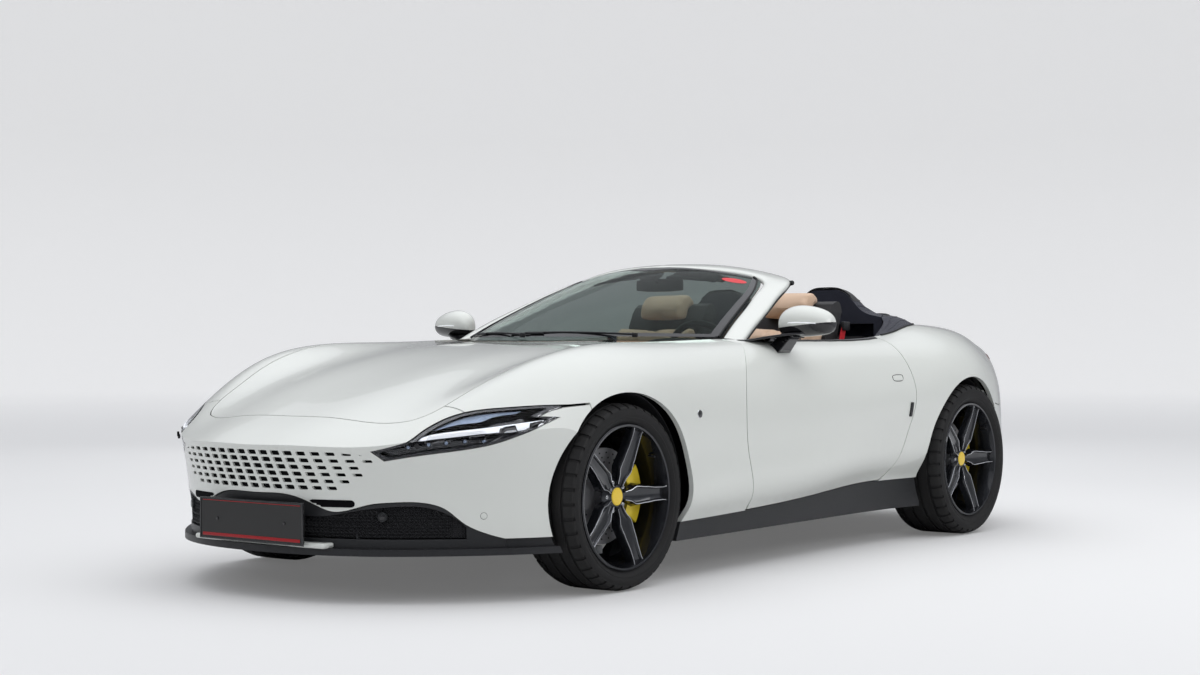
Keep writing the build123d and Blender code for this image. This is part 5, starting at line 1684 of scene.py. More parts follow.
    def build_splitter_insert(self) -> None:
        """Set the painted blade on the splitter under the plate, with rounded ends."""
        low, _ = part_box("front_splitter")
        points = []
        for index in range(17):
            x = self.blade_half * (index / 8 - 1)
            points.append((x, low[1] + 0.006 + 0.16 * x * x, 0.1895))
        points += [(x, y + 0.055, z) for x, y, z in reversed(points)]
        blade = sweep("splitter_blade", points, (0, 0, 0.0195))
        finish_as(soften(blade, 0.0085, 4, 40), PEARL)
        ends = []
        for side in Side:
            for index in range(3):
                x = side.value * (0.40 + 0.11 * index)
                ends.append(block(f"splitter_fin_{side.label}_{index}",
                                  (x - 0.003, -2.20 + 0.10 * index, 0.188),
                                  (x + 0.003, -2.08 + 0.10 * index, 0.240 + 0.002 * index), 0.001))
        finish_as(join(ends, "splitter_fins"), SATIN_BLACK)

    def build(self) -> None:
        """Build the whole nose."""
        self.build_grille_back()
        self.build_slot()
        self.build_mesh()
        self.build_sensors()
        self.build_round_details()
        self.build_plate()
        self.build_splitter_insert()
        LOG.info("nose built")


# ---------------------------------------------------------------- lamps
LAMP_SILVER = Finish("lamp_silver", (0.34, 0.40, 0.50), (0.16, 0.20, 0.28), roughness=0.18, metallic=1.0,
                     mottle_scale=40.0, mottle=0.6, relief=Relief.WEAVE, relief_scale=0.0016,
                     relief_depth=0.8, relief_height=0.0006)


@dataclass
class Headlamp:
    """What is seen through one headlamp lens, modelled on the left and copied to the right."""

    nodes: dict[str, bpy.types.Object]
    bar_top: tuple[Point, ...] = ((606, -731, 575), (621, -711, 584), (693, -641, 598), (759, -565, 608),
                                  (817, -478, 620), (867, -388, 631))
    bar_low: tuple[Point, ...] = ((607, -747, 562), (618, -737, 561), (703, -652, 573), (769, -577, 584),
                                  (829, -492, 596), (875, -405, 606))
    mirror_top: tuple[Point, ...] = ((613, -688, 604), (641, -629, 634), (696, -569, 650), (763, -492, 661),
                                     (806, -434, 665))
    mirror_low: tuple[Point, ...] = ((627, -680, 604), (677, -624, 621), (729, -569, 629), (754, -521, 646),
                                     (799, -456, 655))
    modules: tuple[Point, ...] = ((579, -768, 537), (600, -747, 546), (631, -722, 546), (674, -680, 551),
                                  (718, -633, 556), (761, -583, 556))

    def _pair(self, piece: bpy.types.Object, finish: Finish) -> None:
        """Finish a left-hand piece and its right-hand copy.

        Args:
            piece: The left-hand piece.
            finish: How both look.
        """
        finish_as(piece, finish)
        finish_as(twin(piece, piece.name.replace("left", "right")), finish)

    def build(self) -> None:
        """Build the light bar, the silvered band, the modules and the bright tip."""
        lens = self.nodes["headlamp_lenses"]
        top = [at(*p) for p in self.bar_top]
        low = [at(*p) for p in self.bar_low]
        middle = [(a + b) / 2 for a, b in zip(top, low)]
        middle[0] = middle[0] + (middle[0] - middle[1]).normalized() * 0.004
        middle[-1] = middle[-1] + (middle[-1] - middle[-2]).normalized() * 0.005
        self._pair(strip("light_bar_left", lens, (top, middle, low), 0.0075, 0.004, 30), LAMP_WHITE)
        edge_top = [place + Vector((0, 0, 0.0035)) for place in top]
        edge_low = [place - Vector((0, 0, 0.0035)) for place in low]
        self._pair(strip("light_bar_bezel_left", lens, (edge_top, edge_low), 0.0125, 0.002, 30), GLOSS_BLACK)
        self._pair(strip("silver_band_left", lens, ([at(*p) for p in self.mirror_top],
                                                    [at(*p) for p in self.mirror_low]), 0.011, 0.003, 26),
                                                    LAMP_SILVER)
        tip = ([at(893, -331, 636), at(890, -350, 632), at(884, -374, 622)],
               [at(891, -345, 627), at(889, -356, 622), at(884, -374, 612)])
        self._pair(strip("bright_tip_left", lens, tip, 0.007, 0.003, 8), BRIGHT_PLATE)
        frames, eyes = [], []
        for index, place in enumerate(self.modules):
            centre = onto(lens, at(*place), 0.013)
            outer = onto(lens, at(*place), 0.008)
            out = (outer - centre).normalized()
            frame = bar(f"lamp_module_left_{index}", centre - out * 0.006, centre + out * 0.003, 0.0105, 4)
            frames.append(frame)
            eyes.append(bar(f"lamp_eye_left_{index}", centre, centre + out * 0.0045, 0.0062, 20))
        self._pair(join(frames, "lamp_modules_left"), SATIN_BLACK)
        self._pair(join(eyes, "lamp_eyes_left"), LAMP_SILVER)
        ribs = []
        for index, place in enumerate(along_run([at(*p) for p in self.modules], 40)):
            centre = onto(lens, place + Vector((0, 0, 0.012)), 0.016)
            ribs.append(block(f"lamp_rib_left_{index}", centre - Vector((0.0008, 0.004, 0.004)),
                              centre + Vector((0.0008, 0.004, 0.004))))
        self._pair(join(ribs, "lamp_ribs_left"), GLOSS_BLACK)
        LOG.info("headlamps built")


@dataclass
class Tail:
    """The tail lamps' rings, the rear plate, reflectors, pipes and the boot's trim."""

    nodes: dict[str, bpy.types.Object]
    skin: Skin
    pipes: tuple[float, ...] = (-0.565, -0.472, 0.472, 0.565)
    pipe_z: float = 0.238
    pipe_radius: float = 0.0372
    boot_wall: float = 0.558
    boot_floor: float = 0.443
    boot_front: float = 1.235
    boot_length: float = 0.880

    def build_lamp_rings(self) -> None:
        """Give each pair of tail lamps its dark bezel and lit rings."""
        low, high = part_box("tail_lamps")
        lamp = self.nodes["tail_lamps"]
        for side in Side:
            inner = Vector((side.value * (high.x - 0.062), high.y - 0.05, (low.z + high.z) / 2))
            for label, radius, width, depth, finish in (("outer", 0.047, 0.0035, -0.001, GLOSS_BLACK),
                                                        ("lit", 0.026, 0.003, -0.0012, LAMP_RED),
                                                        ("hub", 0.010, 0.006, -0.0012, GLOSS_BLACK)):
                ring = []
                for index in range(20):
                    a = math.tau * index / 20
                    place = inner + Vector((side.value * radius * math.cos(a), 0,
                                            0.42 * radius * math.sin(a)))
                    ring.append(onto(lamp, place, depth))
                finish_as(tube(f"tail_{label}_{side.label}", ring, width / 2, True, 3), finish)

    def build_plate(self) -> None:
        """Hang the blank rear plate, its frame and its two lamps on the rear bumper."""
        place = self.skin.back(("rear_bumper", "boot_lid"), 0.0, 0.52)
        y = place.y if place else 2.30
        add_blocks(PLATE_BLACK, ("rear_plate", (-0.26, y + 0.0005, 0.45), (0.26, y + 0.007, 0.56), 0.002))
        frame = block("rear_plate_frame", (-0.264, y + 0.0005, 0.446), (0.264, y + 0.009, 0.564))
        hole = block("rear_plate_hole", (-0.256, y - 0.02, 0.454), (0.256, y + 0.03, 0.556))
        finish_as(soften(cut(frame, hole), 0.001), GLOSS_BLACK)
        for side in Side:
            x = side.value * 0.17
            lamp = block(f"plate_lamp_{side.label}", (x - 0.022, y - 0.004, 0.578),
                         (x + 0.022, y + 0.008, 0.592), 0.003)
            finish_as(lamp, LAMP_WHITE)

    def build_reflectors(self) -> None:
        """Lay the low reflectors, the fog lamp and the diffuser's fins on the tail."""
        bumper = self.nodes["rear_bumper"]
        for side in Side:
            x = side.value
            edges = ([Vector((x * 0.58, 2.235, 0.374)), Vector((x * 0.71, 2.135, 0.384))],
                     [Vector((x * 0.58, 2.235, 0.358)), Vector((x * 0.71, 2.135, 0.368))])
            # The reflectors take the lamps' red finish, and its faint glow on them is painted light, since
            # they are no lamps.
            piece = strip(f"reflector_{side.label}", bumper, edges, -0.002, 0.003, 10, (x * 0.4, 1, 0))
            finish_as(piece, LAMP_RED)
        add_blocks(LAMP_RED, ("fog_lamp", (-0.035, 2.232, 0.268), (0.035, 2.260, 0.292), 0.004))
        fins = []
        for index in range(6):
            x = (index - 2.5) * 0.105
            top, low = [], []
            for step in range(6):
                y = 1.92 + 0.055 * step
                roof = self.skin.hit(("rear_diffuser",), (x, y, 0.02), (0, 0, 1))
                z = min(0.268, roof.z if roof else 0.268)
                top.append((x - 0.004, y, z + 0.006))
                low.append((x - 0.004, y, z - 0.012 - 0.030 * math.sin(math.pi * (step + 1) / 8)))
            fins.append(soften(sweep(f"diffuser_fin_{index}", top + low[::-1], (0.008, 0, 0)), 0.0015))
        finish_as(join(fins, "diffuser_fins"), SATIN_BLACK)

    def build_pipes(self) -> None:
        """Roll a bright lip on each exhaust tip."""
        for index, x in enumerate(self.pipes):
            tip = self.skin.back(("exhaust_tips",), x + 0.0365, self.pipe_z)
            y = tip.y if tip else 2.254
            lip = circle((x, y - 0.0005, self.pipe_z), self.pipe_radius, 24)
            finish_as(tube(f"pipe_lip_{index}", lip, 0.0026, True, 3), BRIGHT_PLATE)

    def build_boot_lining(self) -> None:
        """Line the boot's sides and floor with carpet."""
        for side in Side:
            x = side.value * self.boot_wall
            rows = []
            for share in (0.0, 0.25, 0.5, 0.75, 1.0):
                row = []
                for step in range(15):
                    y = self.boot_front + self.boot_length * step / 14
                    roof = self.skin.hit(("rear_quarters",), (x, y, 0.5), (0, 0, 1))
                    high = (roof.z if roof else 0.94) - 0.004
                    row.append(Vector((x, y, self.boot_floor + (high - self.boot_floor) * share)))
                rows.append(row)
            wall = slab(f"boot_lining_{side.label}", rows, (-side.value, 0, 0), 0.006)
            finish_as(wall, CARPET)
        add_blocks(CARPET, ("boot_mat", (-0.552, 1.228, 0.4405), (0.552, 2.100, 0.4490), 0.003))

    def build_boot(self) -> None:
        """Fit the boot's third brake lamp."""
        lid = self.nodes["boot_lid"]
        edges = [[Vector((x, y, z)) for x in (-0.16, 0.0, 0.16)] for y, z in ((2.10, 0.962), (2.116, 0.954))]
        finish_as(strip("high_brake_lamp", lid, edges, -0.001, 0.002, 16, (0, 0.6, 1)), LAMP_RED, "boot_lid")

    def build(self) -> None:
        """Build the whole tail."""
        self.build_lamp_rings()
        self.build_plate()
        self.build_reflectors()
        self.build_pipes()
        self.build_boot_lining()
        self.build_boot()
        LOG.info("tail built")


# ---------------------------------------------------------------- doors and mirrors
@dataclass
class DoorTrim:
    """The outside and inside trim of one door, riding on it."""

    skin: Skin
    side: Side
    handle: tuple[float, float] = (2.000, 0.742)
    guard_z: float = 0.600
    guard_s: float = 2.096

    @property
    def label(self) -> str:
        """Return the door's side in lower case."""
        return self.side.label

    @property
    def body(self) -> str:
        """Return the body that carries the trim."""
        return f"door_{self.label}"

    def _spot(self, s: float, z: float, lift: float = 0.0) -> Vector:
        """Return a place on the door's skin from a station in metres and a height.

        Args:
            s: How far behind the front axle.
            z: The height.
            lift: How far off the skin.

        Returns:
            The place.
        """
        place = self.skin.side((self.body,), s + AXLE_Y, z, self.side)
        if place is None:
            return self._spot(s - 0.010, z, lift) + Vector((0, 0.010, 0))
        return place + Vector((self.side.value * lift, 0, 0))

    def build_handle(self) -> None:
        """Outline the flush handle and its flap."""
        s, z = self.handle
        ring = [(s - 0.044, z + 0.013), (s + 0.030, z + 0.015), (s + 0.044, z + 0.010),
                (s + 0.038, z - 0.014),
                (s - 0.036, z - 0.015), (s - 0.046, z - 0.004)]
        points = [self._spot(a, b, 0.0002) for a, b in ring]
        seam = tube(f"handle_seam_{self.label}", points, 0.0013, True, 3)
        finish_as(seam, SEAL_RUBBER, self.body)
        rows = [[self._spot(s - 0.040 + 0.078 * i / 8, z - 0.011 + 0.022 * j / 3, 0.0012) for i in range(9)]
                for j in range(4)]
        flap = slab(f"handle_flap_{self.label}", rows, (self.side.value, 0, 0), 0.0016)
        finish_as(soften(flap, 0.0006), PEARL, self.body)

    def build_guard(self) -> None:
        """Fit the small black protector on the door's rear edge."""
        s = self.guard_s
        rows = [[self._spot(s - 0.016 + 0.020 * i / 3, self.guard_z - 0.032 + 0.064 * j / 4,
                            0.0065) for i in range(4)]
                for j in range(5)]
        guard = slab(f"edge_guard_{self.label}", rows, (self.side.value, 0, 0), 0.0075)
        finish_as(soften(guard, 0.0022, 3), SATIN_BLACK, self.body)

    def build_belt(self) -> None:
        """Lay the black strip along the door's top and the felt that wipes the glass."""
        x = self.side.value
        low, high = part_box(self.body)
        for label, inset, width, lift, finish in (("belt", 0.004, 0.012, 0.0035, GLOSS_BLACK),
                                                  ("felt", 0.016, 0.006, 0.0015, SEAL_RUBBER)):
            rows = []
            for edge in (inset, inset + width):
                row = []
                for index in range(30):
                    y = low.y + 0.10 + (high.y - low.y - 0.16) * index / 29
                    crown = self.inner_edge(y)
                    place = self.skin.top((self.body,), x * (crown + edge), y)
                    row.append((place or Vector((x * (crown + edge), y, 0.90))) + Vector((0, 0, lift)))
                rows.append(row)
            piece = slab(f"{label}_{self.label}", rows, (0, 0, 1), lift + 0.001)
            finish_as(soften(piece, 0.001, 2, 50), finish, self.body)

    def inner_edge(self, y: float) -> float:
        """Return how far out the door's inner top edge lies at a place along the car.

        Args:
            y: The station.

        Returns:
            The distance from the car's middle.
        """
        for step in range(40):
            x = 0.700 + 0.004 * step
            place = self.skin.top((self.body,), self.side.value * x, y)
            if place is not None and place.z > 0.80:
                return x
        return 0.79

    def build_card(self) -> None:
        """Upholster the door's inner face: card, armrest, pull, speaker and switches."""
        x = self.side.value
        low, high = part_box(self.body)
        face = low.x if x > 0 else high.x
        inner = abs(face)
        y0, y1 = low.y + 0.32, high.y - 0.12
        card = block(f"door_card_{self.label}", (x * (inner - 0.006), y0, 0.36),
                     (x * (inner + 0.001), y1, 0.80))
        finish_as(rounded(card, 0.003), LEATHER_BLACK, self.body)
        panel = [(x * (inner - 0.009), y, z) for y, z in
                 ((y0 + 0.05, 0.60), (y0 + 0.30, 0.665), (y1 - 0.20, 0.680), (y1 - 0.05, 0.62),
                  (y1 - 0.12, 0.575), (y0 + 0.16, 0.560))]
        insert = sweep(f"door_insert_{self.label}", panel, (x * 0.006, 0, 0))
        finish_as(soften(insert, 0.0025, 3), LEATHER_TAN, self.body)
        rest = block(f"armrest_{self.label}", (x * (inner - 0.040), y0 + 0.22, 0.535),
                     (x * (inner - 0.002), y1 - 0.14, 0.562))
        finish_as(rounded(rest, 0.011, 4), LEATHER_BLACK, self.body)
        pull = [(x * (inner - depth), y0 + y, z) for depth, y, z in
                ((0.004, 0.30, 0.600), (0.030, 0.33, 0.606), (0.034, 0.40, 0.612), (0.030, 0.47, 0.612),
                 (0.004, 0.50, 0.608))]
        finish_as(tube(f"door_pull_{self.label}", pull, 0.007, False, 4), MACHINED, self.body)
        ring = lathe(f"speaker_{self.label}", [(x * (inner - 0.006), 0.078), (x * (inner - 0.011), 0.074),
                                               (x * (inner - 0.011), 0.066), (x * (inner - 0.007), 0.062)],
                     (0, y0 + 0.12, 0.45), 48)
        finish_as(smooth(ring), MACHINED, self.body)
        grille = lathe(f"speaker_mesh_{self.label}", [(x * (inner - 0.007), 0.064),
                                                      (x * (inner - 0.009), 0.030),
                                                      (x * (inner - 0.0095), 0.0)], (0, y0 + 0.12, 0.45), 40)
        finish_as(smooth(grille), MESH_BLACK, self.body)
        switches = [block(f"window_switch_{self.label}_{i}", (x * (inner - 0.032), y0 + 0.26 + 0.032 * i,
                                                              0.560),
                          (x * (inner - 0.016), y0 + 0.282 + 0.032 * i, 0.568)) for i in range(3)]
        finish_as(join([rounded(piece, 0.002) for piece in switches], f"window_switches_{self.label}"),
                  GLOSS_BLACK, self.body)
        pocket = block(f"door_pocket_{self.label}", (x * (inner - 0.030), y0 + 0.30, 0.40),
                       (x * (inner - 0.004), y1 - 0.12, 0.455))
        finish_as(rounded(pocket, 0.008, 3), LEATHER_BLACK, self.body)

    def build(self) -> None:
        """Build the door's trim."""
        self.build_handle()
        self.build_guard()
        self.build_belt()
        self.build_card()


@dataclass
class MirrorTrim:
    """The black under-shell, glass, lamp, foot and slats of one door mirror."""

    nodes: dict[str, bpy.types.Object]
    side: Side

    def build(self) -> None:
        """Build the mirror's trim."""
        label = self.side.label
        node = self.nodes[f"mirror_{label}"]
        body = f"door_{label}"
        x = self.side.value
        low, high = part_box(f"mirror_{label}")
        far = max(abs(low.x), abs(high.x))
        front, rear = low.y, high.y
        split = 0.968
        shell = copy_of(node, f"mirror_shell_{label}")
        with editing(shell):
            bpy.ops.mesh.remove_doubles(threshold=0.0002)
            bpy.ops.mesh.select_all(action="SELECT")
            bpy.ops.mesh.bisect(plane_co=(x * 0.96, (front + rear) / 2, split),
                                plane_no=(x * -0.10, 0.0, 1.0), use_fill=True, clear_outer=True)
            bpy.ops.mesh.select_all(action="SELECT")
            bpy.ops.transform.shrink_fatten(value=0.0008)
        finish_as(smooth(face_out(shell), 40), GLOSS_BLACK, body)
        rim = []
        for index in range(28):
            a = math.tau * index / 28
            place = Vector((x * (0.962 + 0.088 * math.cos(a)), rear + 0.2, 0.982 + 0.046 * math.sin(a)))
            found, spot, _, _ = node.ray_cast(place, Vector((0, -1, 0)))
            rim.append(spot + Vector((0, 0.0008, 0)) if found else Vector((place.x, rear - 0.03, place.z)))
        middle = Vector((x * 0.962, max(p.y for p in rim) + 0.001, 0.982))
        inner = [middle + (p - middle) * 0.5 for p in rim]
        glass = patch(f"mirror_glass_{label}", [rim + rim[:1], inner + inner[:1], [middle] * 29], (0, 1, 0))
        finish_as(smooth(glass), MIRROR_GLASS, body)
        finish_as(tube(f"mirror_rim_{label}", rim, 0.003, True, 3), GLOSS_BLACK, body)
        lamp_top = [Vector((x * a, -0.30, b)) for a, b in ((0.905, 0.972), (0.97, 0.974), (1.03, 0.970),
                                                           (1.062, 0.966))]
        lamp_low = [place - Vector((0, 0, 0.007)) for place in lamp_top]
        finish_as(strip(f"mirror_lamp_{label}", node, (lamp_top, lamp_low), -0.0018, 0.002, 16,
                        (x * 0.2, -1, 0)), LAMP_WHITE, body)
        foot_inner = [Vector((x * a, s * MM + AXLE_Y, b)) for a, s, b in
                      ((0.778, 1012, 0.909), (0.776, 1080, 0.913), (0.780, 1150, 0.916),
                       (0.800, 1206, 0.914))]
        foot_outer = [Vector((x * a, s * MM + AXLE_Y, b)) for a, s, b in
                      ((0.792, 1008, 0.908), (0.868, 1072, 0.926), (0.948, 1140, 0.938),
                       (0.990, 1206, 0.940))]
        rows = [[a.lerp(b, share) for a, b in zip(along_run(foot_inner, 17), along_run(foot_outer, 17))]
                for share in (0.0, 0.33, 0.67, 1.0)]
        blade = slab(f"mirror_blade_{label}", rows, (0, 0, 1), 0.009)
        finish_as(soften(blade, 0.0028, 3, 50), GLOSS_BLACK, body)
        slats = []
        for index in range(5):
            a = 0.862 + 0.016 * index
            slats.append(block(f"mirror_slat_{label}_{index}", (x * a, front + 0.022, 0.892 + 0.006 * index),
                               (x * (a + 0.009), rear - 0.030, 0.897 + 0.006 * index)))
        finish_as(join(slats, f"mirror_slats_{label}"), SATIN_BLACK, body)
        LOG.info("mirror %s reaches %.3f", label, far)


# ---------------------------------------------------------------- windscreen
@dataclass
class Windscreen:
    """The glass's black borders and what sits on and round it: seals, mirror, visors, wipers and sticker."""

    nodes: dict[str, bpy.types.Object]
    sticker: tuple[float, float] = (0.835, 0.828)
    sticker_reach: tuple[float, float] = (0.095, 0.032)

    def inside(self, share_x: float, share_up: float, depth: float) -> Vector:
        """Return a place under the glass.

        Args:
            share_x: Across the glass, from -1 at the right edge to 1 at the left.
            share_up: Up the glass, from 0 at its foot to 1 at its head.
            depth: How far inside the outer face.

        Returns:
            The place.
        """
        edge = along_run([at(688, 968, 905), at(655, 1110, 976), at(616, 1268, 1047), at(575, 1414, 1110),
                          at(509, 1547, 1171), at(478, 1556, 1184)], 41)
        middle = along_run([at(0, 645, 907), at(0, 812, 1003), at(0, 985, 1082), at(0, 1170, 1150),
                            at(0, 1310, 1196),
                            at(0, 1410, 1222), at(0, 1500, 1239)], 41)
        index = min(39, int(share_up * 40))
        part = share_up * 40 - index
        side = edge[index].lerp(edge[index + 1], part)
        centre = middle[index].lerp(middle[index + 1], part)
        bend = share_x * share_x
        place = Vector((side.x * share_x, centre.y + (side.y - centre.y) * bend,
                        centre.z + (side.z - centre.z) * bend))
        return onto(self.nodes["windscreen_glass"], place + Vector((0, 0, 0.05)), depth)

    def _band(self, name: str, low_of: Callable[[float], float], high_of: Callable[[float], float]) -> None:
        """Print a black band on the glass between two heights that change across it.

        Args:
            name: The band's name.
            low_of: Gives its lower edge from the place across.
            high_of: Gives its upper edge from the place across.
        """
        rows = []
        for line in range(5):
            row = []
            for index in range(41):
                across = (index / 20 - 1) * 0.985
                low, high = low_of(across), high_of(across)
                row.append(self.inside(across, low + (high - low) * line / 4, -0.0006))
            rows.append(row)
        finish_as(smooth(patch(name, rows, (0, -1, 1)), 60), GLOSS_BLACK)

    def build_borders(self) -> None:
        """Print the head band, which sags in the middle, the foot band and the sides."""
        self._band("head_band", lambda a: 0.94 - 0.055 * math.exp(-(a / 0.20) ** 2), lambda a: 0.995)
        self._band("foot_band", lambda a: 0.005, lambda a: 0.055)
        for side in Side:
            rows = []
            for share in (0.955, 0.985, 0.998):
                rows.append([self.inside(side.value * share, 0.02 + 0.95 * i / 30,
                                         -0.0006) for i in range(31)])
            finish_as(smooth(patch(f"side_band_{side.label}", rows, (side.value * 0.4, -1, 1)), 60),
                      GLOSS_BLACK)
            run = [self.inside(side.value * 1.0, 0.01 + 0.97 * i / 16, -0.002) for i in range(17)]
            finish_as(tube(f"pillar_seal_{side.label}", run, 0.0042, False, 3), SEAL_RUBBER)

    def build_mirror(self) -> None:
        """Hang the interior mirror and the sensor box from the head of the glass."""
        root = self.inside(0.0, 0.93, 0.012)
        foot = block("sensor_box", root + Vector((-0.055, -0.045, -0.030)),
                     root + Vector((0.055, 0.030, -0.004)))
        with editing(foot):
            choose(foot, lambda centre, normal: normal.z < -0.9)
            bpy.ops.transform.resize(value=(0.72, 0.7, 1.0))
            choose(foot, lambda centre, normal: normal.y < -0.6)
            bpy.ops.transform.translate(value=(0, 0.004, -0.016))
        finish_as(soften(foot, 0.006, 3), SATIN_BLACK)
        stem = tube("mirror_stem", [root + Vector((0, 0.0, -0.020)), root + Vector((0, 0.02, -0.040)),
                                    root + Vector((0, 0.045, -0.050))], 0.007, False, 4)
        finish_as(stem, SATIN_BLACK)
        centre = root + Vector((0, 0.052, -0.062))
        head = block("interior_mirror", centre - Vector((0.125, 0.011, 0.030)),
                     centre + Vector((0.125, 0.011, 0.030)))
        with editing(head):
            bpy.ops.mesh.subdivide(number_cuts=3)
        for vertex in head.data.vertices:
            across = (vertex.co.x - centre.x) / 0.125
            vertex.co.z = centre.z + (vertex.co.z - centre.z) * (1 - 0.22 * across * across)
            vertex.co.y += 0.010 * across * across
        finish_as(soften(head, 0.006, 4, 50), GLOSS_BLACK)
        rows = []
        for j in range(5):
            row = []
            for i in range(13):
                across = (i / 6 - 1) * 0.94
                row.append(centre + Vector((0.125 * across, 0.0118 + 0.010 * across * across,
                                            0.026 * (j / 2 - 1) * (1 - 0.24 * across * across))))
            rows.append(row)
        finish_as(smooth(patch("interior_mirror_glass", rows, (0, 1, 0))), MIRROR_GLASS)

    def build_visors(self) -> None:
        """Fold two sun visors up under the header."""
        for side in Side:
            rows = []
            for depth in range(5):
                row = []
                for index in range(9):
                    across = side.value * (0.18 + 0.56 * index / 8)
                    place = self.inside(across, 0.995 - 0.006 * depth, 0.018)
                    row.append(place + Vector((0, 0.034 - 0.022 * depth, -0.010 - 0.0055 * depth)))
                rows.append(row)
            visor = slab(f"sun_visor_{side.label}", rows, (0, 0, -1), 0.011, 0.0)
            finish_as(soften(visor, 0.004, 3, 50), LEATHER_BLACK)

    def build_wipers(self) -> None:
        """Park the two wipers along the foot of the glass."""
        for index, (root_x, tip_share, lift) in enumerate(((0.42, -0.16, 0.030), (-0.10, -0.80, 0.034))):
            root = self.inside(root_x / 0.69, 0.012, -0.004) + Vector((0, -0.020, 0.004))
            tip = self.inside(tip_share, lift + 0.006, -0.008)
            middle = self.inside((root_x / 0.69 + tip_share) / 2, 0.040, -0.014)
            arm = tube(f"wiper_arm_{index}", [root, middle, tip], 0.0042, False, 4)
            ends = [self.inside(tip_share + 0.30 * (i / 10 - 0.5), lift + 0.006 + 0.002 * i / 10, -0.0052)
                    for i in range(11)]
            blade = tube(f"wiper_blade_{index}", ends, 0.0036, False, 3)
            hub = bar(f"wiper_hub_{index}", root - Vector((0, 0, 0.012)), root + Vector((0, 0, 0.006)),
                      0.012, 28)
            for piece in (arm, blade, hub):
                finish_as(piece, SATIN_BLACK)

    def build_pillar_trim(self) -> None:
        """Fit the catch at each pillar's head and the corner seals behind the mirrors."""
        for side in Side:
            x = side.value
            place = at(x * 600, 1660, 1160)
            spot = onto(self.nodes["windscreen_frame"], place, -0.002)
            knob = bar(f"roof_catch_{side.label}", spot - Vector((0, 0.004, 0)),
                       spot + Vector((0, 0.014, 0.002)), 0.011, 24)
            finish_as(knob, SATIN_BLACK)
            run = [onto(self.nodes["windscreen_frame"], at(x * a, s, z), -0.0005)
                   for a, s, z in ((790, 1085, 890), (765, 1190, 940), (722, 1340, 1000), (682, 1480, 1060),
                                   (650, 1590, 1105), (620, 1680, 1140))]
            finish_as(tube(f"door_seal_{side.label}", run, 0.0048, False, 4), SEAL_RUBBER)

    def build_sticker(self) -> None:
        """Stick the blank red oval at the glass's upper left corner."""
        rows = []
        for ring in range(5):
            row = []
            for index in range(29):
                a = math.tau * index / 28
                across = self.sticker[0] + self.sticker_reach[0] * ring / 4 * math.cos(a)
                up = self.sticker[1] + self.sticker_reach[1] * ring / 4 * math.sin(a)
                row.append(self.inside(across, up, -0.0012))
            rows.append(row)
        finish_as(smooth(patch("inspection_sticker", rows, (0, -1, 1)), 60), STICKER_RED)

    def build(self) -> None:
        """Build everything on and round the glass."""
        self.build_borders()
        self.build_mirror()
        self.build_visors()
        self.build_wipers()
        self.build_pillar_trim()
        self.build_sticker()
        LOG.info("windscreen built")


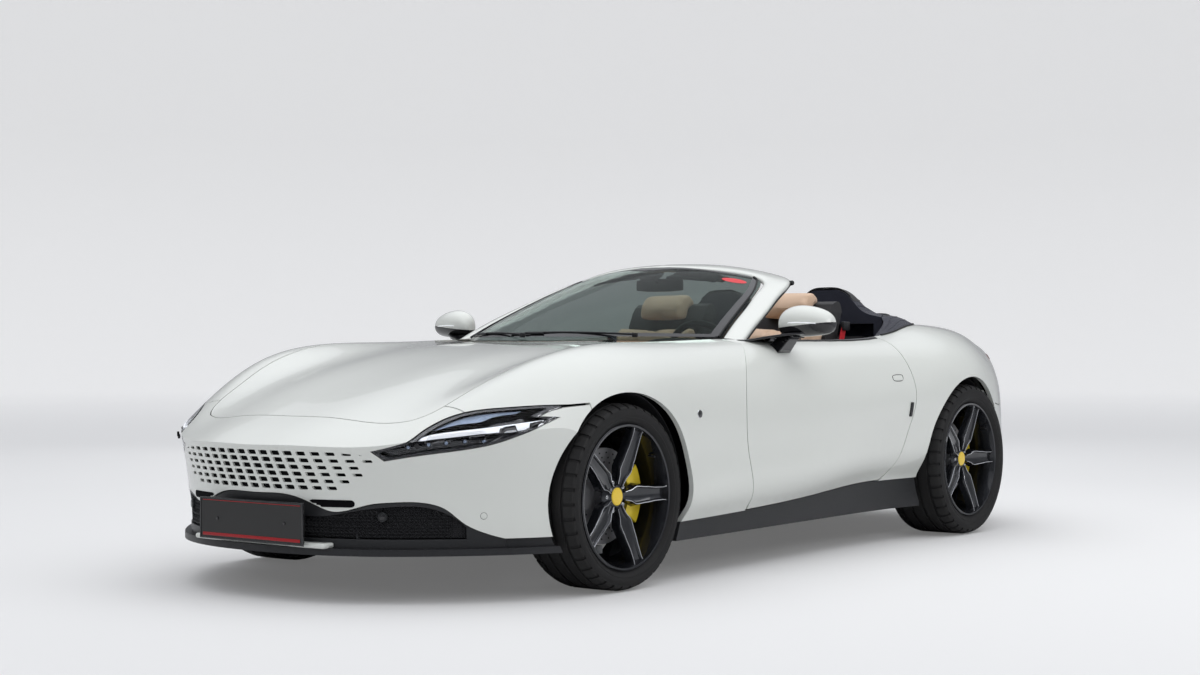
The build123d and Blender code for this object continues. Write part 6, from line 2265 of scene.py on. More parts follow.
# ---------------------------------------------------------------- cabin
@dataclass
class Dashboard:
    """The dashboard's cowl, screens, vents and stitching, and the wheel in front of it."""

    skin: Skin
    wheel_centre: Vector = field(init=False)
    axis: Vector = field(init=False)
    rim_radius: float = 0.178
    vent_z: float = 0.822
    vent_radius: float = 0.0365
    pad_front: float = -0.585
    pad_depth: float = 0.47
    pad_half: float = 0.672
    hood_y: float = -0.17
    dial_z: float = 0.832

    def __post_init__(self) -> None:
        """Read the steering wheel's place from the frame."""
        low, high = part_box("steering_wheel")
        tilt = math.radians(22)
        self.axis = Vector((0, math.cos(tilt), math.sin(tilt)))
        self.wheel_centre = Vector(((low.x + high.x) / 2, 0.004, 0.815))

    def build_pad(self) -> None:
        """Cover the dashboard's top with a stitched pad that rises into an instrument hood."""
        rows = []
        for line in range(13):
            y = self.pad_front + self.pad_depth * line / 12
            row = []
            for index in range(41):
                x = (index / 20 - 1) * self.pad_half
                base = self.skin.top(("dashboard",), x, y)
                z = base.z if base else 0.86
                hood = (math.exp(-(((x - self.wheel_centre.x) / 0.155) ** 4))
                        * math.exp(-(((y - self.hood_y) / 0.085) ** 4)))
                swell = 0.006 + 0.010 * math.exp(-((x / 0.30) ** 2)) * max(0.0, 1 - abs(line / 6 - 1))
                row.append(Vector((x, y, z + swell + 0.030 * hood)))
            rows.append(row)
        pad = slab("dash_pad", rows, (0, 0, 1), 0.012)
        finish_as(soften(pad, 0.004, 3, 50), LEATHER_BLACK)
        for line, offset in ((2, 0.0012), (10, 0.0012)):
            run = [place + Vector((0, 0, offset)) for place in rows[line][2:-2:2]]
            finish_as(tube(f"dash_stitch_{line}", run, 0.0011, False, 2), THREAD)

    def build_face(self) -> None:
        """Set the vents, the screens and the trim strip on the face towards the seats."""
        spots = {}
        for x in (-0.60, -0.30, 0.0, 0.16, SEAT_X, 0.53, 0.62):
            place = self.skin.hit(("dashboard",), (x, 0.8, 0.80), (0, -1, 0))
            spots[x] = place.y if place else -0.10
        strip_run = [Vector((x, spots[x] + 0.004, 0.772)) for x in (-0.60, -0.30, 0.0)]
        finish_as(tube("dash_trim_right", strip_run, 0.006, False, 4), MACHINED)
        for index, x in enumerate((-0.60, -0.115, 0.115, 0.60)):
            y = spots[min(spots, key=lambda key: abs(key - x))]
            body = bar(f"vent_body_{index}", (x, y - 0.012, self.vent_z), (x, y + 0.010, self.vent_z), 0.038,
                       48)
            sink(body, lambda centre, normal: normal.y > 0.9, 0.006, (0, -0.008, 0))
            finish_as(smooth(body), GLOSS_BLACK)
            slats = [block(f"vent_slat_{index}_{i}", (x - 0.030 + 0.006 * abs(i), y, 0.8205 + 0.011 * i),
                           (x + 0.030 - 0.006 * abs(i), y + 0.007, 0.8225 + 0.011 * i),
                           0.0007) for i in range(-2, 3)]
            finish_as(join(slats, f"vent_slats_{index}"), SATIN_BLACK)
            rim = circle((x, y + 0.0105, self.vent_z), self.vent_radius, 24)
            finish_as(tube(f"vent_ring_{index}", rim, 0.0022, True, 3), MACHINED)
        middle = spots[0.0]
        add_blocks(SCREEN_BLACK, ("centre_screen", (-0.070, middle - 0.002, 0.640),
                                  (0.070, middle + 0.014, 0.778), 0.006))
        corners = ((-0.066, 0.644), (0.066, 0.644), (0.066, 0.774), (-0.066, 0.774))
        edge = tube("centre_screen_edge", [(x, middle + 0.0145, z) for x, z in corners], 0.0016, True, 3)
        finish_as(edge, MACHINED)
        x, y, far = self.wheel_centre.x, spots[SEAT_X], spots[-0.30]
        add_blocks(SCREEN_BLACK,
                   ("passenger_screen", (-0.46, far - 0.002, 0.793), (-0.24, far + 0.009, 0.825), 0.003),
                   ("instrument_screen", (x - 0.135, y - 0.030, 0.782), (x + 0.135, y + 0.006, 0.884), 0.012))
        for index, (dx, radius) in enumerate(((-0.080, 0.030), (0.0, 0.042), (0.080, 0.030))):
            ring = circle((x + dx, y + 0.0065, self.dial_z), radius, 28)
            finish_as(tube(f"dial_ring_{index}", ring, 0.0015, True, 2), LAMP_SILVER)
            needle = bar(f"dial_needle_{index}", (x + dx, y + 0.007, self.dial_z),
                         (x + dx + radius * 0.55, y + 0.007, self.dial_z + radius * 0.55), 0.0011, 8)
            finish_as(needle, BELT_RED)

    def build_wheel(self) -> None:
        """Dress the steering wheel: grips, stitching, horn pad, controls, paddles and stalks."""
        body = "steering_wheel"
        right = Vector((1, 0, 0))
        up = self.axis.cross(right).normalized()
        if up.z < 0:
            up = -up
        centre = self.wheel_centre

        def ring_at(radius: float, angle: float, lift: float) -> Vector:
            """Return a place on the wheel's face."""
            return (centre + right * radius * math.cos(angle) + up * radius * math.sin(angle)
                    + self.axis * lift)

        for index, (start, end) in enumerate(((-35, 35), (145, 215))):
            run = [ring_at(self.rim_radius, math.radians(start + (end - start) * i / 12),
                           0) for i in range(13)]
            finish_as(tube(f"wheel_grip_{index}", run, 0.0168, False, 6), LEATHER_BLACK, body)
        run = [ring_at(self.rim_radius - 0.0148, math.tau * i / 60, 0.0) for i in range(60)]
        finish_as(tube("wheel_stitch", run, 0.0012, True, 2), THREAD, body)
        top = [ring_at(self.rim_radius, math.radians(84 + 12 * i / 4), 0.0) for i in range(5)]
        finish_as(tube("wheel_top_mark", top, 0.0158, False, 6), SATIN_BLACK, body)
        pad = bar("horn_pad", centre + self.axis * -0.002, centre + self.axis * 0.014, 0.050, 48)
        sink(pad, lambda place, normal: normal.dot(self.axis) > 0.95, 0.012, self.axis * 0.005)
        finish_as(soften(pad, 0.003, 3), LEATHER_BLACK, body)
        ring = [ring_at(0.030, math.tau * i / 32, 0.0165) for i in range(32)]
        finish_as(tube("horn_ring", ring, 0.0012, True, 2), MACHINED, body)
        for index, angle in enumerate((0, 180, 270)):
            a = math.radians(angle)
            inner, outer = ring_at(0.056, a, 0.004), ring_at(0.160, a, 0.001)
            finish_as(bar(f"spoke_trim_{index}", inner, outer, 0.0105, 8), GLOSS_BLACK, body)
        buttons = []
        for side in Side:
            sign = side.value
            for i in range(4):
                place = ring_at(0.085 + 0.018 * i, math.radians(90 - sign * 90), 0.0125)
                buttons.append(bar(f"wheel_button_{sign}_{i}", place, place + self.axis * 0.003, 0.0058, 16))
            paddle_in = ring_at(0.120, math.radians(90 - sign * 68), -0.040)
            paddle_out = ring_at(0.125, math.radians(90 - sign * 112), -0.040)
            blade = [paddle_in, ring_at(0.150, math.radians(90 - sign * 74), -0.044),
                     ring_at(0.153, math.radians(90 - sign * 106), -0.044), paddle_out,
                     ring_at(0.105, math.radians(90 - sign * 90), -0.038)]
            paddle = sweep(f"paddle_{side.label}", blade, tuple(self.axis * -0.004))
            finish_as(soften(paddle, 0.001), SATIN_BLACK)
        finish_as(join(buttons, "wheel_buttons"), MACHINED, body)
        start = centre + self.axis * -0.100
        for side in Side:
            sign = side.value
            end = start + right * sign * 0.120 + up * 0.030 + self.axis * 0.035
            finish_as(bar(f"stalk_{side.label}", start + right * sign * 0.03, end, 0.0075, 16), SATIN_BLACK)

    def build(self) -> None:
        """Build the dashboard's dressing."""
        self.build_pad()
        self.build_face()
        self.build_wheel()
        LOG.info("dashboard built")


@dataclass
class CabinTrim:
    """The console, carpets, pedals, sill plates and belts."""

    skin: Skin
    pedal_tilt: float = math.radians(-24)
    mats: tuple[tuple[str, float, float], ...] = (("front", 0.84, 1.36), ("rear", 1.92, 2.18))
    floor_z: float = 0.190

    def build_console(self) -> None:
        """Top the console with its gear panel, lid and switches."""
        low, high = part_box("centre_console")
        top = high.z
        lid = block("armrest_lid", (-0.098, high.y - 0.40, top - 0.002), (0.098, high.y - 0.03, top + 0.034),
                    0.016)
        finish_as(soften(lid, 0.004, 3), LEATHER_BLACK)
        run = [(x, y, top + 0.0345) for x, y in ((-0.078, high.y - 0.38), (0.078, high.y - 0.38),
                                                 (0.078, high.y - 0.05), (-0.078, high.y - 0.05))]
        finish_as(tube("armrest_stitch", run, 0.0012, True, 2), THREAD)
        add_blocks(GLOSS_BLACK, ("gear_panel", (-0.062, low.y + 0.10, top - 0.001),
                                 (0.062, high.y - 0.44, top + 0.006), 0.003))
        add_blocks(MACHINED, ("gear_gate", (-0.026, low.y + 0.26, top + 0.004),
                              (0.026, low.y + 0.37, top + 0.012), 0.003))
        slots = [block(f"gear_tab_{i}", (-0.018 + 0.014 * i, low.y + 0.29, top + 0.011),
                       (-0.008 + 0.014 * i, low.y + 0.34, top + 0.017), 0.0015) for i in range(3)]
        finish_as(join(slots, "gear_tabs"), SATIN_BLACK)
        cup = bar("cup_holder", (0.0, low.y + 0.18, top + 0.001), (0.0, low.y + 0.18, top + 0.009), 0.040, 48)
        sink(cup, lambda centre, normal: normal.z > 0.9, 0.005, (0, 0, -0.006))
        finish_as(smooth(cup), MACHINED)
        keys = [block(f"console_key_{i}", (x - 0.010, low.y + 0.41, top + 0.005),
                      (x + 0.010, low.y + 0.43, top + 0.009),
                      0.0015) for i, x in enumerate((-0.042, -0.014, 0.014, 0.042))]
        finish_as(join(keys, "console_keys"), SATIN_BLACK)

    def build_floor(self) -> None:
        """Lay the mats and carpet, and hang the pedals."""
        for side in Side:
            x = side.value
            for label, s0, s1 in self.mats:
                inner, outer = 0.150, 0.610
                y0, y1 = s0 + AXLE_Y, s1 + AXLE_Y
                floor = self.skin.top(("body_structure",), x * 0.36, (y0 + y1) / 2)
                z = floor.z if floor and floor.z < 0.45 else self.floor_z
                lows = (min(x * inner, x * outer), y0, z + 0.0006)
                highs = (max(x * inner, x * outer), y1, z + 0.009)
                mat = block(f"mat_{label}_{side.label}", lows, highs, 0.004)
                finish_as(mat, CARPET)
        x = SEAT_X
        for index, (dx, width, z, depth) in enumerate(((-0.070, 0.055, 0.33, 0.80),
                                                       (0.045, 0.050, 0.30, 0.80))):
            y = depth + AXLE_Y
            pad = block(f"pedal_{index}", (x + dx - width / 2, y - 0.006, z - 0.060),
                        (x + dx + width / 2, y + 0.006, z + 0.050), 0.004)
            turn(pad, self.pedal_tilt, "X", (x + dx, y, z))
            finish_as(pad, MACHINED)
            ribs = [block(f"pedal_rib_{index}_{i}", (x + dx - width * 0.38, y + 0.006, z - 0.046 + 0.022 * i),
                          (x + dx + width * 0.38, y + 0.009, z - 0.038 + 0.022 * i)) for i in range(4)]
            ribs = join(ribs, f"pedal_ribs_{index}")
            turn(ribs, self.pedal_tilt, "X", (x + dx, y, z))
            finish_as(ribs, SEAL_RUBBER)
            stem = bar(f"pedal_arm_{index}", (x + dx, y - 0.004, z + 0.04), (x + dx, y - 0.030, z + 0.24),
                       0.007, 12)
            finish_as(stem, SATIN_BLACK)

    def build_sills(self) -> None:
        """Lay a bright tread plate on each sill."""
        for side in Side:
            x = side.value
            rows = []
            for across in (0.735, 0.765):
                row = []
                for index in range(14):
                    y = -0.42 + 0.92 * index / 13
                    place = self.skin.top(("body_structure", "side_sills"), x * across, y)
                    row.append((place or Vector((x * across, y, 0.25))) + Vector((0, 0, 0.0012)))
                rows.append(row)
            heights = [place.z for row in rows for place in row]
            if max(heights) - min(heights) < 0.08:
                plate = slab(f"sill_plate_{side.label}", rows, (0, 0, 1), 0.0012, 1.0)
                finish_as(smooth(plate), MACHINED)
            else:
                LOG.info("no sill plate on the %s: %.3f to %.3f", side.name, min(heights), max(heights))

    def build_belts(self) -> None:
        """Hang the front belts by the seats, with red buckles at the console."""
        for side in Side:
            x = side.value
            label = side.label
            middle = x * 0.118
            add_blocks(SATIN_BLACK, (f"belt_buckle_{label}", (middle - 0.012, 0.42, 0.575),
                                     (middle + 0.012, 0.462, 0.665), 0.005))
            add_blocks(BELT_RED, (f"belt_button_{label}", (middle - 0.008, 0.428, 0.660),
                                  (middle + 0.008, 0.454, 0.669), 0.002))
            stalk = bar(f"belt_stalk_{label}", (x * 0.124, 0.445, 0.478), (x * 0.120, 0.442, 0.58), 0.008, 16)
            finish_as(stalk, SATIN_BLACK)
            run = [Vector((x * a, y, z)) for a, y, z in
                   ((0.598, 0.770, 0.975), (0.600, 0.735, 0.90), (0.604, 0.700, 0.72), (0.612, 0.660, 0.50),
                    (0.618, 0.640, 0.30))]
            places = along_run(run, 16)
            rows = [[place + Vector((0, shift_y, 0)) for place in places] for shift_y in (-0.022, 0.0, 0.022)]
            webbing = slab(f"belt_webbing_{label}", rows, (-x, 0, 0), 0.0014, 0.0)
            finish_as(smooth(webbing), BELT_RED)
            near, far = sorted((x * 0.590, x * 0.612))
            add_blocks(SATIN_BLACK, (f"belt_guide_{label}", (near, 0.745, 0.955), (far, 0.800, 0.995), 0.005))

    def build(self) -> None:
        """Build the cabin's trim."""
        self.build_console()
        self.build_floor()
        self.build_sills()
        self.build_belts()
        LOG.info("cabin trim built")


# ---------------------------------------------------------------- seats
@dataclass
class FrontSeat:
    """One front seat: swelling pads over its shell, with seams, rails, a side shield and its switches.

    Attributes:
        side: The side of the car it stands on.
        width: How wide its pads are.
    """

    side: Side
    width: float = 0.452
    spread: float = SEAT_X
    cushion_profile: tuple[Point, ...] = ((1350, 336), (1335, 400), (1370, 450), (1500, 446), (1700, 424),
                                          (1822, 418), (1834, 380), (1812, 336))
    back_profile: tuple[Point, ...] = ((1818, 428), (1794, 472), (1852, 720), (1926, 958), (1960, 982),
                                       (2010, 972),
                                       (2028, 950), (1968, 762), (1890, 487), (1858, 428))
    head_profile: tuple[Point, ...] = ((1988, 1014), (2000, 1080), (2040, 1124), (2092, 1134), (2132, 1110),
                                       (2140, 1082), (2100, 1052), (2060, 1006))
    cushion_channels: tuple[float, ...] = (-0.135, -0.045, 0.045, 0.135)
    back_channels: tuple[float, ...] = (-0.120, -0.040, 0.040, 0.120)
    seam_x: float = 0.185
    made: list[bpy.types.Object] = field(default_factory=list)

    @property
    def label(self) -> str:
        """Return the seat's side in lower case."""
        return self.side.label

    def _pad(self, name: str, profile: Sequence[Point], half: float, inset: float) -> bpy.types.Object:
        """Model one pad: its side profile drawn, swept across and rounded at its edges.

        Args:
            name: The pad's name.
            profile: Station and height pairs round the pad, in millimetres.
            half: Half of its width.
            inset: How far inside the solid it starts, to leave room for its swelling.

        Returns:
            The closed pad before it swells.
        """
        x = self.side.value * self.spread
        centre_s = sum(s for s, z in profile) / len(profile)
        centre_z = sum(z for s, z in profile) / len(profile)
        points = []
        for s, z in profile:
            run = Vector((s - centre_s, z - centre_z))
            run = run * max(0.2, 1 - inset / max(run.length, 1.0))
            place = at(0, centre_s + run.x, centre_z + run.y)
            points.append((x - half + 0.004, place.y, place.z))
        pad = sweep(name, points, (2 * half - 0.008, 0, 0))
        return soften(pad, 0.014, 3, 40)

    def _swell(self, pad: bpy.types.Object, pressure: float, cap: float) -> bpy.types.Object:
        """Blow a pad up like stuffed hide, with how far a point may move capped.

        Args:
            pad: The closed pad.
            pressure: The stuffing's pressure.
            cap: The farthest that a point may move.

        Returns:
            The swollen pad.
        """
        modify(pad, "REMESH", mode="VOXEL", voxel_size=0.006)
        use(pad)
        rest = [vertex.co.copy() for vertex in pad.data.vertices]
        cloth = pad.modifiers.new("stuffing", "CLOTH")
        cloth.settings.quality = 5
        cloth.settings.mass = 0.25
        cloth.settings.tension_stiffness = 14.0
        cloth.settings.compression_stiffness = 14.0
        cloth.settings.bending_stiffness = 1.2
        cloth.settings.use_pressure = True
        cloth.settings.uniform_pressure_force = pressure
        cloth.settings.effector_weights.gravity = 0.0
        scene = bpy.context.scene
        for frame in range(1, 21):
            scene.frame_set(frame)
        bpy.ops.object.modifier_apply(modifier=cloth.name)
        scene.frame_set(1)
        for vertex, start in zip(pad.data.vertices, rest):
            step = vertex.co - start
            if step.length > cap:
                vertex.co = start + step.normalized() * cap
        use(pad)
        modify(pad, "SMOOTH", factor=0.5, iterations=4)
        return smooth(pad, 80)

    def _channels(self, pad: bpy.types.Object, lines: Sequence[tuple[Point, Point]], depth: float,
                  reach: float) -> None:
        """Press sewn channels into a pad along straight lines.

        Args:
            pad: The swollen pad.
            lines: Pairs of places, each a channel's ends on the pad's face.
            depth: How deep a channel is.
            reach: How wide the pull of its seam is.
        """
        for vertex in pad.data.vertices:
            pull = 0.0
            for start, end in lines:
                a, b = Vector(start), Vector(end)
                share = max(0.0, min(1.0, (vertex.co - a).dot(b - a) / (b - a).length_squared))
                away = (vertex.co - (a + (b - a) * share)).length
                pull = max(pull, math.exp(-((away / reach) ** 2)))
            if pull > 0.02:
                vertex.co -= vertex.normal * depth * pull

    def _stitch(self, name: str, pad: bpy.types.Object, start: Point, end: Point,
                lift: float = 0.0006) -> None:
        """Sew a raised thread along a pad's face between two places.

        Args:
            name: The thread's name.
            pad: The pad.
            start: One end.
            end: The other end.
            lift: How far the thread's middle stands off the pad.
        """
        run = []
        for index in range(13):
            place = Vector(start).lerp(Vector(end), index / 12)
            run.append(onto(pad, place, -lift))
        finish_as(tube(name, run, 0.0011, False, 2), THREAD)

    def build(self) -> None:
        """Build the seat's cushion, back, headrest and trim."""
        x = self.side.value * self.spread
        half = self.width / 2
        cushion = self._pad(f"seat_cushion_{self.label}", self.cushion_profile, half - 0.006, 7)
        cushion = self._swell(cushion, 4.0, 0.022)
        face = [at(x / MM, s, z) for s, z in ((1370, 456), (1810, 428))]
        lines = [((x + across, face[0].y, face[0].z), (x + across, face[1].y, face[1].z))
                 for across in self.cushion_channels]
        self._channels(cushion, lines, 0.008, 0.011)
        rest = self._pad(f"seat_back_{self.label}", self.back_profile, half - 0.006, 6)
        rest = self._swell(rest, 4.0, 0.022)
        spine = [at(x / MM, s, z) for s, z in ((1786, 480), (1846, 720), (1918, 950))]
        ribs = []
        for across in self.back_channels:
            for a, b in zip(spine, spine[1:]):
                ribs.append(((x + across, a.y, a.z), (x + across, b.y, b.z)))
        self._channels(rest, ribs, 0.008, 0.011)
        head = self._pad(f"headrest_{self.label}", self.head_profile, 0.122, 5)
        head = self._swell(head, 4.0, 0.018)
        for pad in (cushion, rest, head):
            finish_as(pad, LEATHER_TAN)
            self.made.append(pad)
        for index, across in enumerate((-self.seam_x, self.seam_x)):
            self._stitch(f"cushion_seam_{self.label}_{index}", cushion,
                         (x + across, face[0].y, face[0].z + 0.02),
                         (x + across, face[1].y, face[1].z + 0.02))
            for part, (a, b) in enumerate(zip(spine, spine[1:])):
                self._stitch(f"back_seam_{self.label}_{index}_{part}", rest, (x + across, a.y - 0.02, a.z),
                             (x + across, b.y - 0.02, b.z))
        self._stitch(f"head_seam_{self.label}", head, at(x / MM - 100, 1985, 1060),
                     at(x / MM + 100, 1985, 1060))
        self.build_hardware(x, half)

    def build_hardware(self, x: float, half: float) -> None:
        """Add the rails, the side shield and its switches.

        Args:
            x: The seat's middle.
            half: Half of its width.
        """
        rails = []
        for sign in (-1, 1):
            rails.append(block(f"seat_rail_{self.label}_{sign}", (x + sign * 0.165 - 0.012, 0.02, 0.1905),
                               (x + sign * 0.165 + 0.012, 0.47, 0.215), 0.003))
        finish_as(join(rails, f"seat_rails_{self.label}"), CAST_ALLOY)
        outer = self.side.value
        plane = x + outer * (half - 0.040)
        outline = [(plane, y, z) for y, z in ((0.03, 0.215), (0.46, 0.215), (0.44, 0.305), (0.10, 0.318),
                                              (0.02, 0.290))]
        shield = sweep(f"seat_shield_{self.label}", outline, (outer * 0.014, 0, 0))
        finish_as(rounded(shield, 0.004, 3), SATIN_BLACK)
        knobs = [block(f"seat_switch_{self.label}_{i}", (x + outer * (half - 0.028) - 0.004,
                                                         0.14 + 0.055 * i, 0.262),
                       (x + outer * (half - 0.028) + 0.008, 0.175 + 0.055 * i, 0.275),
                       0.003) for i in range(3)]
        finish_as(join(knobs, f"seat_switches_{self.label}"), GLOSS_BLACK)


@dataclass
class RearSeat:
    """One rear seat's pads over its bench block."""

    side: Side
    offset: float = 0.300
    half: float = 0.178

    def build(self) -> None:
        """Build the cushion and the backrest with their seams."""
        label = self.side.label
        x = self.side.value * self.offset
        cushion = block(f"rear_cushion_{label}", (x - self.half, 0.850, 0.50), (x + self.half, 1.070, 0.556))
        rest = block(f"rear_back_{label}", (x - self.half, 1.066, 0.57), (x + self.half, 1.098, 0.900))
        for pad in (cushion, rest):
            with editing(pad):
                bpy.ops.mesh.subdivide(number_cuts=9)
            low = Vector(tuple(min(v.co[i] for v in pad.data.vertices) for i in range(3)))
            high = Vector(tuple(max(v.co[i] for v in pad.data.vertices) for i in range(3)))
            middle, size = (low + high) / 2, (high - low) / 2
            for vertex in pad.data.vertices:
                u, v, w = ((vertex.co[i] - middle[i]) / size[i] for i in range(3))
                crown = (1 - u ** 4) * (1 - (v if pad is cushion else w) ** 4)
                channel = 0.35 * math.exp(-((abs(u) - 0.36) / 0.07) ** 2)
                if pad is cushion and w > 0.5:
                    vertex.co.z += 0.020 * crown - 0.010 * channel
                elif pad is rest:
                    vertex.co.y += 0.050 * (w + 1) / 2
                    if v < -0.5:
                        vertex.co.y -= 0.018 * crown - 0.010 * channel
            finish_as(soften(pad, 0.012, 4, 50), LEATHER_BLACK)
        LOG.info("rear seat %s built", label)


# ---------------------------------------------------------------- rear deck
@dataclass
class Deck:
    """The roof cover's seams and humps, the cloth round it, the fuel flap and the cabin's rear lining."""

    skin: Skin
    fuel_flap: tuple[float, float] = (2.86, 0.800)
    hump_x: float = 300
    hump_half: float = 150
    hump_start: float = 2482
    hump_depth: float = 92

    def build_humps(self) -> None:
        """Lay a padded black fairing over the front of each hump."""
        for side in Side:
            x = side.value
            rows = []
            for line in range(9):
                s = self.hump_start + self.hump_depth * line / 8
                row = []
                for index in range(17):
                    across = self.hump_x + self.hump_half * (index / 8 - 1)
                    place = self.skin.top(("tonneau_cover",), x * across * MM, s * MM + AXLE_Y)
                    z = place.z if place else 1.05
                    fade = (1 - abs(index / 8 - 1) ** 6) * (1 - (line / 8) ** 6)
                    row.append(Vector((x * across * MM, s * MM + AXLE_Y, z + 0.0015 + 0.007 * fade)))
                rows.append(row)
            hump = patch(f"fairing_{side.label}", rows, (0, 0, 1))
            modify(hump, "SUBSURF", levels=1, render_levels=1)
            modify(hump, "SOLIDIFY", thickness=0.004, offset=-1.0)
            finish_as(smooth(hump, 60), LEATHER_BLACK)
            for line in (0, 8):
                run = [place + Vector((0, 0, 0.0026)) for place in rows[line][1:-1:2]]
                finish_as(tube(f"fairing_piping_{side.label}_{line}", run, 0.0026, False, 3), SATIN_BLACK)

    def build_seams(self) -> None:
        """Sew the cover's long seams and its hem."""
        for index, across in enumerate((-470, -130, 130, 470)):
            run = []
            for step in range(12):
                s = 2490 + 205 * step / 11
                place = self.skin.top(("tonneau_cover",), across * MM, s * MM + AXLE_Y)
                if place:
                    run.append(place + Vector((0, 0, 0.0010)))
            if len(run) > 4:
                finish_as(tube(f"cover_seam_{index}", run, 0.0020, False, 2), COVER_CLOTH)
        outline = [(604, 2478), (596, 2560), (560, 2650), (470, 2704), (300, 2722), (0, 2730)]
        ring = [(x, s) for x, s in outline] + [(-x, s) for x, s in reversed(outline[:-1])]
        run = []
        for place in along_run([at(x * 0.985, s - 8, 0) for x, s in ring], 40):
            spot = self.skin.top(("tonneau_cover",), place.x, place.y)
            if spot:
                run.append(spot + Vector((0, 0, 0.0020)))
        finish_as(tube("cover_hem", run, 0.0050, False, 4), LEATHER_BLACK)

    def _body_edge(self, s: float) -> Vector:
        """Return the painted quarter's inner edge beside the cabin at a station.

        Args:
            s: The station, in millimetres behind the front axle.

        Returns:
            The place.
        """
        best = at(742, s, 905)
        for step in range(40):
            x = 0.820 - 0.004 * step
            place = self.skin.top(("rear_quarters",), x, s * MM + AXLE_Y)
            if place is None or place.z < 0.86:
                break
            best = place
        return best

    def build_flaps(self) -> None:
        """Drape the cloth between the cover's edge and the painted body, from the doors round the back."""
        inner = [(722, 2146, 903), (704, 2230, 930), (682, 2320, 962), (650, 2410, 994), (600, 2486, 1022),
                 (588, 2560, 1026), (566, 2622, 1030), (548, 2652, 1032), (520, 2674, 1034),
                 (486, 2692, 1036),
                 (420, 2704, 1038), (300, 2716, 1038), (0, 2722, 1038)]
        outer = [self._body_edge(s) for s in (2146, 2220, 2300, 2392, 2476, 2550, 2612, 2656)]
        for x, s in ((640, 2712), (560, 2742), (440, 2760), (300, 2770), (0, 2776)):
            outer.append(self.skin.top(("rear_quarters",), x * MM, s * MM + AXLE_Y) or at(x, s, 985))
        outer = [place + Vector((0.003 if place.x > 0.1 else 0, 0, 0.0015)) for place in outer]
        rows = []
        for line in range(7):
            share = line / 6
            lift = Vector((0, 0, 0.008 * math.sin(math.pi * share)))
            half = [at(*a).lerp(b, share) + lift for a, b in zip(inner, outer)]
            row = along_run(half, 49)
            rows.append(row + [Vector((-place.x, place.y, place.z)) for place in reversed(row[:-1])])
        flap = slab("cover_flaps", rows, (0, 0, 1), 0.003)
        finish_as(smooth(flap, 50), COVER_CLOTH)
        finish_as(tube("deck_seal", [place + Vector((0, 0, 0.001)) for place in rows[-1]], 0.0042, False, 4),
                  SEAL_RUBBER)
        for line in (2, 4):
            seam = [place + Vector((0, 0, 0.0006)) for place in rows[line][6:-6]]
            finish_as(tube(f"flap_seam_{line}", seam, 0.0014, False, 2), COVER_CLOTH)

    def build_fuel_flap(self) -> None:
        """Outline the fuel flap on the right rear quarter."""
        s, z = self.fuel_flap
        points = []
        for index in range(28):
            a = math.tau * index / 28
            ca, sa = math.cos(a), math.sin(a)
            dy = 0.080 * math.copysign(abs(ca) ** 0.6, ca)
            dz = 0.062 * math.copysign(abs(sa) ** 0.6, sa)
            place = self.skin.side(("rear_quarters",), s + AXLE_Y + dy, z + dz, Side.RIGHT)
            if place:
                points.append(place + Vector((-0.0001, 0, 0)))
        if len(points) > 20:
            finish_as(tube("fuel_flap_seam", points, 0.0012, True, 2), SEAL_RUBBER)

    def build_lining(self) -> None:
        """Line the cabin's rear corners."""
        wall = []
        for side in Side:
            x = side.value
            wall.append(block(f"rear_lining_{side.label}", (min(x * 0.500, x * 0.560), 0.86, 0.45),
                              (max(x * 0.500, x * 0.560), 1.09, 0.90), 0.012))
        finish_as(join(wall, "rear_linings"), LEATHER_BLACK)

    def build(self) -> None:
        """Build the deck's dressing."""
        self.build_humps()
        self.build_seams()
        self.build_flaps()
        self.build_fuel_flap()
        self.build_lining()
        LOG.info("deck built")


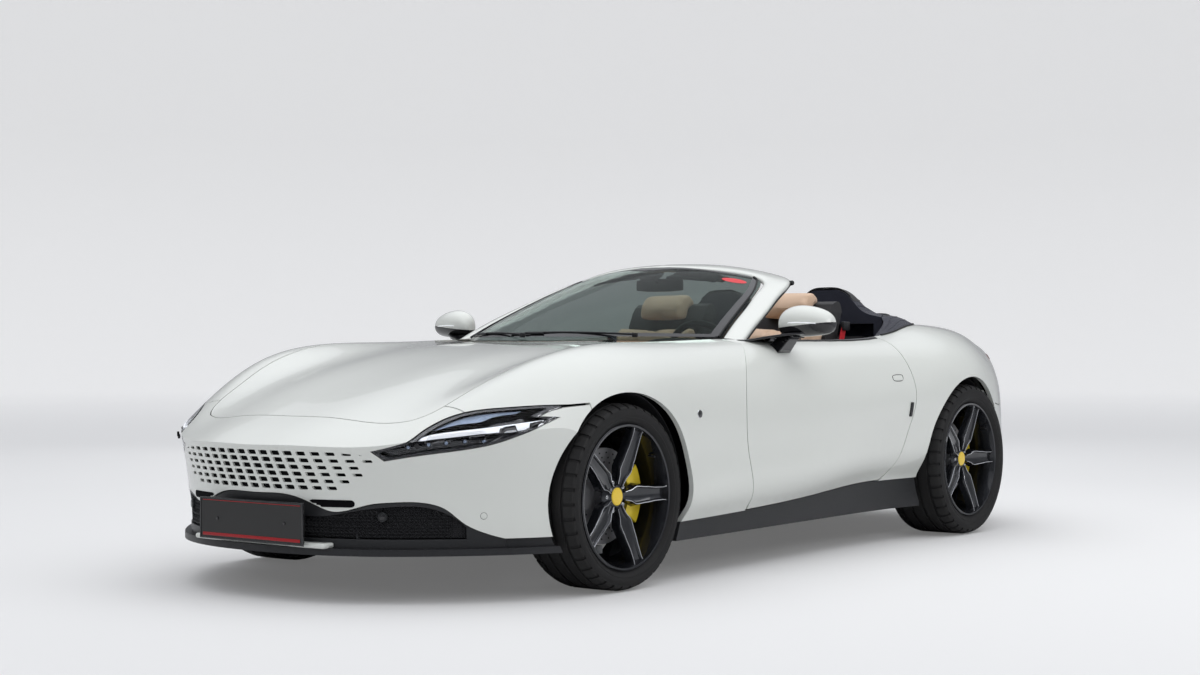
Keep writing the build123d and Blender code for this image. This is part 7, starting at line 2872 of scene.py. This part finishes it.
# ---------------------------------------------------------------- the frame's own nodes
CAD_FINISHES = {
    PEARL: ("bonnet", "boot_lid", "door_left", "door_right", "mirror_left", "mirror_right", "front_bumper",
            "front_wings", "rear_quarters", "rear_bumper", "grille", "windscreen_frame"),
    SATIN_BLACK: ("front_splitter", "side_sills", "rear_diffuser", "cowl_panel", "plate_bracket"),
    UNDERBODY: ("body_structure", "floor_pan", "centre_tunnel", "front_frame", "rear_frame", "rear_bulkhead",
                "door_hinge_posts", "arch_liners"), MESH_BLACK: ("intake_mesh",),
    GLOSS_BLACK: ("headlamps",), CLEAR_LENS: ("headlamp_lenses",),
    LAMP_RED: ("tail_lamps",), PLATE_BLACK: ("number_plate",),
    TINTED_GLASS: ("windscreen_glass",), COVER_CLOTH: ("tonneau_cover",),
    LEATHER_BLACK: ("dashboard", "centre_console", "front_seats", "rear_seats", "steering_wheel"),
    LEATHER_TAN: ("front_seat_pads",), POLISHED: ("exhaust_tips",),
    CAST_ALLOY: ("rear_axle", "front_arms", "engine", "knuckle_left", "knuckle_right"),
    CALIPER: ("caliper_front_left", "caliper_front_right", "caliper_rear_left", "caliper_rear_right"),
    RUBBER: tuple(f"{end}_{side}_tyre" for end in ("front", "rear") for side in ("left", "right")),
    RIM_DARK: tuple(f"{end}_{side}_rim" for end in ("front", "rear") for side in ("left", "right")),
    DISC_STEEL: tuple(f"{end}_{side}_disc" for end in ("front", "rear") for side in ("left", "right")), }


def dress_nodes(nodes: dict[str, bpy.types.Object]) -> None:
    """Give each node of the frame its finish.

    Args:
        nodes: The frame's nodes by name.
    """
    finish_of = {name: finish for finish, names in CAD_FINISHES.items() for name in names}
    for name, obj in nodes.items():
        finish = finish_of.get(name, SATIN_BLACK)
        if name not in finish_of:
            LOG.warning("node %s has no finish of its own", name)
        obj.data.materials.clear()
        obj.data.materials.append(finish.make())
        for face in obj.data.polygons:
            face.material_index = 0


def write_sizes(solids: Sequence[Vector]) -> None:
    """Write the size of the solids and of the dressed car.

    Args:
        solids: The lowest and highest corner before anything was added.
    """
    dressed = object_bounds()
    for before, after in zip(solids, dressed):
        LOG.info("solids %s dressed %s", [round(v, 4) for v in before], [round(v, 4) for v in after])


def main() -> None:
    """Build the studio and the car."""
    logging.basicConfig(level=logging.INFO, format="%(relativeCreated)6d %(name)s: %(message)s")
    bpy.ops.wm.read_factory_settings(use_empty=True)
    bpy.context.preferences.edit.use_global_undo = False
    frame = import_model()
    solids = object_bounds()
    studio = Studio()
    studio.add_camera()
    studio.build()
    nodes = frame["nodes"]
    dress_nodes(nodes)
    for name, side in WHEELS:
        body = f"wheel_{name}"
        Wheel(name, side, body).build()
        Brake(name, side, body).build()
    skin = Skin(nodes)
    Nose(skin).build()
    Headlamp(nodes).build()
    Tail(nodes, skin).build()
    for side in Side:
        DoorTrim(skin, side).build()
        MirrorTrim(nodes, side).build()
    Windscreen(nodes).build()
    Dashboard(skin).build()
    CabinTrim(skin).build()
    for side in Side:
        seat = FrontSeat(side)
        seat.build()
        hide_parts("front_seat_pads")
        RearSeat(side).build()
    Deck(skin).build()
    write_sizes(solids)


if __name__ == "__main__":
    main()
